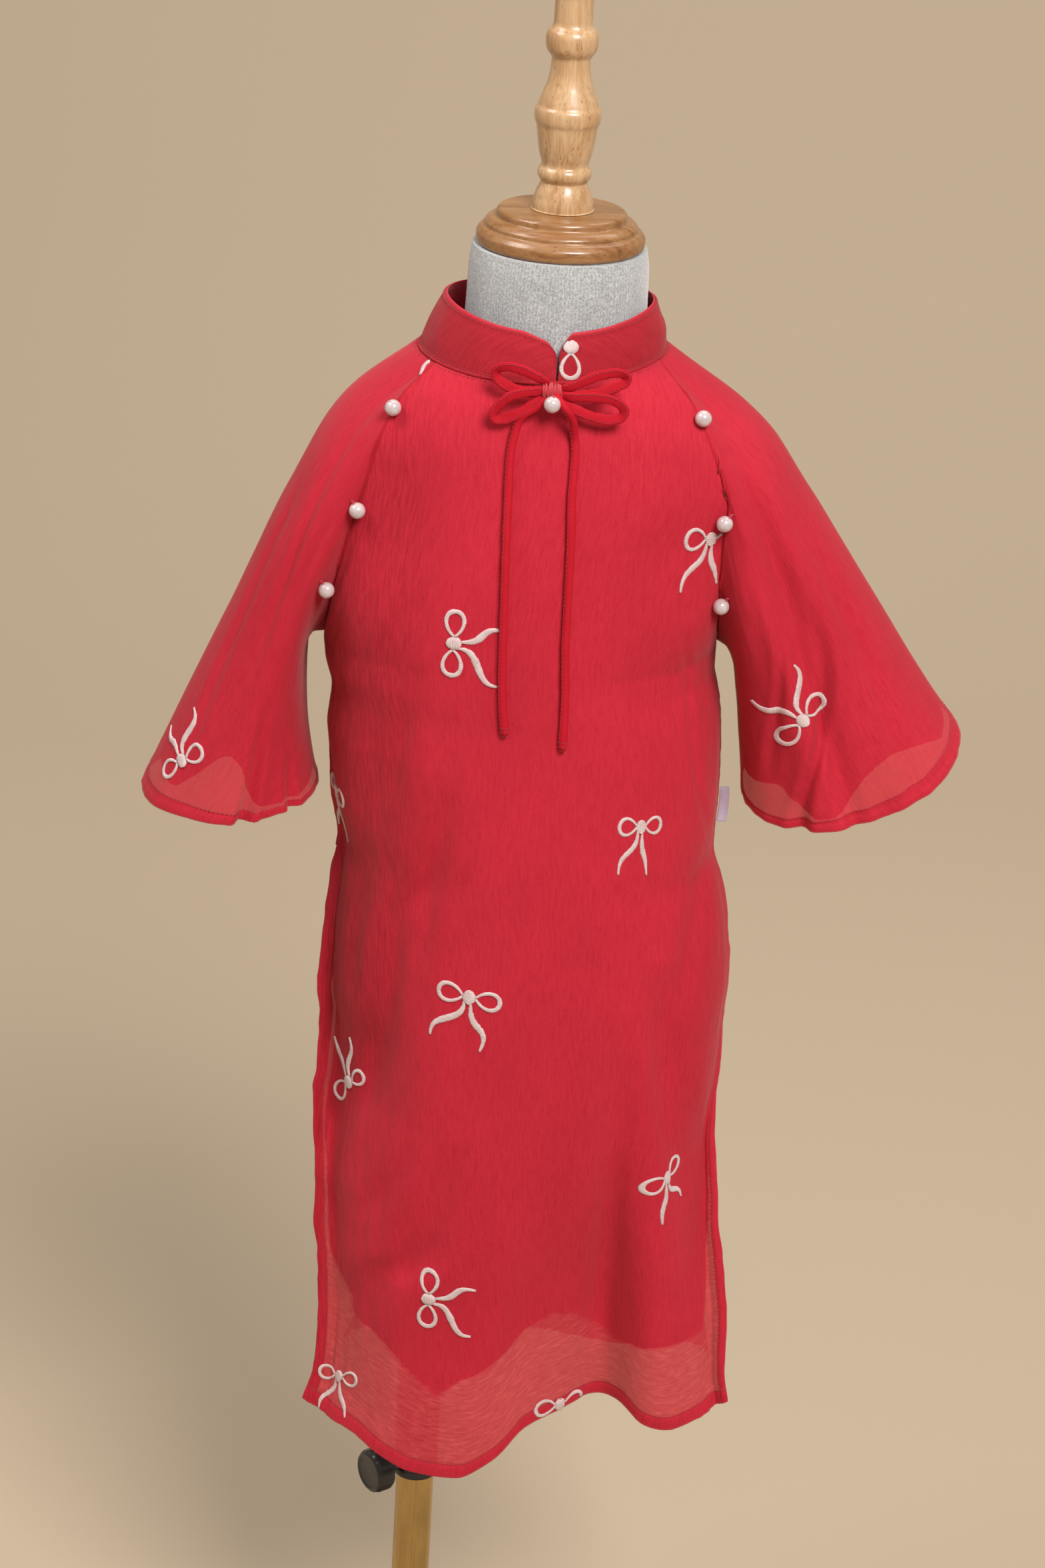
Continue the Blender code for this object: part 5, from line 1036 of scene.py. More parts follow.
# lesser folds: panel, rows of (height, x, depth, half width)
SMALL_FOLDS = (
    ("front", (0.335, -0.0900, 0.0000, 0.0080), (0.370, -0.0790, 0.0022, 0.0082), (0.396, -0.0660, 0.0036, 0.0082), (0.412, -0.0540, 0.0024, 0.0080), (0.440, -0.0400, 0.0000, 0.0080)),
    ("front", (0.655, 0.1065, 0.0000, 0.0016), (0.6620, 0.1048, 0.0008, 0.0016), (0.6901, 0.0971, 0.0011, 0.0016), (0.7372, 0.0886, 0.0011, 0.0016), (0.8202, 0.0780, 0.0008, 0.0018), (0.845, 0.0740, 0.0000, 0.0018)),
    ("front", (0.310, 0.0600, 0.0000, 0.0060), (0.340, 0.0600, 0.0018, 0.0056), (0.420, 0.0615, 0.0020, 0.0054), (0.500, 0.0600, 0.0014, 0.0060), (0.560, 0.0590, 0.0000, 0.0060)),
    ("front", (0.420, 0.1060, 0.0000, 0.0050), (0.450, 0.1000, 0.0020, 0.0050), (0.520, 0.0860, 0.0022, 0.0050), (0.600, 0.0800, 0.0000, 0.0050)),
    ("front", (0.600, -0.0560, 0.0000, 0.0050), (0.640, -0.0520, 0.0018, 0.0050), (0.700, -0.0420, 0.0016, 0.0050), (0.720, -0.0380, 0.0000, 0.0050)),
    ("front", (0.690, -0.0760, 0.0000, 0.0045), (0.710, -0.0740, 0.0014, 0.0045), (0.760, -0.0650, 0.0012, 0.0045), (0.780, -0.0620, 0.0000, 0.0045)),
    ("front", (0.4200, -0.0860, 0.0000, 0.0050), (0.4438, -0.0738, 0.0018, 0.0050), (0.472, -0.0600, 0.0016, 0.0050), (0.5000, -0.0485, 0.0000, 0.0050)),
    ("front", (0.300, 0.0120, 0.0000, 0.0100), (0.340, 0.0140, 0.0020, 0.0100), (0.420, 0.0200, 0.0016, 0.0110), (0.520, 0.0260, 0.0000, 0.0110)),
    ("front", (0.560, -0.1010, 0.0000, 0.0045), (0.590, -0.1000, 0.0018, 0.0045), (0.630, -0.0960, 0.0020, 0.0045), (0.665, -0.0900, 0.0000, 0.0050)),
    ("front", (0.560, 0.0900, 0.0000, 0.0060), (0.600, 0.0960, 0.0020, 0.0060), (0.640, 0.1000, 0.0014, 0.0050), (0.662, 0.1030, 0.0000, 0.0050)),
    ("back", (0.300, 0.0200, 0.0000, 0.0100), (0.360, 0.0180, 0.0030, 0.0100), (0.450, 0.0160, 0.0020, 0.0110), (0.560, 0.0150, 0.0000, 0.0110)),
    ("back", (0.420, -0.0850, 0.0000, 0.0070), (0.500, -0.0820, 0.0026, 0.0075), (0.600, -0.0800, 0.0018, 0.0080), (0.680, -0.0760, 0.0000, 0.0080)),
    ("back", (0.500, 0.0880, 0.0000, 0.0070), (0.580, 0.0820, 0.0026, 0.0075), (0.680, 0.0740, 0.0022, 0.0080), (0.780, 0.0680, 0.0000, 0.0080)),
)
# sleeve folds: side, rows of (share, angle, depth, half width in degrees)
SLEEVE_FOLDS = (
    (0, (0.66, 79.0, 0.0000, 4.0), (0.807, 77.0, 0.0030, 4.0), (0.903, 75.0, 0.0050, 3.6), (1.0, 76.0, 0.0070, 3.4)),
    (0, (0.80, 44.0, 0.0000, 4.0), (0.92, 42.0, 0.0030, 3.6), (1.0, 40.0, 0.0048, 3.4)),
    (0, (0.10, 140.0, 0.0000, 5.0), (0.21, 127.0, 0.0016, 5.0), (0.487, 108.0, 0.0022, 5.0), (0.80, 104.0, 0.0000, 5.0)),
    (0, (0.12, 96.0, 0.0000, 6.0), (0.30, 92.0, 0.0020, 6.0), (0.55, 88.0, 0.0000, 6.0)),
    (0, (0.30, 150.0, 0.0000, 5.0), (0.55, 142.0, 0.0020, 5.0), (0.80, 136.0, 0.0016, 5.0), (0.98, 132.0, 0.0000, 5.0)),
    (0, (0.30, 250.0, 0.0000, 6.0), (0.60, 255.0, 0.0026, 6.0), (0.90, 258.0, 0.0020, 6.0), (1.0, 260.0, 0.0010, 6.0)),
    (0, (0.10, 220.0, 0.0000, 6.0), (0.40, 226.0, 0.0024, 6.0), (0.80, 230.0, 0.0000, 6.0)),
    (1, (0.45, 126.0, 0.0000, 5.0), (0.657, 112.0, 0.0036, 4.5), (0.74, 98.0, 0.0046, 4.2), (0.85, 76.0, 0.0046, 4.0), (0.923, 67.0, 0.0046, 3.8), (1.0, 62.0, 0.0050, 3.8)),
    (1, (0.10, 130.0, 0.0000, 5.0), (0.29, 120.0, 0.0018, 5.0), (0.49, 114.0, 0.0016, 5.0), (0.70, 112.0, 0.0000, 5.0)),
    (1, (0.20, 100.0, 0.0000, 5.0), (0.45, 92.0, 0.0024, 5.0), (0.70, 60.0, 0.0018, 5.0), (0.85, 44.0, 0.0000, 5.0)),
    (1, (0.40, 145.0, 0.0000, 5.0), (0.733, 138.0, 0.0020, 5.0), (0.90, 130.0, 0.0022, 4.5), (1.0, 126.0, 0.0020, 4.5)),
    (1, (0.70, 100.0, 0.0000, 4.0), (0.90, 94.0, 0.0026, 4.0), (1.0, 92.0, 0.0038, 4.0)),
    (1, (0.12, 120.0, 0.0000, 8.0), (0.30, 114.0, 0.0042, 8.5), (0.55, 103.0, 0.0068, 9.0), (0.80, 95.0, 0.0050, 8.0), (1.0, 91.0, 0.0010, 9.0)),
    (1, (0.20, 240.0, 0.0000, 6.0), (0.60, 236.0, 0.0028, 6.0), (1.0, 232.0, 0.0020, 6.0)),
    (1, (0.35, 285.0, 0.0000, 6.0), (0.70, 288.0, 0.0026, 6.0), (1.0, 290.0, 0.0030, 5.0)),
)


DRAG_LINE = dict(z=(0.430, 0.473, 0.508, 0.560, 0.620, 0.660, 0.720), x=(-0.0960, -0.0890, -0.0730, -0.0650, -0.0600, -0.0440, -0.0400), drop=(0.0, 0.0058, 0.0072, 0.0070, 0.0064, 0.0046, 0.0))


def small_folds(panel, x, z):
    total = np.zeros(np.broadcast(x, z).shape)
    if panel == "front":
        # the cloth lies deeper beside the long drag line than over the belly
        z2 = np.clip(z, DRAG_LINE["z"][0], DRAG_LINE["z"][-1])
        away = x - smooth(DRAG_LINE["z"], DRAG_LINE["x"], z2)
        total = total + smooth(DRAG_LINE["z"], DRAG_LINE["drop"], z2) * step(0.003, -0.011, away)
    for fold in SMALL_FOLDS:
        if fold[0] != panel:
            continue
        zs, xs, depths, widths = (np.array(c) for c in zip(*fold[1:]))
        inside = (z >= zs[0]) & (z <= zs[-1])
        away = (x - smooth(zs, xs, z)) / smooth(zs, widths, z)
        depth = smooth(zs, depths, z)
        total = total + np.where(inside, depth * (np.exp(-0.5 * away**2) - 0.35 * np.exp(-0.5 * ((np.abs(away) - 1.9) / 0.8) ** 2)), 0.0)
    return total


def creases(a, z, seed, strength, period=None):
    """Height of the crepe's own creases in metres: long fine ridges that wander down the cloth."""
    drift = 0.35 * value_noise(a / 0.030, z / 0.050, seed + 3, None if period is None else max(1, round(period / 0.030)))
    scale = lambda w: w if period is None else period / max(1, round(period / w))
    per = lambda w: None if period is None else max(1, round(period / w))
    one = fbm(a / scale(0.0100) + drift, z / 0.058, seed, 2, per(0.0100))
    two = fbm(a / scale(0.0052) + drift * 1.6, z / 0.030, seed + 31, 1, per(0.0052))
    wide = value_noise(a / scale(0.040), z / 0.085, seed + 57, per(0.040))
    return strength * (0.00050 * one + 0.00024 * two) + 0.0010 * wide


def panel_surface(panel, u, level, relief=False):
    """Points and outward normals of a panel with its folds and creases; relief adds the hem's and facings' own shape."""
    u, level = np.broadcast_arrays(np.asarray(u, float), np.asarray(level, float))
    base = panel_point(panel, u, level)
    n = normals(base, False)
    low = np.clip(level, 0, 1)
    z = Z_HEM + (Z_ARM - Z_HEM) * low + 0.190 * np.clip(level - 1, 0, 1)
    a = u * HALF_ARC
    seed = 11 if panel == "front" else 47
    left = step(-0.02, -0.075, base[..., 0])
    side = step(0.55, 0.95, np.abs(u))
    strength = 0.36 + 0.80 * left + 0.35 * side if panel == "front" else 0.85 + 0.35 * side
    calm = 1 - 0.55 * step(0.86, 0.92, z)
    edge = (1 - np.abs(u)) * HALF_ARC
    hem = low * (Z_ARM - Z_HEM)
    neck = (2.0 - level) * 0.16
    fade = step(0.0, 0.006, edge) * step(0.0, 0.006, neck)
    lift = (creases(a, z, seed, strength * calm) * fade * np.where(z > 0.86, 0.7, 1.0)
            - small_folds(panel, base[..., 0], z) * step(0.0, 0.010, edge))
    # small puckers where the seams draw the cloth in
    open_side = z < np.where(base[..., 0] < 0, SLIT_TOP[0], SLIT_TOP[1])
    seam = np.where(open_side & (level < 1), 0.0, 1.0)
    pull = value_noise(z / 0.0052, a * 0 + 0.5, seed + 5) * 0.7 + 0.3 * value_noise(z / 0.0021, a * 0 + 2.5, seed + 6)
    lift = lift + seam * pull * 0.00055 * np.exp(-edge / 0.0055) * step(0.0, 0.0016, edge)
    gather = value_noise(a / 0.0062, a * 0 + 1.5, seed + 7)
    lift = lift + gather * 0.0005 * np.exp(-neck / 0.009) * step(0.0, 0.0016, neck)
    if relief:
        puff = np.where(hem < HEM_BAND, np.sqrt(np.clip(np.sin(math.pi * hem / HEM_BAND), 0, 1)), 0.0)
        tuck = 0.8 * value_noise(a / 0.0058, hem / 0.010, seed + 8) + 0.4 * value_noise(a / 0.0024, hem / 0.006, seed + 9)
        lift = lift + 0.00030 * puff + 0.00042 * tuck * np.exp(-(hem - 0.003).clip(0) / 0.0065) - 0.00038 * np.exp(-(((hem - HEM_BAND) / 0.0008) ** 2))
        tuck = 0.8 * value_noise(z / 0.0072, edge / 0.010, seed + 18) + 0.3 * value_noise(z / 0.0030, edge / 0.006, seed + 19)
        slit = np.where(open_side & (level < 1), 1.0, 0.0)
        puff = np.where(edge < SLIT_BAND, np.sqrt(np.clip(np.sin(math.pi * edge / SLIT_BAND), 0, 1)), 0.0)
        lift = lift + slit * (0.00026 * puff + 0.00036 * tuck * np.exp(-edge / 0.007) - 0.00034 * np.exp(-(((edge - SLIT_BAND) / 0.0008) ** 2)))
        # the seam's own groove
        lift = lift - seam * 0.00055 * np.exp(-edge / 0.0009)
    points = base + n * lift[..., None]
    # the free slit edges wander a little sideways
    wander = 0.0016 * value_noise(z / 0.021, a * 0 + 4.5, seed + 21) + 0.0006 * value_noise(z / 0.008, a * 0 + 6.5, seed + 22)
    run = step(0.0, 0.03, np.where(base[..., 0] < 0, SLIT_TOP[0], SLIT_TOP[1]) - z)
    points[..., 0] += np.where(level < 1, wander * np.exp(-edge / 0.014) * run, 0.0) * np.where(base[..., 0] < 0, 1.0, 0.6)
    return points, normals(points, False)


def sleeve_surface(side, angles, shares, relief=False):
    """Rows from the cuff (share 1) up to the armhole; angles run so that the normals point out."""
    name = ("left", "right")[side]
    angles, shares = np.asarray(angles, float), np.asarray(shares, float)
    grid = sleeve_point(side, angles[None, :], shares[:, None])
    n = normals(grid, True)
    round_ = (0.328, 0.375)[side]
    a = np.broadcast_to(angles[None, :] / 360.0 * round_, grid.shape[:2])
    length = 0.20 + 0.10 * (1 - np.cos(np.radians(angles)))[None, :] / 2 * 1.9
    run = shares[:, None] * length
    to_cuff = (1 - shares[:, None]) * length
    fade = step(0.0, 0.006, run)
    lift = creases(a, run, 71 + 40 * side, (0.40, 0.62)[side], round_) * fade
    total = np.zeros(grid.shape[:2])
    s2 = np.broadcast_to(shares[:, None], grid.shape[:2])
    for fold in SLEEVE_FOLDS:
        if fold[0] != side:
            continue
        ss, aa, depths, widths = (np.array(c) for c in zip(*fold[1:]))
        away = ((angles[None, :] - smooth(ss, aa, s2) + 180) % 360 - 180) / smooth(ss, widths, s2)
        inside = (s2 >= ss[0]) & (s2 <= ss[-1])
        total += np.where(inside, smooth(ss, depths, s2) * (np.exp(-0.5 * away**2) - 0.35 * np.exp(-0.5 * ((np.abs(away) - 1.9) / 0.8) ** 2)), 0.0)
    lift = lift - total * step(0.0, 0.02, run)
    pull = value_noise(a / 0.0055 / 1.0, a * 0 + 0.5, 91 + side)
    lift = lift + pull * 0.0005 * np.exp(-run / 0.006) * step(0.0, 0.0016, run)
    if relief:
        puff = np.where(to_cuff < CUFF_BAND, np.sqrt(np.clip(np.sin(math.pi * to_cuff / CUFF_BAND), 0, 1)), 0.0)
        per = max(1, round(round_ / 0.006))
        tuck = 0.8 * value_noise(a / (round_ / per), to_cuff / 0.010, 93 + side, per) + 0.4 * value_noise(a / (round_ / per / 2), to_cuff / 0.006, 95 + side, per * 2)
        lift = lift + 0.00028 * puff + 0.00040 * tuck * np.exp(-to_cuff / 0.0085) - 0.00036 * np.exp(-(((to_cuff - CUFF_BAND) / 0.0008) ** 2))
        lift = lift - 0.00055 * np.exp(-run / 0.0009)
    points = grid + n * lift[..., None]
    if shares[-1] == 0.0:
        # the sleeve's edge keeps clear of the seam line, square to it
        row, nxt = points[-1], points[-2]
        along = _unit(np.roll(row, -1, axis=0) - np.roll(row, 1, axis=0))
        away = nxt - row
        away = away - along * np.sum(away * along, axis=-1, keepdims=True)
        points[-1] = row + _unit(away) * 0.00062
    return points, normals(points, True)


def spread_levels(rows_low, rows_high, dense_rows_and_hip_shade=13, band=0.0105):
    near = np.linspace(0, band / (Z_ARM - Z_HEM), dense_rows_and_hip_shade)
    return np.concatenate([near, np.linspace(near[-1], 1.0, rows_low)[1:], np.linspace(1.0, 1.9985, rows_high)[1:]])


def spread_sides(middle, dense_rows_and_hip_shade=10, band=0.0095):
    b = band / HALF_ARC
    return np.concatenate([np.linspace(-1, -1 + b, dense_rows_and_hip_shade), np.linspace(-1 + b, 1 - b, middle)[1:-1], np.linspace(1 - b, 1, dense_rows_and_hip_shade)])


soft = {}
PANEL_GRID = {"front": (spread_sides(126), spread_levels(214, 92)), "back": (spread_sides(88)[::-1], spread_levels(150, 66))}
surfaces, pieces_of, trees = {}, {name: [] for name in ("front", "back", "left", "right", "collar")}, {}
for panel in ("front", "back"):
    us, levels = PANEL_GRID[panel]
    points, n = panel_surface(panel, us[None, :], levels[:, None], relief=True)
    surfaces[panel] = (points, n, us, levels)
    soft[panel] = shell(panel + "_panel_cloth", points, CLOTH_SHEET, front_mat if panel == "front" else cloth_mat, n=n)
    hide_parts(panel + "_panel")

SLEEVE_GRID = (np.arange(0, 360, 2.25), np.concatenate([np.linspace(1, 0.945, 13), np.linspace(0.945, 0.0, 122)[1:]]))
for side, name in ((0, "left"), (1, "right")):
    angles = SLEEVE_GRID[0][::-1] if side == 0 else SLEEVE_GRID[0]
    points, n = sleeve_surface(side, angles, SLEEVE_GRID[1], relief=True)
    surfaces[name] = (points, n, angles, SLEEVE_GRID[1])
    soft[name] = shell("sleeve_%s_cloth" % name, points, CLOTH_SHEET, cloth_mat, wrap=True, n=n)
    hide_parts("sleeve_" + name)

# ------------------------------------------------------------------ hems, facings, seam allowances
def grid_slice(name, rows, cols):
    points, n = surfaces[name][:2]
    return points[rows][:, cols], n[rows][:, cols]


for panel in ("front", "back"):
    us, levels = PANEL_GRID[panel]
    height = levels * (Z_ARM - Z_HEM)
    rows = np.nonzero(height <= HEM_BAND + 1e-4)[0]
    cols = np.arange(len(us))
    g, n = grid_slice(panel, rows, cols)
    g = g.copy()
    g[0] += (g[1] - g[0]) * 0.25
    piece = shell(panel + "_hem_fold", g, 0.00045, fold_mat, n=n, inset=CLOTH_SHEET + 0.00018)
    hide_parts(panel + "_panel")
    pieces_of[panel].append(piece)
    edge = (1 - np.abs(us)) * HALF_ARC
    for end, tag in ((-1, "left"), (1, "right")):
        top = SLIT_TOP[0 if end < 0 else 1]
        z = Z_HEM + height
        rows = np.nonzero((height > HEM_BAND + 0.0004) & (z < top) & (levels < 1))[0]
        cols = np.nonzero((edge <= SLIT_BAND + 1e-4) & (np.sign(us) == end))[0]
        g, n = grid_slice(panel, rows, cols)
        piece = shell("%s_slit_facing_%s" % (panel, tag), g, 0.00045, fold_mat, n=n, inset=CLOTH_SHEET + 0.00018)
        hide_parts(panel + "_panel")
        pieces_of[panel].append(piece)
        # seam allowance from the slit up to the neck
        rows = np.nonzero((z >= top + 0.001) | (levels >= 1))[0]
        g, n = grid_slice(panel, rows, cols)
        piece = shell("%s_seam_allowance_%s" % (panel, tag), g, 0.00040, fold_mat, n=n, inset=CLOTH_SHEET + 0.00015)
        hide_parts(panel + "_panel")
        pieces_of[panel].append(piece)

for side, name in ((0, "left"), (1, "right")):
    points, n, angles, shares = surfaces[name]
    away = lengths(points, 0)
    mean = away.mean(1)
    rows = np.nonzero(mean <= CUFF_BAND + 2e-4)[0]
    g = points[rows].copy()
    g[0] += (g[1] - g[0]) * 0.25
    piece = shell("cuff_fold_" + name, g, 0.00045, fold_mat, wrap=True, n=n[rows], inset=CLOTH_SHEET + 0.00018)
    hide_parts("sleeve_" + name)
    pieces_of[name].append(piece)
    rows = np.arange(len(shares) - 4, len(shares))
    piece = shell("armhole_allowance_" + name, points[rows], 0.00040, fold_mat, wrap=True, n=n[rows], inset=CLOTH_SHEET + 0.00015)
    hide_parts("sleeve_" + name)
    pieces_of[name].append(piece)

# ------------------------------------------------------------------ linings
LINING_EDGE = dict(   # share across, level of the lower edge
    u=(-0.730, -0.550, -0.435, -0.315, -0.260, -0.200, -0.120, -0.050, 0.040, 0.090, 0.145, 0.225, 0.300, 0.385, 0.435, 0.515, 0.645, 0.765),
    level=(0.152, 0.151, 0.140, 0.120, 0.110, 0.136, 0.140, 0.141, 0.150, 0.156, 0.145, 0.115, 0.093, 0.106, 0.115, 0.120, 0.118, 0.122))
LINING_SIDE = dict(level=(0.12, 0.168, 0.185, 0.210, 0.372, 0.50, 0.60, 0.72, 0.80, 1.0, 2.0),
                   left=(-0.730, -0.732, -0.800, -0.925, -0.940, -0.950, -0.957, -0.968, -0.985, -0.992, -0.992),
                   right=(0.765, 0.838, 0.858, 0.885, 0.955, 0.960, 0.966, 0.976, 0.988, 0.992, 0.992))


def lining_grid(panel, across, rows_low, rows_high):
    t = np.linspace(0, 1, across)
    share = np.concatenate([np.linspace(0, 1, rows_low), np.linspace(1, 2, rows_high)[1:]])
    if panel == "front":
        left0, right0 = LINING_SIDE["left"][0], LINING_SIDE["right"][0]
        bottom = smooth(LINING_EDGE["u"], LINING_EDGE["level"], left0 + (right0 - left0) * t)
        bottom = np.convolve(np.pad(bottom, 4, mode="edge"), np.hanning(11)[1:-1] / np.hanning(11)[1:-1].sum(), mode="valid")
    else:
        left0, right0 = -0.86, 0.88
        bottom = 0.128 + 0.010 * value_noise(t * 9, t * 0, 5)
    level = np.where(share[:, None] < 1, bottom[None, :] + (1.0 - bottom[None, :]) * share[:, None], np.minimum(share[:, None], 1.9960) + 0 * t[None, :])
    if panel == "front":
        left, right = smooth(LINING_SIDE["level"], LINING_SIDE["left"], level), smooth(LINING_SIDE["level"], LINING_SIDE["right"], level)
        u = left + (right - left) * t[None, :]
    else:
        widen = step(0.35, 0.78, level)
        u = (left0 + (-0.992 - left0) * widen) * (1 - t[None, :]) + (right0 + (0.992 - right0) * widen) * t[None, :]
        u, level = u[:, ::-1], level[:, ::-1]
    return u, level


for panel in ("front", "back"):
    u, level = lining_grid(panel, *((104, 84, 30) if panel == "front" else (70, 60, 26)))
    points, n = panel_surface(panel, u, level)
    soft["lining_" + panel] = shell("lining_%s_cloth" % panel, points, LINING_SHEET, lining_mat, n=n, inset=0.00165)
    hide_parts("lining_" + panel)

# how bare the front is: 1 where no lining lies behind it; it sets where the front's colour is painted paler (painted
# light through the sheer cloth) and where its puckers rise
us, levels = PANEL_GRID["front"]
u2, level2 = np.meshgrid(us, levels)
left0, right0 = LINING_SIDE["left"][0], LINING_SIDE["right"][0]
edge_of = smooth(LINING_EDGE["u"], LINING_EDGE["level"], np.clip(u2, left0, right0))
bare = (level2 < edge_of) | ((level2 < 0.36) & ((u2 < smooth(LINING_SIDE["level"], LINING_SIDE["left"], np.clip(level2, 0.12, 2.0))) | (u2 > smooth(LINING_SIDE["level"], LINING_SIDE["right"], np.clip(level2, 0.12, 2.0)))))
bare = bare & (level2 * (Z_ARM - Z_HEM) > HEM_BAND) & ((1 - np.abs(u2)) * HALF_ARC > SLIT_BAND)
values = np.zeros(len(soft["front"].data.vertices), np.float32)
values[:bare.size] = bare.ravel()
values[bare.size:2 * bare.size] = bare.ravel()
soft["front"].data.attributes.new("bare", "FLOAT", "POINT").data.foreach_set("value", values)

SLEEVE_LINING_EDGE = (
    dict(a=(0, 30, 60, 70, 79, 88, 98, 123, 135, 180, 240, 300, 360), s=(0.93, 0.962, 0.966, 0.955, 0.890, 0.862, 0.853, 0.93, 0.955, 0.93, 0.91, 0.90, 0.93)),
    dict(a=(0, 9, 44, 54, 62, 70, 80, 90, 97, 105, 121, 137, 152, 166, 220, 300, 360), s=(0.86, 0.85, 0.843, 0.850, 0.905, 0.960, 0.965, 0.955, 0.925, 0.902, 0.890, 0.905, 0.930, 0.953, 0.92, 0.89, 0.86)))
for side, name in ((0, "left"), (1, "right")):
    angles = np.arange(0, 360, 4.0)
    angles = angles[::-1] if side == 0 else angles
    table = SLEEVE_LINING_EDGE[side]
    end = smooth(table["a"], table["s"], angles)
    rows = np.linspace(1, 0.004, 66)
    columns = []
    # one surface for each column's own range of shares: sample a regular grid and read it off
    shares = np.linspace(1, 0.0, 160)
    points, n = sleeve_surface(side, angles, shares)
    want = rows[:, None] * end[None, :]
    where = (1 - want) * (len(shares) - 1)
    k = np.clip(np.floor(where).astype(int), 0, len(shares) - 2)
    f = (where - k)[..., None]
    c = np.broadcast_to(np.arange(len(angles)), k.shape)
    pts = points[k, c] * (1 - f) + points[k + 1, c] * f
    nn = _unit(n[k, c] * (1 - f) + n[k + 1, c] * f)
    soft["lining_sleeve_" + name] = shell("lining_sleeve_%s_cloth" % name, pts, LINING_SHEET, lining_mat, wrap=True, n=nn, inset=0.00165)
    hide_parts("lining_sleeve_" + name)

# ------------------------------------------------------------------ stitches
def rows_of_stitches(name, lines, body_part, pitch=0.0026, length=0.0019, width=0.00042, height=0.00030, mat=None, lift=0.00005):
    parts = []
    for points, outs in lines:
        parts += stitch_parts(points, outs, pitch, length, width, height, lift)
    if not parts:
        return None
    verts, quads = merge(parts)
    piece = mesh_object(name, verts, quads, None, mat or stitch_mat)
    if body_part:
        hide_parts(body_part)
    return piece


def surface_line(name, row=None, col=None, rows=None):
    points, n = surfaces[name][:2]
    if row is not None:
        k = int(row)
        f = row - k
        return points[k] * (1 - f) + points[k + 1] * f, _unit(n[k] * (1 - f) + n[k + 1] * f)
    k = int(col)
    f = col - k
    p = points[:, k] * (1 - f) + points[:, k + 1] * f
    q = _unit(n[:, k] * (1 - f) + n[:, k + 1] * f)
    return (p, q) if rows is None else (p[rows], q[rows])


for panel in ("front", "back"):
    us, levels = PANEL_GRID[panel]
    height = levels * (Z_ARM - Z_HEM)
    row = float(np.interp(HEM_BAND - 0.0001, height, np.arange(len(levels))))
    lines = [surface_line(panel, row=row)]
    edge = (1 - np.abs(us)) * HALF_ARC
    for end in (-1, 1):
        cols = np.arange(len(us))
        half = np.sign(us) == end
        order = np.argsort(edge[half])
        col = float(np.interp(SLIT_BAND - 0.0001, edge[half][order], cols[half][order]))
        top = SLIT_TOP[0 if end < 0 else 1]
        rows = np.nonzero((height > HEM_BAND) & (Z_HEM + height < top - 0.002))[0]
        lines.append(surface_line(panel, col=col, rows=rows))
    piece = rows_of_stitches(panel + "_hem_stitches", lines, panel + "_panel")
    pieces_of[panel].append(piece)

for side, name in ((0, "left"), (1, "right")):
    points, n, angles, shares = surfaces[name]
    mean = lengths(points, 0).mean(1)
    row = float(np.interp(CUFF_BAND - 0.0001, mean, np.arange(len(shares))))
    p, q = surface_line(name, row=row)
    p, q = np.concatenate([p, p[:1]]), np.concatenate([q, q[:1]])
    pieces_of[name].append(rows_of_stitches("cuff_stitches_" + name, [(p, q)], "sleeve_" + name))


# ------------------------------------------------------------------ collar
OPEN_LOW = math.degrees(math.asin((COLLAR_OPENING_X - NECK_CENTRE_X) / NECK_HALF_WIDTH))
OPEN_TOP = math.degrees(math.asin((COLLAR_OPENING_X - COLLAR_CENTRE_X) / COLLAR_HALF_WIDTH))
COLLAR_GAP = math.degrees(0.0005 / NECK_FRONT)


def collar_surface(lift, drop_by=0.0, wobble=0.0):
    ends = 0.03 * np.linspace(0, 1, 17) ** 1.5
    t = np.concatenate([ends, np.linspace(0.03, 0.97, 200)[1:-1], 1 - ends[::-1]])
    low, high = OPEN_LOW + COLLAR_GAP + t * (360 - 2 * COLLAR_GAP), OPEN_TOP + COLLAR_GAP + t * (360 - 2 * COLLAR_GAP)
    bottom, top = neck_seam(low), collar_top(high)
    bottom[:, 2] += 0.0004
    away = np.minimum(t, 1 - t) * 2 * math.pi * 0.055
    drop = np.where(away < COLLAR_CORNER, COLLAR_CORNER * (1 - np.sqrt(np.clip(1 - (1 - away / COLLAR_CORNER) ** 2, 0, 1))), 0.0)
    top[:, 2] += lift - drop
    # the front edge slopes away towards the opening, more so on the wearer's right
    left_end, right_end = (1 - t) * 2 * math.pi * 0.055, t * 2 * math.pi * 0.055
    top[:, 2] -= 0.0066 * np.clip(1 - left_end / 0.0190, 0, 1) ** 1.3 + 0.0045 * np.clip(1 - right_end / 0.0070, 0, 1) ** 1.4
    rows = []
    heights = np.concatenate([[0, 0.02, 0.05], np.linspace(0.09, 0.90, 15), [0.935, 0.965, 0.985, 1.0]])
    for h in heights:
        p = bottom + (top - bottom) * h
        out = p - np.array([COLLAR_CENTRE_X, 0, 0])
        out[:, 2] = 0
        out = _unit(out)
        wave = 0.00055 * value_noise(t * 26, t * 0 + h * 2.5, 201) + 0.00022 * value_noise(t * 75, t * 0 + h * 4.0, 203)
        edge = 0.00025 * math.exp(-((h - 0.90) / 0.030) ** 2) + 0.00025 * math.exp(-((h - 0.06) / 0.030) ** 2)
        rows.append(p + out * (0.0012 * math.sin(math.pi * h) + (wave * math.sin(math.pi * min(max(h, 0.08), 0.92)) - edge) * wobble)[:, None])
    return np.stack(rows), t


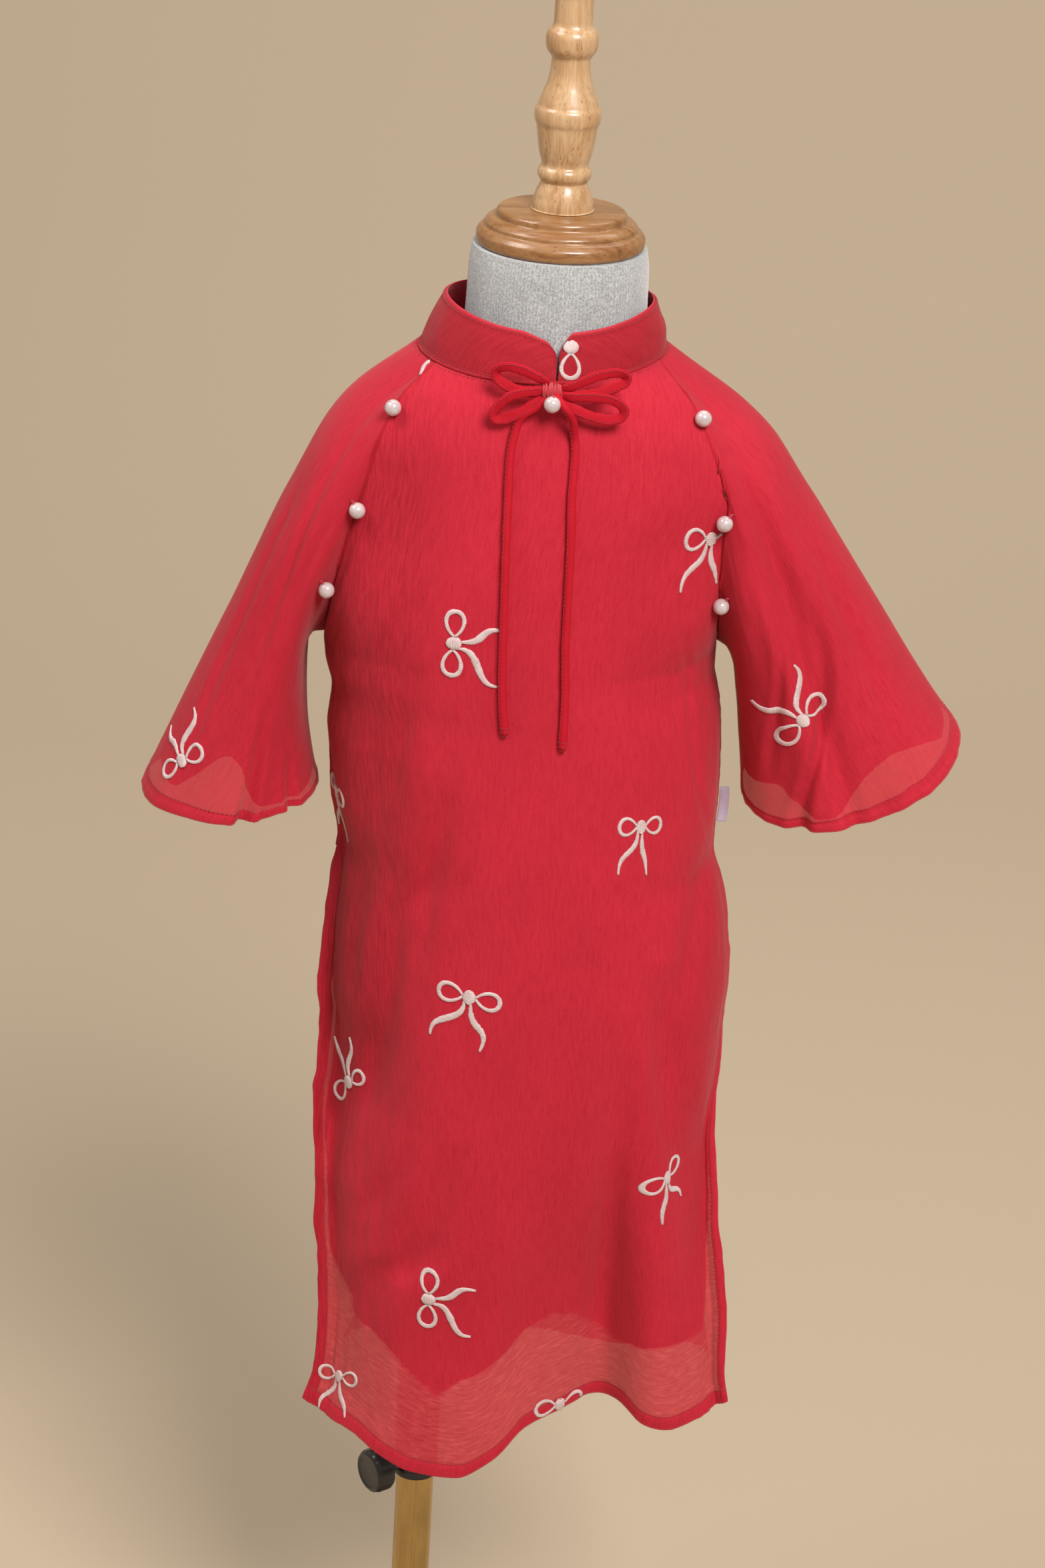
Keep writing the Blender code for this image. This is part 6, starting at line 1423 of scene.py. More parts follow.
points, collar_t = collar_surface(0.0, wobble=1.0)
n = normals(points, False)
surfaces["collar"] = (points, n, collar_t, None)
soft["collar"] = shell("collar_outer_cloth", points, 0.00085, collar_mat, n=n)
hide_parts("collar_outer")
inner, _ = collar_surface(0.0014, wobble=0.6)
inner_n = normals(inner, False)
collar_in = shell("collar_inner_cloth", inner, 0.00080, lining_mat, n=inner_n, inset=0.00145)
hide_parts("collar_inner")


def tree_for(names):
    verts, quads, base = [], [], 0
    for name in names:
        g = surfaces[name][0]
        wrap = name in ("left", "right")
        rows, cols = g.shape[:2]
        r, c = np.meshgrid(np.arange(rows - 1), np.arange(cols if wrap else cols - 1), indexing="ij")
        r, c = r.ravel(), c.ravel()
        at = lambda rr, cc: base + rr * cols + cc % cols
        verts.append(g.reshape(-1, 3))
        quads.append(np.stack([at(r, c), at(r, c + 1), at(r + 1, c + 1), at(r + 1, c)], 1))
        base += rows * cols
    return BVHTree.FromPolygons(np.concatenate(verts).tolist(), np.concatenate(quads).tolist())


for name in surfaces:
    trees[name] = tree_for([name])
trees["body"] = tree_for(["front", "back", "left", "right"])
trees["chest"] = tree_for(["front", "left", "right", "collar"])


def outward(tree, p):
    """Nearest point of a surface, with its normal."""
    loc, nor, _, _ = tree.find_nearest(Vector(p))
    return np.array(loc), np.array(nor)


def front_depth(x, z, tree="chest"):
    hit = trees[tree].ray_cast(Vector((x, -0.3, z)), Vector((0, 1, 0)))
    return None if hit[0] is None else hit[0].y


# the seam's rolled edge round the neck, and the stitches just below it
angles = np.linspace(0, 360, 300, endpoint=False)
line = neck_seam(angles)
line[:, 2] += 0.00025
out = line - np.array([NECK_CENTRE_X, 0, 0])
out[:, 2] = 0
out = _unit(out + np.array([0, 0, 0.0]))
tilt = _unit(out + np.array([0, 0, 0.35]))
along = _unit(np.roll(line, -1, 0) - np.roll(line, 1, 0))
across = _unit(np.cross(along, tilt))
size = 0.0017 + 0.00018 * value_noise(angles / 360 * 60, angles * 0, 301, 60)
rings = sweep(line + tilt * 0.00025, size, size * 0.80, across, tilt, 10)
verts, quads = tube_arrays(rings, closed=True)
neck_roll = mesh_object("neck_seam_roll", verts, quads, None, collar_mat)
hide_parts("collar_outer")
uv = neck_roll.data.uv_layers.new(name="grain")
co = np.array([neck_roll.data.vertices[l.vertex_index].co for l in neck_roll.data.loops])
uv.data.foreach_set("uv", np.stack([np.arctan2(co[:, 1], co[:, 0]) * 0.065, co[:, 2]], 1).astype(np.float32).ravel())
pts, nrs = [], []
for p, o in zip(line[::2], out[::2]):
    loc, nor = outward(trees["body"], p + o * 0.0024 + np.array([0, 0, -0.0008]))
    pts.append(loc)
    nrs.append(nor)
pts.append(pts[0])
nrs.append(nrs[0])
collar_lines = [(np.array(pts), np.array(nrs))]
cp, cn = surfaces["collar"][:2]
for row in (19.0, 1.7):
    k = int(row)
    f = row - k
    collar_lines.append(((cp[k] * (1 - f) + cp[k + 1] * f)[6:-6], cn[k][6:-6]))
collar_stitches = rows_of_stitches("collar_stitches", collar_lines, "collar_outer")
pieces_of["collar"] += [neck_roll, collar_stitches]


# ------------------------------------------------------------------ rouleau bow
def rouleau(path, widths, thick, across, out, sides=14, power=2.6):
    return sweep(path, widths, np.full(len(path), 1.0) * thick, across, out, sides, power=power)


def tube_uv(obj, rings, closed=False):
    """u round the section, v along it, in metres."""
    n, s = rings.shape[:2]
    along = lengths(rings.mean(1)[:, None], 0)[:, 0]
    girth = np.linalg.norm(np.diff(np.concatenate([rings[0], rings[0][:1]]), axis=0), axis=1).sum()
    loops = np.array([l.vertex_index for l in obj.data.loops])
    layer = obj.data.uv_layers.new(name="grain")
    ring_i, side_i = loops // s, loops % s
    inside = loops < n * s
    u = np.where(inside, side_i / s * girth, 0.0)
    v = np.where(inside, along[np.clip(ring_i, 0, n - 1)], 0.0)
    # the seam of the wrap: a quad that spans the last and the first side keeps going round
    polys = np.zeros(len(loops), int)
    for p in obj.data.polygons:
        polys[p.loop_start:p.loop_start + p.loop_total] = p.index
    top = np.zeros(polys.max() + 1)
    np.maximum.at(top, polys, u)
    u = np.where(inside & (top[polys] - u > girth * 0.5), u + girth, u)
    layer.data.foreach_set("uv", np.stack([u, v], 1).astype(np.float32).ravel())


# painted shade: the seam rolls are opaque, as a seam is several layers of cloth, and their colour is set darker than
# the cloth's to stand for the shade in the seam's groove
seam_shade_mat = georgette("seam_georgette_painted_shade", (0.330, 0.0055, 0.0125), (0.440, 0.0105, 0.0210), 1.0, crinkle=0.6, sheen=0.0)


def resample_pair(points, normals, step_length):
    """Evenly spread points with their normals, the normals smoothed along the line."""
    along = np.concatenate([[0], np.cumsum(np.linalg.norm(np.diff(points, axis=0), axis=1))])
    at = np.linspace(0, along[-1], max(2, int(round(along[-1] / step_length)) + 1))
    points, normals = (np.stack([np.interp(at, along, a[:, k]) for k in range(3)], 1) for a in (points, normals))
    window = np.hanning(11)[1:-1]
    window = window / window.sum()
    padded = np.concatenate([np.repeat(normals[:1], 4, 0), normals, np.repeat(normals[-1:], 4, 0)])
    return points, _unit(np.stack([np.convolve(padded[:, k], window, mode="valid") for k in range(3)], 1))


def seam_roll(name, panel, end, rows, out_to, owner):
    """The pinched seam itself: a fine rolled edge of cloth that fills the groove between two pieces, in the seam colour
    darkened as painted shade.
    """
    points, n, us, levels = surfaces[panel]
    col = int(np.argmin(np.abs(us - end)))
    nxt = col + 1 if col == 0 else col - 1
    line, inward = points[rows, col], _unit(points[rows, col] - points[rows, nxt])
    outs = n[rows, col] if out_to is None else np.tile(np.asarray(out_to, float), (len(rows), 1))
    line, outs = resample_pair(line + inward * 0.00046 - outs * 0.00022, outs, 0.0019)
    d = _unit(np.gradient(line, axis=0))
    across = _unit(np.cross(d, outs))
    outs = _unit(np.cross(across, d))
    t = np.arange(len(line))
    size = 0.00215 * (1 + 0.14 * value_noise(t * 0.55, t * 0, len(name) + 31))
    line = line + outs * (0.00016 * value_noise(t * 0.40, t * 0 + 0.5, len(name) + 57))[:, None]
    rings = sweep(line, size, size, across, outs, 8)
    verts, quads = tube_arrays(rings)
    piece = mesh_object(name, verts, quads, None, seam_shade_mat)
    tube_uv(piece, rings)
    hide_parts(panel + "_panel")
    pieces_of[owner].append(piece)


for panel in ("front", "back"):
    levels = PANEL_GRID[panel][1]
    for end, tag in ((-1, "left"), (1, "right")):
        seam_roll("raglan_seam_%s_%s" % (panel, tag), panel, end, np.nonzero(levels >= 1.0)[0], None, panel)
levels = PANEL_GRID["front"][1]
for end, tag, top in ((-1, "left", SLIT_TOP[0]), (1, "right", SLIT_TOP[1])):
    z = Z_HEM + levels * (Z_ARM - Z_HEM)
    seam_roll("side_seam_%s" % tag, "front", end, np.nonzero((z > top) & (levels <= 1.0))[0], (end, 0.0, 0.0), "front")

# the armhole seams' rolls, also in the seam colour darkened as painted shade
for side, name in ((0, "left"), (1, "right")):
    points, n = surfaces[name][:2]
    ring, outs = points[-1], n[-1]
    line = ring + _unit(ring - points[-2]) * 0.00060 - outs * 0.00085
    line = np.stack([np.convolve(np.concatenate([line[-2:, k], line[:, k], line[:2, k]]), (0.1, 0.2, 0.4, 0.2, 0.1), mode="valid") for k in range(3)], 1)
    d = _unit(np.roll(line, -1, 0) - np.roll(line, 1, 0))
    across = _unit(np.cross(d, outs))
    outs = _unit(np.cross(across, d))
    size = np.full(len(line), 0.00240)
    rings = sweep(line, size, size, across, outs, 8)
    verts, quads = tube_arrays(rings, closed=True)
    piece = mesh_object("armhole_seam_" + name, verts, quads, None, seam_shade_mat)
    tube_uv(piece, rings)
    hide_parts("sleeve_" + name)
    pieces_of[name].append(piece)

LOOP_LINES = dict(
    # x, z of the middle line as it would cross the plane y = -0.0725, and y itself
    upper_left=((-0.0016, 0.9388, -0.0722), (-0.0080, 0.9424, -0.0735), (-0.0150, 0.9454, -0.0735), (-0.0230, 0.9468, -0.0725), (-0.0285, 0.9452, -0.0712),
                (-0.0298, 0.9424, -0.0700), (-0.0285, 0.9390, -0.0695), (-0.0245, 0.9362, -0.0705), (-0.0165, 0.9340, -0.0722), (-0.0080, 0.9342, -0.0730), (-0.0016, 0.9356, -0.0725)),
    lower_left=((-0.0016, 0.9352, -0.0735), (-0.0090, 0.9350, -0.0752), (-0.0160, 0.9340, -0.0762), (-0.0225, 0.9312, -0.0762), (-0.0275, 0.9260, -0.0752),
                (-0.0296, 0.9212, -0.0742), (-0.0278, 0.9182, -0.0736), (-0.0232, 0.9190, -0.0738), (-0.0160, 0.9226, -0.0745), (-0.0085, 0.9280, -0.0745), (-0.0022, 0.9328, -0.0738)),
    upper_right=((0.0030, 0.9360, -0.0722), (0.0095, 0.9380, -0.0735), (0.0170, 0.9418, -0.0738), (0.0250, 0.9452, -0.0730), (0.0330, 0.9466, -0.0718),
                 (0.0385, 0.9450, -0.0706), (0.0386, 0.9414, -0.0700), (0.0330, 0.9384, -0.0706), (0.0240, 0.9352, -0.0722), (0.0140, 0.9334, -0.0732), (0.0045, 0.9338, -0.0730)),
    lower_right=((0.0036, 0.9332, -0.0738), (0.0120, 0.9332, -0.0752), (0.0220, 0.9338, -0.0758), (0.0310, 0.9330, -0.0752), (0.0368, 0.9300, -0.0744),
                 (0.0388, 0.9262, -0.0738), (0.0366, 0.9226, -0.0734), (0.0300, 0.9214, -0.0738), (0.0210, 0.9232, -0.0745), (0.0120, 0.9266, -0.0745), (0.0040, 0.9308, -0.0740)),
)
knot_at = np.array([0.0004, -0.0738, 0.9352])
strap_stitches = []
bow_pieces = []
for name, line in LOOP_LINES.items():
    path = curve_through(line, 132)
    path = np.stack([path[:, 0], path[:, 2], path[:, 1]], 1)
    d = _unit(np.gradient(path, axis=0))
    middle = path.mean(0)
    radial = np.stack([-d[:, 2], np.zeros(len(d)), d[:, 0]], 1)
    radial = _unit(radial)
    sign = np.sign(np.sum(radial * (path - middle), axis=1).mean())
    radial = radial * sign
    t = np.linspace(0, 1, len(path))
    turn = np.linalg.norm(np.gradient(d, axis=0), axis=1) / np.maximum(np.linalg.norm(np.gradient(path, axis=0), axis=1), 1e-9)
    turn = np.convolve(np.pad(turn, 8, mode="edge"), np.ones(17) / 17, mode="valid")
    tight = np.clip((turn - 90) / 260, 0, 1)
    tight = np.convolve(np.pad(tight, 8, mode="edge"), np.ones(17) / 17, mode="valid")
    knot_end = np.clip(1 - np.minimum(t, 1 - t) / 0.10, 0, 1)
    tau = np.radians(9 + 40 * tight + 16 * knot_end)
    across = _unit(radial * np.cos(tau)[:, None] + np.array([0, -1, 0]) * np.sin(tau)[:, None])
    out = _unit(np.cross(d, across))
    out = out * np.where(out[:, 1:2] > 0, -1, 1)
    widths = 0.0056 * (1 - 0.36 * knot_end) * (1 + 0.05 * np.sin(t * 31) + 0.03 * np.sin(t * 83))
    rings = rouleau(path, widths, 0.0015 * (1 + 0.0 * t), across, out, 14, 2.8)
    ripple = 0.00009 * value_noise(np.arange(len(path))[:, None] / 3.0, np.arange(14)[None, :] / 2.0, 401, None)
    rings = rings + _unit(rings - path[:, None]) * ripple[..., None]
    verts, quads = tube_arrays(rings)
    piece = mesh_object("bow_strap_" + name, verts, quads, None, strap_mat)
    tube_uv(piece, rings)
    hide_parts("bow_loop_" + name)
    bow_pieces.append(piece)
    near = slice(8, -8)
    strap_stitches.append((name, path[near] + (across * widths[:, None] * 0.30)[near] + out[near] * 0.00086, out[near]))

verts, quads = [], []
parts = []
for name, pts, nrs in strap_stitches:
    parts += stitch_parts(pts, nrs, 0.0021, 0.0015, 0.00034, 0.00022, 0.0)
verts, quads = merge(parts)
bow_stitches = mesh_object("bow_stitches", verts, quads, None, stitch_mat)
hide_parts("bow_loop_upper_left", "bow_loop_lower_left", "bow_loop_upper_right", "bow_loop_lower_right")


def ellipsoid(centre, radii, rings=24, sides=32, ripple=0.0, seed=0):
    k = np.arange(1, rings)
    lat = math.pi * k / rings
    lon = np.arange(sides) * 2 * math.pi / sides
    dirs = np.stack([np.sin(lat)[:, None] * np.cos(lon), np.sin(lat)[:, None] * np.sin(lon), -np.cos(lat)[:, None] + 0 * lon], -1)
    grow = 1 + ripple * value_noise(lon[None, :] / (2 * math.pi) * 8, lat[:, None] * 3, seed, 8)
    pts = np.asarray(centre) + dirs * np.asarray(radii) * grow[..., None]
    verts = np.concatenate([pts.reshape(-1, 3), [np.asarray(centre) - [0, 0, radii[2]], np.asarray(centre) + [0, 0, radii[2]]]])
    i, j = np.meshgrid(np.arange(rings - 2), np.arange(sides), indexing="ij")
    i, j = i.ravel(), j.ravel()
    m = (j + 1) % sides
    quads = [np.stack([i * sides + j, i * sides + m, (i + 1) * sides + m, (i + 1) * sides + j], 1)]
    h = np.arange(0, sides, 2)
    g = lambda x: (h + x) % sides
    low, high = len(pts.reshape(-1, 3)), len(pts.reshape(-1, 3)) + 1
    last = (rings - 2) * sides
    quads.append(np.stack([np.full(len(h), low), g(2), g(1), h], 1))
    quads.append(np.stack([np.full(len(h), high), last + h, last + g(1), last + g(2)], 1))
    return verts, np.concatenate(quads)


verts, quads = ellipsoid(knot_at, (0.0052, 0.0024, 0.0033), 20, 28, 0.05, 501)
knot_core = mesh_object("knot_core", verts, quads, None, wrap_mat)
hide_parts("bow_knot")
parts = []
for k in range(11):
    s = (k - 5) / 5.0
    a = np.linspace(0, 2 * math.pi, 40, endpoint=False)
    swell = math.sqrt(1 - 0.42 * s * s)
    lean = 0.16 * math.sin(k * 2.4)
    c = knot_at + np.array([s * 0.0046, 0, 0])
    path = c + np.stack([lean * 0.0034 * np.sin(a), -0.0029 * swell * np.cos(a), 0.0040 * swell * np.sin(a) * (1 + 0.05 * math.sin(k * 1.7))], 1)
    d = _unit(np.roll(path, -1, 0) - np.roll(path, 1, 0))
    out = _unit(path - c)
    across = _unit(np.cross(d, out))
    rings = sweep(path, np.full(40, 0.00105), np.full(40, 0.00095), across, out, 8)
    parts.append(tube_arrays(rings, closed=True))
verts, quads = merge(parts)
knot_wraps = mesh_object("knot_wraps", verts, quads, None, wrap_mat)
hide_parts("bow_knot")
bow_pieces += [knot_core, knot_wraps, bow_stitches]

# ------------------------------------------------------------------ tie tails
TAIL_DIAMETER = 0.0042
TAIL_SPREAD = 1.10      # the tube is pressed a little flat against the cloth
tail_lengths = {}


def tie_tail(name, table, start, seed):
    zs, xs = np.array(table["z"][::-1]), np.array(table["x"][::-1])
    z = np.linspace(zs[-1], zs[0], 120)
    x = smooth(zs, xs, z)
    y = np.array([front_depth(a, b, "front") or -0.066 for a, b in zip(x, z)])
    y = np.minimum(y, np.array([min(front_depth(a + dx, b, "front") or -0.066 for dx in (-0.0015, 0.0015)) for a, b in zip(x, z)]))
    kernel = np.hanning(13)[1:-1]
    kernel /= kernel.sum()
    y = np.convolve(np.pad(y, 5, mode="edge"), kernel, mode="valid")
    y = y - TAIL_DIAMETER / TAIL_SPREAD / 2 - 0.0003 - 0.0034 * np.exp(-((zs[-1] - z) / 0.009))
    body_line = np.stack([x, y, z], 1)
    line = np.concatenate([np.array(start), body_line[z < 0.9115]])
    line = resample(curve_through(resample(line, 0.004), 600), 0.0011)
    d = _unit(np.gradient(line, axis=0))
    out = np.tile(np.array([0.0, -1.0, 0.0]), (len(line), 1))
    across = _unit(np.cross(d, out))
    out = _unit(np.cross(across, d))
    t = np.linspace(0, 1, len(line))
    swell = 1 + 0.045 * value_noise(t * 24, t * 0, seed) + 0.03 * value_noise(t * 70, t * 0, seed + 1)
    ends = 1 - 0.28 * np.exp(-(1 - t) / 0.006)
    twist = 0.22 * value_noise(t * 5, t * 0, seed + 2)
    a2 = across * np.cos(twist)[:, None] + out * np.sin(twist)[:, None]
    o2 = out * np.cos(twist)[:, None] - across * np.sin(twist)[:, None]
    widths, heights = TAIL_DIAMETER * TAIL_SPREAD * swell * ends, TAIL_DIAMETER / TAIL_SPREAD * ends
    rings = sweep(line, widths, heights, a2, o2, 16, power=2.3)
    # a shallow groove along one side, where the tube's seam lies
    groove = np.exp(-0.5 * ((((np.arange(16) - 2.2) + 8) % 16 - 8) / 0.7) ** 2)
    rings = rings - _unit(rings - line[:, None]) * (0.00030 * groove)[None, :, None]
    verts, quads = tube_arrays(rings)
    obj = mesh_object(name + "_rouleau", verts, quads, None, strap_mat)
    tube_uv(obj, rings)
    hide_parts(name)
    long = float(np.linalg.norm(np.diff(line, axis=0), axis=1).sum())
    angle = math.radians(40)
    side_at = line + a2 * (widths[:, None] / 2 * math.cos(angle)) + o2 * (heights[:, None] / 2 * math.sin(angle) + 0.00004)
    away = _unit(a2 * math.cos(angle) + o2 * math.sin(angle))
    seam = stitch_parts(side_at[6:-3], away[6:-3], 0.0024, 0.0016, 0.00030, 0.00020, 0.0)
    # the raw end is tucked in and closed with a few threads
    tip = []
    for k in range(5):
        a = np.linspace(0, 2 * math.pi, 18, endpoint=False)
        c = line[-1 - k]
        ring = c + a2[-1 - k] * (widths[-1 - k] * 0.53 * np.cos(a))[:, None] + o2[-1 - k] * (heights[-1 - k] * 0.53 * np.sin(a))[:, None] + d[-1] * (0.0003 * np.sin(a + k))[:, None]
        if k % 2 == 0:
            dd = _unit(np.roll(ring, -1, 0) - np.roll(ring, 1, 0))
            oo = _unit(ring - c)
            tip.append(tube_arrays(sweep(ring, np.full(18, 0.00032), np.full(18, 0.00028), _unit(np.cross(dd, oo)), oo, 6), closed=True))
    verts, quads = merge(seam + tip)
    extra = mesh_object(name + "_stitches", verts, quads, None, stitch_mat)
    tail_lengths[name] = long
    return obj


tie_tail("tie_tail_left", TAIL_LEFT, ((0.0004, -0.0728, 0.9345), (-0.0040, -0.0745, 0.9300), (-0.0083, -0.0743, 0.9257), (-0.0136, -0.0738, 0.9220), (-0.0168, -0.0726, 0.9168)), 601)
tie_tail("tie_tail_right", TAIL_RIGHT, ((0.0022, -0.0752, 0.9338), (0.0059, -0.0795, 0.9298), (0.0098, -0.0798, 0.9258), (0.0124, -0.0770, 0.9200)), 611)

# ------------------------------------------------------------------ pearls and label

for name in ["pearl_centre"] + ["pearl_%s_%d" % (s, i) for s in ("left", "right") for i in (1, 2, 3)]:
    low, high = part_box(name)
    centre = (np.array(low) + np.array(high)) / 2
    if name == "pearl_centre":
        centre = np.array([0.0008, -0.0800, 0.9298])
    r = PEARL_RADIUS
    # a drilled bead: the hole runs across the seam, its rims slightly turned in
    rings, sides = 30, 36
    lat = np.linspace(math.radians(6.5), math.pi - math.radians(6.5), rings)
    lon = np.arange(sides) * 2 * math.pi / sides
    prof = np.stack([np.sin(lat) * r, -np.cos(lat) * r], 1)
    hole = np.stack([np.full(5, math.sin(math.radians(6.5)) * r * 0.86), np.linspace(math.cos(math.radians(6.5)) * r * 0.985, -math.cos(math.radians(6.5)) * r * 0.985, 5)], 1)
    prof = np.concatenate([prof, hole])
    pts = np.stack([prof[:, 0][:, None] * np.cos(lon), prof[:, 0][:, None] * np.sin(lon), prof[:, 1][:, None] + 0 * lon], -1)
    base = pts.reshape(-1, 3)
    count = len(prof)
    i, j = np.meshgrid(np.arange(count), np.arange(sides), indexing="ij")
    i, j = i.ravel(), j.ravel()
    k, m = (i + 1) % count, (j + 1) % sides
    quads = np.stack([i * sides + j, i * sides + m, k * sides + m, k * sides + j], 1)
    spin = Matrix.Rotation(math.radians({"centre": 8, "left": -28, "right": 30}[name.split("_")[1]]), 3, "Y") @ Matrix.Rotation(math.radians(16), 3, "X")
    verts = base @ np.array(spin).T + centre
    bead = mesh_object(name + "_bead", verts, quads, None, pearl_mat)
    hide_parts(name)
    # sewing thread out of the upper hole and back into the seam
    top = centre + np.array(spin @ Vector((0, 0, r * 0.96)))
    if name == "pearl_centre":
        end = knot_at + np.array([0.0002, -0.0024, -0.0022])
    else:
        loc, nor = outward(trees["body"], top)
        end = loc - nor * 0.0004 + np.array([0, 0, 0.0004])
    mid = (top + end) / 2 + np.array([0, -0.0004, 0.0012])
    parts = []
    for shift in (-0.00035, 0.00035):
        o = np.array([shift, 0, 0])
        path = curve_through(np.stack([centre + np.array(spin @ Vector((0, 0, r * 0.55))), top + o, mid + o * 1.6, end + o]), 22)
        dd = _unit(np.gradient(path, axis=0))
        side_v = _unit(np.cross(dd, np.array([0, -1.0, 0.2])))
        parts.append(tube_arrays(sweep(path, np.full(22, 0.00050), np.full(22, 0.00050), side_v, _unit(np.cross(side_v, dd)), 6)))
    verts, quads = merge(parts)
    thread = mesh_object(name + "_thread", verts, quads, None, wrap_mat)
    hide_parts(name)

# the side label: a folded woven tape, its two leaves a little apart at the sides
zl, zh = LABEL["z_low"], LABEL["z_high"]
xs = max(float(smooth(BODY["z"], BODY["x_right"], z)) for z in (zl, zh)) + 0.0004
out_x = LABEL["out"] + 0.0002
a = np.concatenate([np.linspace(0, 1, 12), 1 + np.linspace(0, 1, 9)[1:-1], 2 + np.linspace(0, 1, 12)])
prof = []
for t in a:
    if t <= 1:
        prof.append((xs + (out_x - 0.0006) * t, -0.00062 - 0.00030 * math.sin(math.pi * t)))
    elif t < 2:
        w = (t - 1) * math.pi
        prof.append((xs + out_x - 0.0006 + 0.0006 * math.sin(w), -0.00062 * math.cos(w)))
    else:
        prof.append((xs + (out_x - 0.0006) * (3 - t), 0.00062 + 0.00030 * math.sin(math.pi * (3 - t))))
prof = np.array(prof)
rows = np.linspace(zl, zh, 26)
grid = np.stack([np.stack([prof[:, 0] + 0.0007 * math.sin((z - zl) * 130), prof[:, 1] + 0.0006 * math.sin((z - zl) * 220), np.full(len(prof), z)], 1) for z in rows])
label = shell("side_label_tape", grid, 0.00028, label_mat)
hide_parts("side_label")
lines = []
for k in (1, -2):
    lines.append((grid[k], normals(grid, False)[k]))
label_stitches = rows_of_stitches("side_label_edges", lines, "side_label", 0.0009, 0.0008, 0.00026, 0.00014, label_thread)


# ------------------------------------------------------------------ embroidery
def teardrop(length, height, lean, count=34):
    """Closed loop from its point at the knot, round the far end and back."""
    t = np.linspace(0.02, 0.98, count)
    x = length * (1 - np.cos(2 * math.pi * t)) / 2
    y = height / 2 * np.sin(2 * math.pi * t) * np.sin(math.pi * t) ** 0.55 * 1.06
    c, s = math.cos(math.radians(lean)), math.sin(math.radians(lean))
    return np.stack([x * c - y * s, x * s + y * c], 1), 0.00125 + 0.00150 * np.sin(math.pi * t) ** 1.1


def ribbon_tail(start, spread, fall, bend=0.9, hook=0.0, count=30):
    """Tail that leaves the knot straight down, sweeps aside in an S and may hook back at its end."""
    t = np.linspace(0, 1, count)
    x = start[0] + spread * (t - bend * np.sin(2 * math.pi * t) / (2 * math.pi)) + hook * t**4
    y = start[1] - fall * (t + 0.05 * np.sin(2 * math.pi * t))
    return np.stack([x, y], 1), 0.0014 + 0.0027 * np.sin(math.pi * np.clip(t, 0, 1) ** 0.85) ** 1.15


def bow_strokes(left=7.0, right=-8.0, spread=(-0.0190, 0.0110), fall=(0.0245, 0.0285), hook=(0.0, -0.0045), bend=0.9, keep=(0, 1, 2, 3, 4),
                loops=(0.0142, 0.0116, 0.0138, 0.0112)):
    strokes = []
    p, w = teardrop(loops[0], loops[1], left)
    strokes.append((p * [-1, 1] + [-0.0038, 0.0004], w, 0.00075))
    p, w = teardrop(loops[2], loops[3], right)
    strokes.append((p + [0.0038, -0.0002], w, 0.00075))
    strokes.append((*ribbon_tail((-0.0026, -0.0024), spread[0], fall[0], bend, hook[0]), 0.00070))
    strokes.append((*ribbon_tail((0.0010, -0.0040), spread[1], fall[1], bend, hook[1]), 0.00070))
    t = np.linspace(-1, 1, 15)
    strokes.append((np.stack([0 * t, t * 0.0043], 1), 0.0082 * np.sqrt(np.clip(1 - (t * 0.985) ** 2, 0.03, 1)), 0.00120))
    return [strokes[i] for i in keep]


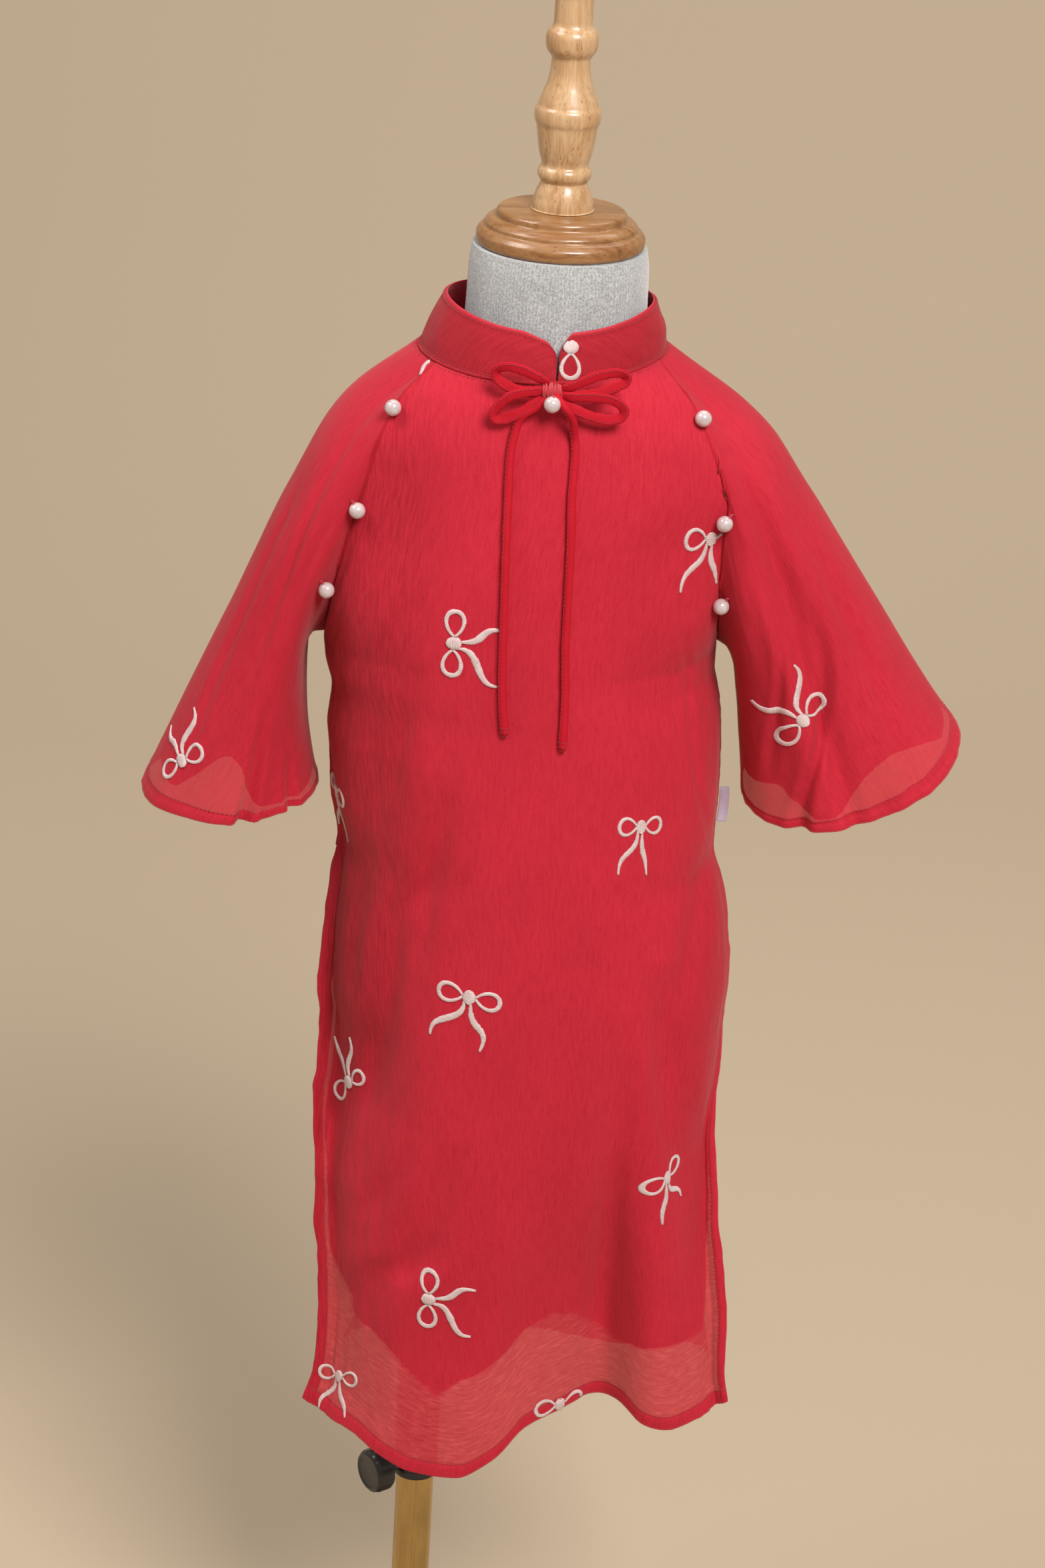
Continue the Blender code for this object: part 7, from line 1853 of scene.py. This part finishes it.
def embroider(name, surface, motifs, node_names):
    """Raised satin-stitch strokes laid on the cloth. motifs: (x, z) as seen from the camera's place on the plane
    y = -0.088, or a point of the cloth itself, the turn in degrees, the scales and the bow's own shape."""
    tree = trees[surface]
    eye = np.array(camera.matrix_world.translation)
    verts, quads, uvs, base = [], [], [], 0
    sides = 7
    for (where, turn, sx, sy, shape) in motifs:
        if len(where) == 2:
            way = _unit(np.array([where[0], -0.088, where[1]]) - eye)
            origin = eye
        else:
            origin = np.array(where[:3])
            way = _unit(np.array(where[3:6]))
        hit, nor, _, _ = tree.ray_cast(Vector(origin), Vector(way))
        if hit is None:
            print("no cloth under a bow at", where)
            continue
        hit, nor = np.array(hit), np.array(nor)
        if np.dot(nor, way) > 0:
            nor = -nor
        # even out the creases: the mean of a few normals round about
        more = [nor]
        for dx, dz in ((0.006, 0), (-0.006, 0), (0, 0.006), (0, -0.006)):
            e = np.array([dx, 0, dz])
            _, q, _, _ = tree.find_nearest(Vector(hit + e - nor * np.dot(e, nor)))
            q = np.array(q)
            more.append(q if np.dot(q, nor) > 0 else -q)
        nor = _unit(np.mean(more, axis=0))
        shape = dict(shape)
        facing, line = shape.pop("facing", 0.0), shape.pop("line", None)
        nor = _unit(nor * (1 - facing) - way * facing)
        upright = np.array([0, 0, 1.0]) - nor * nor[2]
        upright = _unit(upright)
        across = np.cross(upright, nor)
        c, s = math.cos(math.radians(turn)), math.sin(math.radians(turn))
        e1, e2 = across * c + upright * s, upright * c - across * s
        for p, w, high in (line or bow_strokes(**shape)):
            p, w = p * [sx, sy], w * (sx + sy) / 2
            both = resample(np.concatenate([p, w[:, None]], 1), 0.00125)
            p, w = both[:, :2], both[:, 2]
            if len(p) < 4:
                continue
            d = _unit(np.gradient(p, axis=0))
            side = np.stack([-d[:, 1], d[:, 0]], 1)
            along = np.concatenate([[0], np.cumsum(np.linalg.norm(np.diff(p, axis=0), axis=1))])
            # a flat underside just in the cloth and a rounded back
            a = np.linspace(math.pi, 0, sides - 1)
            offs, rise = np.cos(a), np.sin(a) ** 0.62
            rings, alive = [], []
            rag = 1 + 0.13 * value_noise(along / 0.0008, along * 0 + base * 0.37, 701)
            for i in range(len(p)):
                ring, ok = [], True
                for k in range(sides - 1):
                    q2 = p[i] + side[i] * offs[k] * w[i] / 2 * rag[i]
                    q = hit + e1 * q2[0] + e2 * q2[1]
                    loc, nn, _, dist = tree.ray_cast(Vector(q + nor * 0.03), Vector(-nor), 0.06)
                    if loc is None:
                        ok = False
                        break
                    nn = np.array(nn)
                    nn = nn if np.dot(nn, nor) > 0 else -nn
                    if np.dot(nn, nor) < 0.25:
                        ok = False
                        break
                    up_n = _unit(nn * 0.5 + nor * 0.5)
                    ring.append(np.array(loc) + up_n * (high * rise[k] - (0.00012 if k in (0, sides - 2) else 0.0)))
                if ok:
                    ring.append((ring[0] + ring[-1]) / 2 - nor * 0.00020)
                    if alive and np.linalg.norm(np.mean(ring, 0) - np.mean(rings[-1], 0)) > (0.0045 if facing == 0 else 0.0080):
                        ok = False
                if ok:
                    rings.append(np.array(ring))
                    alive.append(i)
                elif len(rings) > 3:
                    break
                else:
                    rings, alive = [], []
            if len(rings) < 4:
                continue
            rings = np.array(rings)
            v, q = tube_arrays(rings)
            n_r, n_s = rings.shape[:2]
            run = along[alive]
            girth = w[alive].mean()
            u_of = np.concatenate([np.tile(np.concatenate([offs / 2 * girth, [0.0]]), n_r), [0.0, 0.0]])
            v_of = np.concatenate([np.repeat(run, n_s), [run[0], run[-1]]]) + base * 0.00013
            verts.append(v)
            quads.append(q + base)
            uvs.append(np.stack([u_of[q], v_of[q]], -1).reshape(-1, 2))
            base += len(v)
    obj = mesh_object(name, np.concatenate(verts), np.concatenate(quads), np.concatenate(uvs), satin_mat)
    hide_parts(*node_names)
    return obj


PLAIN = dict()
OPEN = dict(left=4.0, right=-2.0, spread=(-0.0200, 0.0090), fall=(0.0225, 0.0240), hook=(0.0, -0.0020))
CLOSE = dict(left=5.0, right=-3.0, spread=(-0.0150, 0.0040), fall=(0.0265, 0.0280), hook=(0.0, 0.0015))
ONE_LOOP = dict(keep=(1, 4))
t = np.linspace(0, 1, 14)
HOOK = dict(line=[(curve_through(((-0.0028, -0.0052), (-0.0024, -0.0026), (-0.0012, 0.0010), (0.0010, 0.0030), (0.0044, 0.0024)), 14), 0.0010 + 0.0009 * np.sin(math.pi * t), 0.0006)], facing=0.9)
FRONT_BOWS = (
    ((-0.0441, 0.7967), 92.0, 1.02, 0.98, OPEN),
    ((0.0629, 0.6968), 0.0, 0.74, 0.92, CLOSE),
    ((-0.0256, 0.5877), 0.0, 1.00, 1.00, PLAIN),
    ((0.0922, 0.4820), 8.0, 0.78, 0.92, dict(left=-14.0, right=34.0, spread=(-0.0060, 0.0150), fall=(0.0290, 0.0180), hook=(0.0, 0.0))),
    ((-0.0395, 0.3934), 92.0, 1.04, 0.98, OPEN),
    ((-0.0893, 0.3388), 2.0, 0.80, 0.78, dict(left=8.0, right=-4.0, loops=(0.0116, 0.0112, 0.0130, 0.0112), spread=(-0.0130, 0.0060), fall=(0.0250, 0.0270), hook=(0.0, 0.0010), facing=0.75)),
    ((0.0402, 0.3285), 4.0, 0.95, 0.95, PLAIN),
    ((-0.0907, 0.5305), 205.0, 0.82, 0.90, dict(left=-12.0, right=25.0, loops=(0.0120, 0.0100, 0.0150, 0.0124), facing=0.7, spread=(-0.0110, 0.0035), fall=(0.0250, 0.0270), hook=(0.0, 0.0))),
    ((-0.1035, 0.7076), 0.0, 0.80, 0.95, CLOSE),
    ((0.0887, 0.8641), 0.0, 0.95, 0.95, dict(left=4.0, right=2.0, spread=(-0.0150, 0.0045), fall=(0.0275, 0.0258), hook=(0.0, 0.0030), loops=(0.0128, 0.0136, 0.0120, 0.0100))),
)
LEFT_BOWS = (
    ((-0.1883, 0.7196), 222.0, 0.92, 0.92, OPEN),
)
RIGHT_BOWS = (
    ((0.1457, 0.7643), 235.0, 0.95, 0.95, dict(OPEN, facing=0.45)),
    ((0.1390, 0.0400, 1.2000, 0.0, 0.0, -1.0), 60.0, 0.90, 0.90, PLAIN),
)
BACK = (0.0, -1.0, 0.0)
BACK_BOWS = tuple(((x, 0.30, z, *BACK), turn, sx, sy, shape) for x, z, turn, sx, sy, shape in (
    (-0.045, 0.860, 0.0, 0.95, 0.95, PLAIN), (0.050, 0.800, 92.0, 1.0, 0.95, OPEN), (-0.055, 0.700, -20.0, 0.85, 0.95, OPEN),
    (0.035, 0.640, 0.0, 0.95, 0.95, CLOSE), (-0.020, 0.545, 180.0, 0.85, 0.90, OPEN), (0.082, 0.520, 14.0, 0.90, 0.90, PLAIN),
    (-0.080, 0.440, 0.0, 0.95, 0.95, PLAIN), (0.028, 0.420, -88.0, 0.95, 0.95, OPEN), (0.095, 0.360, 8.0, 0.85, 0.85, CLOSE), (-0.030, 0.335, 4.0, 0.90, 0.90, PLAIN)))
LEFT_BACK = tuple(((x, 0.30, z, *BACK), turn, s, s, shape) for x, z, turn, s, shape in (
    (-0.125, 0.850, 30.0, 0.90, PLAIN), (-0.160, 0.745, -70.0, 0.90, OPEN)))
RIGHT_BACK = tuple(((x, 0.30, z, *BACK), turn, s, s, shape) for x, z, turn, s, shape in (
    (0.130, 0.850, -30.0, 0.90, PLAIN), (0.180, 0.770, 60.0, 0.90, OPEN)))

pieces_of["front"].append(embroider("front_embroidery", "front", FRONT_BOWS, ["front_panel"]))
pieces_of["front"].append(embroider("shoulder_embroidery", "body", (((-0.0655, 0.9484), 0.0, 1.15, 1.15, HOOK),), ["front_panel"]))
pieces_of["back"].append(embroider("back_embroidery", "back", BACK_BOWS, ["back_panel"]))
pieces_of["left"].append(embroider("sleeve_embroidery_left", "left", LEFT_BOWS + LEFT_BACK, ["sleeve_left"]))
pieces_of["right"].append(embroider("sleeve_embroidery_right", "right", RIGHT_BOWS + RIGHT_BACK, ["sleeve_right"]))
pieces_of["collar"].append(embroider("collar_embroidery", "collar", (((0.0087, 0.9636), -80.0, 0.92, 0.92, ONE_LOOP), ((-0.0655, 0.9500), 60.0, 0.8, 0.8, ONE_LOOP)), ["collar_outer"]))


# a loose end of pale thread by the neck seam
hit, nor, _, _ = trees["body"].ray_cast(camera.matrix_world.translation, (Vector((-0.0433, -0.088, 0.9475)) - camera.matrix_world.translation).normalized())
verts, quads = ellipsoid(np.array(hit) + np.array(nor) * 0.0001, (0.0008, 0.0005, 0.0007), 8, 12, 0.1, 77)
dot = mesh_object("loose_thread", verts, quads, None, satin_mat)
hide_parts("front_panel")
pieces_of["front"].append(dot)


# ------------------------------------------------------------------ dress form
def torso_rings(heights, sides):
    rows = []
    a = np.radians(np.linspace(0, 360, sides, endpoint=False))
    c, s = np.cos(a), np.sin(a)
    for z in heights:
        hw, fr, bk = (float(smooth(TORSO["z"], TORSO[k], z)) for k in ("half_width", "front", "back"))
        power = 2.0 + 0.35 * float(step(0.96, 0.88, z)) * float(step(0.50, 0.52, z))
        shape = 1 / (np.abs(c) ** power + np.abs(s) ** power) ** (1 / power)
        rows.append(np.stack([hw * s * shape, -np.where(c > 0, fr, bk) * c * shape, np.full_like(a, z)], -1))
    return np.stack(rows)


heights = np.concatenate([np.linspace(0.5000, 0.5140, 9), np.linspace(0.5140, 0.880, 48)[1:], np.linspace(0.880, 0.9930, 46)[1:], [0.9940, 0.9948, 0.9952]])
rings = torso_rings(heights, 108)
low, high = rings[0].mean(0), rings[-1].mean(0)
under = [low + (rings[0] - low) * f + np.array([0, 0, 0.0002]) * 0 for f in (0.30, 0.62, 0.88, 0.965)]
over = [high + (rings[-1] - high) * f for f in (0.985, 0.90, 0.60, 0.30)]
for k, f in enumerate((0.0, 0.0, 0.0, 0.0)):
    under[k][:, 2] = 0.5000
over = [o + np.array([0, 0, dz]) for o, dz in zip(over, (0.00015, 0.0002, 0.0002, 0.0002))]
rings = np.concatenate([np.stack(under), rings, np.stack(over)])
verts, quads = tube_arrays(rings)
torso = mesh_object("form_torso_knit", verts, quads, None, knit_mat)
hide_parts("form_torso")
round_ = lengths(np.concatenate([rings, rings[:, :1]], 1), 1)
down = lengths(rings, 0).mean(1)
loops = np.array([l.vertex_index for l in torso.data.loops])
n_r, n_s = rings.shape[:2]
ring_i, side_i = np.clip(loops // n_s, 0, n_r - 1), loops % n_s
polys = np.repeat(np.arange(len(torso.data.polygons)), 4)
wrapped = np.zeros(len(torso.data.polygons), bool)
lo_s, hi_s = np.full(len(wrapped), 999), np.zeros(len(wrapped), int)
np.minimum.at(lo_s, polys, side_i)
np.maximum.at(hi_s, polys, side_i)
wrapped = (hi_s - lo_s) > n_s / 2
side_i = np.where(wrapped[polys] & (side_i == 0), n_s, side_i)
# whole ribs round the neck, widening over the shoulders
girth = 0.300
layer = torso.data.uv_layers.new(name="grain")
layer.data.foreach_set("uv", np.stack([side_i / n_s * girth, down[ring_i]], 1).astype(np.float32).ravel())


def turned_piece(name, profile, mat, node_name, centre=(0.0, 0.0), sides=96, body="dressed_form", inner=None):
    """Turned solid from a finely sampled profile; inner gives a bore."""
    profile = [np.asarray(p, float) for p in profile]
    loop = np.array(profile if inner is None else list(profile) + [np.asarray(p, float) for p in reversed(inner)])
    a = np.arange(sides) * 2 * math.pi / sides
    pts = np.stack([centre[0] + loop[:, 0][:, None] * np.cos(a), centre[1] + loop[:, 0][:, None] * np.sin(a), loop[:, 1][:, None] + 0 * a], -1)
    if inner is None:
        verts, quads = tube_arrays(pts)
    else:
        verts, quads = tube_arrays(pts, closed=True)
        quads = quads
    obj = mesh_object(name, verts, quads, None, mat, body)
    obj.data.shade_smooth()
    obj.data.set_sharp_from_angle(angle=math.radians(38))
    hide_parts(node_name)
    return obj


def fine_profile(points, per=6, corner=60.0):
    """Rounds a lathe profile: a smooth curve through its points."""
    pts = np.asarray(points, float)
    return curve_through(pts, len(pts) * per)


def rounded(points, radius=0.0004, arc=4):
    """Profile with each inner corner rounded by a small arc."""
    pts = [np.asarray(p, float) for p in points]
    out = [pts[0]]
    for a, b, c in zip(pts[:-2], pts[1:-1], pts[2:]):
        u, v = a - b, c - b
        lu, lv = np.linalg.norm(u), np.linalg.norm(v)
        r = min(radius, 0.45 * lu, 0.45 * lv)
        p, q = b + u / lu * r, b + v / lv * r
        for t in np.linspace(0, 1, arc + 1):
            out.append((1 - t) ** 2 * p + 2 * t * (1 - t) * b + t * t * q)
    out.append(pts[-1])
    return out


cap_profile = rounded(((0.0010, 0.99540), (0.0440, 0.99540), (0.0455, 0.9970), (0.0455, 1.0018), (0.0432, 1.0046), (0.0412, 1.0053), (0.0412, 1.0074),
                       (0.0388, 1.0096), (0.0352, 1.0104), (0.0350, 1.0133), (0.0338, 1.0147), (0.0010, 1.0149)), 0.0011, 5)
turned_piece("neck_cap_wood", cap_profile, cap_mat, "neck_cap", sides=128)
finial_profile = [(0.0006, 1.01495), (0.0160, 1.01495), (0.0164, 1.0156), (0.0163, 1.0185), (0.0158, 1.0207), (0.0150, 1.0236), (0.0140, 1.0262), (0.0130, 1.0284), (0.0125, 1.0300),
                  (0.0130, 1.0309), (0.0140, 1.0322), (0.0145, 1.0338), (0.0145, 1.0352), (0.0140, 1.0368), (0.0130, 1.0381), (0.0125, 1.0390),
                  (0.0129, 1.0412), (0.0138, 1.0440), (0.0147, 1.0480), (0.0154, 1.0525), (0.0160, 1.0570), (0.0164, 1.0598), (0.0166, 1.0606),
                  (0.0172, 1.0616), (0.0177, 1.0634), (0.01785, 1.0655), (0.0177, 1.0676), (0.0172, 1.0694), (0.0162, 1.0706),
                  (0.0158, 1.0722), (0.0147, 1.0754), (0.0134, 1.0790), (0.0121, 1.0826), (0.0111, 1.0866), (0.0106, 1.0905), (0.0104, 1.0958),
                  (0.0109, 1.0968), (0.0122, 1.0984), (0.0134, 1.1004), (0.0140, 1.1030), (0.0141, 1.1058), (0.0138, 1.1082), (0.0129, 1.1102), (0.0115, 1.1118),
                  (0.0105, 1.1136), (0.0103, 1.1160), (0.0103, 1.1262), (0.0107, 1.1290), (0.0116, 1.1318), (0.0124, 1.1350), (0.0128, 1.1385), (0.0127, 1.1422),
                  (0.0120, 1.1455), (0.0106, 1.1484), (0.0085, 1.1503), (0.0055, 1.1513), (0.0006, 1.1515)]
turned_piece("finial_wood", fine_profile(finial_profile, 3), finial_mat, "finial", sides=72)

# ------------------------------------------------------------------ stand
mast = (MAST_X, 0.0)
base_profile = rounded(((0.0010, 0.0016), (BASE_RADIUS - 0.0060, 0.0016), (BASE_RADIUS - 0.0050, 0.0006), (BASE_RADIUS - 0.0012, 0.0), (BASE_RADIUS, 0.0012), (BASE_RADIUS, BASE_THICK - 0.0025),
                        (BASE_RADIUS - 0.0022, BASE_THICK - 0.0003), (BASE_RADIUS - 0.0050, BASE_THICK), (0.0010, BASE_THICK)), 0.0009, 4)
base = turned_piece("base_plate_painted", base_profile, paint_mat, "base_plate", sides=160, body="stand")
parts = []
for k in range(4):
    a = math.radians(45 + 90 * k)
    c = (0.112 * math.cos(a), 0.112 * math.sin(a))
    prof = np.array(rounded(((0.0004, 0.0), (0.0070, 0.0), (0.0078, 0.0008), (0.0080, 0.0018), (0.0004, 0.0018)), 0.0004, 3))
    b = np.arange(32) * 2 * math.pi / 32
    pts = np.stack([c[0] + prof[:, 0][:, None] * np.cos(b), c[1] + prof[:, 0][:, None] * np.sin(b), prof[:, 1][:, None] + 0 * b], -1)
    parts.append(tube_arrays(pts))
verts, quads = merge(parts)
feet = mesh_object("base_feet", verts, quads, None, rubber_mat, "stand")
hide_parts("base_plate")
socket = rounded(((0.0215, BASE_THICK + 0.0001), (0.0215, 0.0118), (0.0200, 0.0136), (0.0165, 0.0162), (0.0157, 0.0200), (0.0155, 0.0312), (0.0150, 0.0320)), 0.0008, 4)
turned_piece("base_socket_moulded", socket, black_mat, "base_socket", mast, 72, "stand",
             inner=((TUBE_RADIUS + 0.0002, BASE_THICK + 0.0001), (TUBE_RADIUS + 0.0002, 0.0300), (TUBE_RADIUS + 0.0008, 0.0320)))
tube = [(TUBE_RADIUS, z) for z in np.linspace(BASE_THICK + 0.0003, TUBE_TOP, 24)]
bore = [(TUBE_BORE, z) for z in np.linspace(BASE_THICK + 0.0003, TUBE_TOP, 6)]
turned_piece("mast_tube_brass", tube, brass_mat, "mast_tube", mast, 72, "stand", inner=bore)
clamp = rounded(((CLAMP_RADIUS - 0.0004, TUBE_TOP + 0.0001), (CLAMP_RADIUS, TUBE_TOP + 0.0008), (CLAMP_RADIUS, TUBE_TOP + 0.0050), (CLAMP_RADIUS - 0.0007, TUBE_TOP + 0.0056),
                 (CLAMP_RADIUS - 0.0007, CLAMP_TOP - 0.0066), (CLAMP_RADIUS, CLAMP_TOP - 0.0060), (CLAMP_RADIUS, CLAMP_TOP - 0.0015), (CLAMP_RADIUS - 0.0015, CLAMP_TOP)), 0.0005, 3)
turned_piece("clamp_sleeve_moulded", clamp, black_mat, "clamp_sleeve", mast, 72, "stand",
             inner=((CLAMP_BORE, TUBE_TOP + 0.0001), (CLAMP_BORE, CLAMP_TOP - 0.0012), (CLAMP_BORE + 0.0008, CLAMP_TOP)))
rod = rounded(((0.0006, 0.0750), (ROD_RADIUS - 0.0008, 0.0750), (ROD_RADIUS, 0.0760), (ROD_RADIUS, 0.2000), (ROD_RADIUS, 0.3600), (ROD_RADIUS, TORSO_BOTTOM - 0.0005), (0.0006, TORSO_BOTTOM - 0.0005)), 0.0003, 2)
turned_piece("upper_rod_brass", rod, brass_mat, "upper_rod", mast, 64, "rod")
form_socket = rounded(((0.0148, 0.4820), (0.0168, 0.4836), (0.0170, 0.4890), (0.0185, 0.4908), (0.0235, 0.4930), (0.0240, 0.4945), (0.0240, TORSO_BOTTOM - 0.0002)), 0.0006, 4)
turned_piece("form_socket_moulded", form_socket, black_mat, "form_socket", mast, 72, "dressed_form",
             inner=((TUBE_BORE, 0.4820), (TUBE_BORE, TORSO_BOTTOM - 0.0002)))

kd = np.array(KNOB_DIR)
kd = kd / np.linalg.norm(kd)
ku = np.array([0.0, 0.0, 1.0])
ks = np.cross(ku, kd)
knob_profile = np.array(rounded(((0.0004, CLAMP_RADIUS + 0.0004), (0.0046, CLAMP_RADIUS + 0.0004), (0.0046, 0.0200), (0.0085, 0.0215), (0.0128, 0.0235), (0.0136, 0.0255), (0.0136, 0.0330),
                                 (0.0124, 0.0350), (0.0104, 0.0356), (0.0094, 0.0349), (0.0004, 0.0349)), 0.0008, 4))
sides = 120
a = np.arange(sides) * 2 * math.pi / sides
grip = 0.5 - 0.5 * np.cos(a * 12)
rings = []
for r, d in knob_profile:
    share = float(step(0.0095, 0.0125, r)) * float(step(0.0225, 0.0250, d)) * float(step(0.0356, 0.0335, d))
    rr = r * (1.0 - 0.045 * share * (1 - grip) ** 2)
    rings.append(np.array([MAST_X, 0.0, KNOB_Z]) + kd * d + (ks[None, :] * np.cos(a)[:, None] + ku[None, :] * np.sin(a)[:, None]) * rr[:, None])
verts, quads = tube_arrays(np.array(rings))
knob = mesh_object("clamp_knob_moulded", verts, quads, None, black_mat, "knob")
knob.data.set_sharp_from_angle(angle=math.radians(50))
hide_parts("clamp_knob")

# ------------------------------------------------------------------ room and light
floor_mat = floor_material("backdrop", (0.474, 0.381, 0.273), (0.500, 0.404, 0.292))
a = np.linspace(0, math.pi / 2, 15)
prof = [(-2.6, 0.0)] + [(y, 0.0) for y in np.linspace(-2.0, 1.7, 6)] + [(1.7 + 1.5 * math.sin(t), 1.5 - 1.5 * math.cos(t)) for t in a[1:]] + [(3.2, 3.4)]
verts = [(x, y, z) for y, z in prof for x in (-4.0, 4.0)]
quads = [(2 * k, 2 * k + 1, 2 * k + 3, 2 * k + 2) for k in range(len(prof) - 1)]
backdrop = mesh_object("backdrop", verts, quads, None, floor_mat, body=None)


def area_light(name, at, target, size, power, colour):
    data = bpy.data.lights.new(name, "AREA")
    data.shape, data.size, data.size_y = "RECTANGLE", size[0], size[1]
    data.energy, data.color = power, colour
    obj = bpy.data.objects.new(name, data)
    scene.collection.objects.link(obj)
    obj.location = at
    obj.rotation_euler = (Vector(target) - Vector(at)).to_track_quat("-Z", "Y").to_euler()
    return obj


area_light("key", (1.06, -2.50, 3.30), (0.0, 0.0, 0.60), (1.3, 1.3), 152.0, (1.0, 0.985, 0.97))
area_light("fill", (-1.40, -0.30, 2.60), (-0.15, 0.0, 0.85), (0.9, 0.9), 24.0, (1.0, 0.97, 0.95))
area_light("back_wall", (0.6, 0.9, 2.9), (0.3, 2.6, 0.4), (2.6, 1.0), 33.0, (1.0, 0.98, 0.96))
world = bpy.data.worlds.new("room")
world.use_nodes = True
world.node_tree.nodes["Background"].inputs["Color"].default_value = (1.0, 0.97, 0.94, 1.0)
world.node_tree.nodes["Background"].inputs["Strength"].default_value = 0.30
scene.world = world
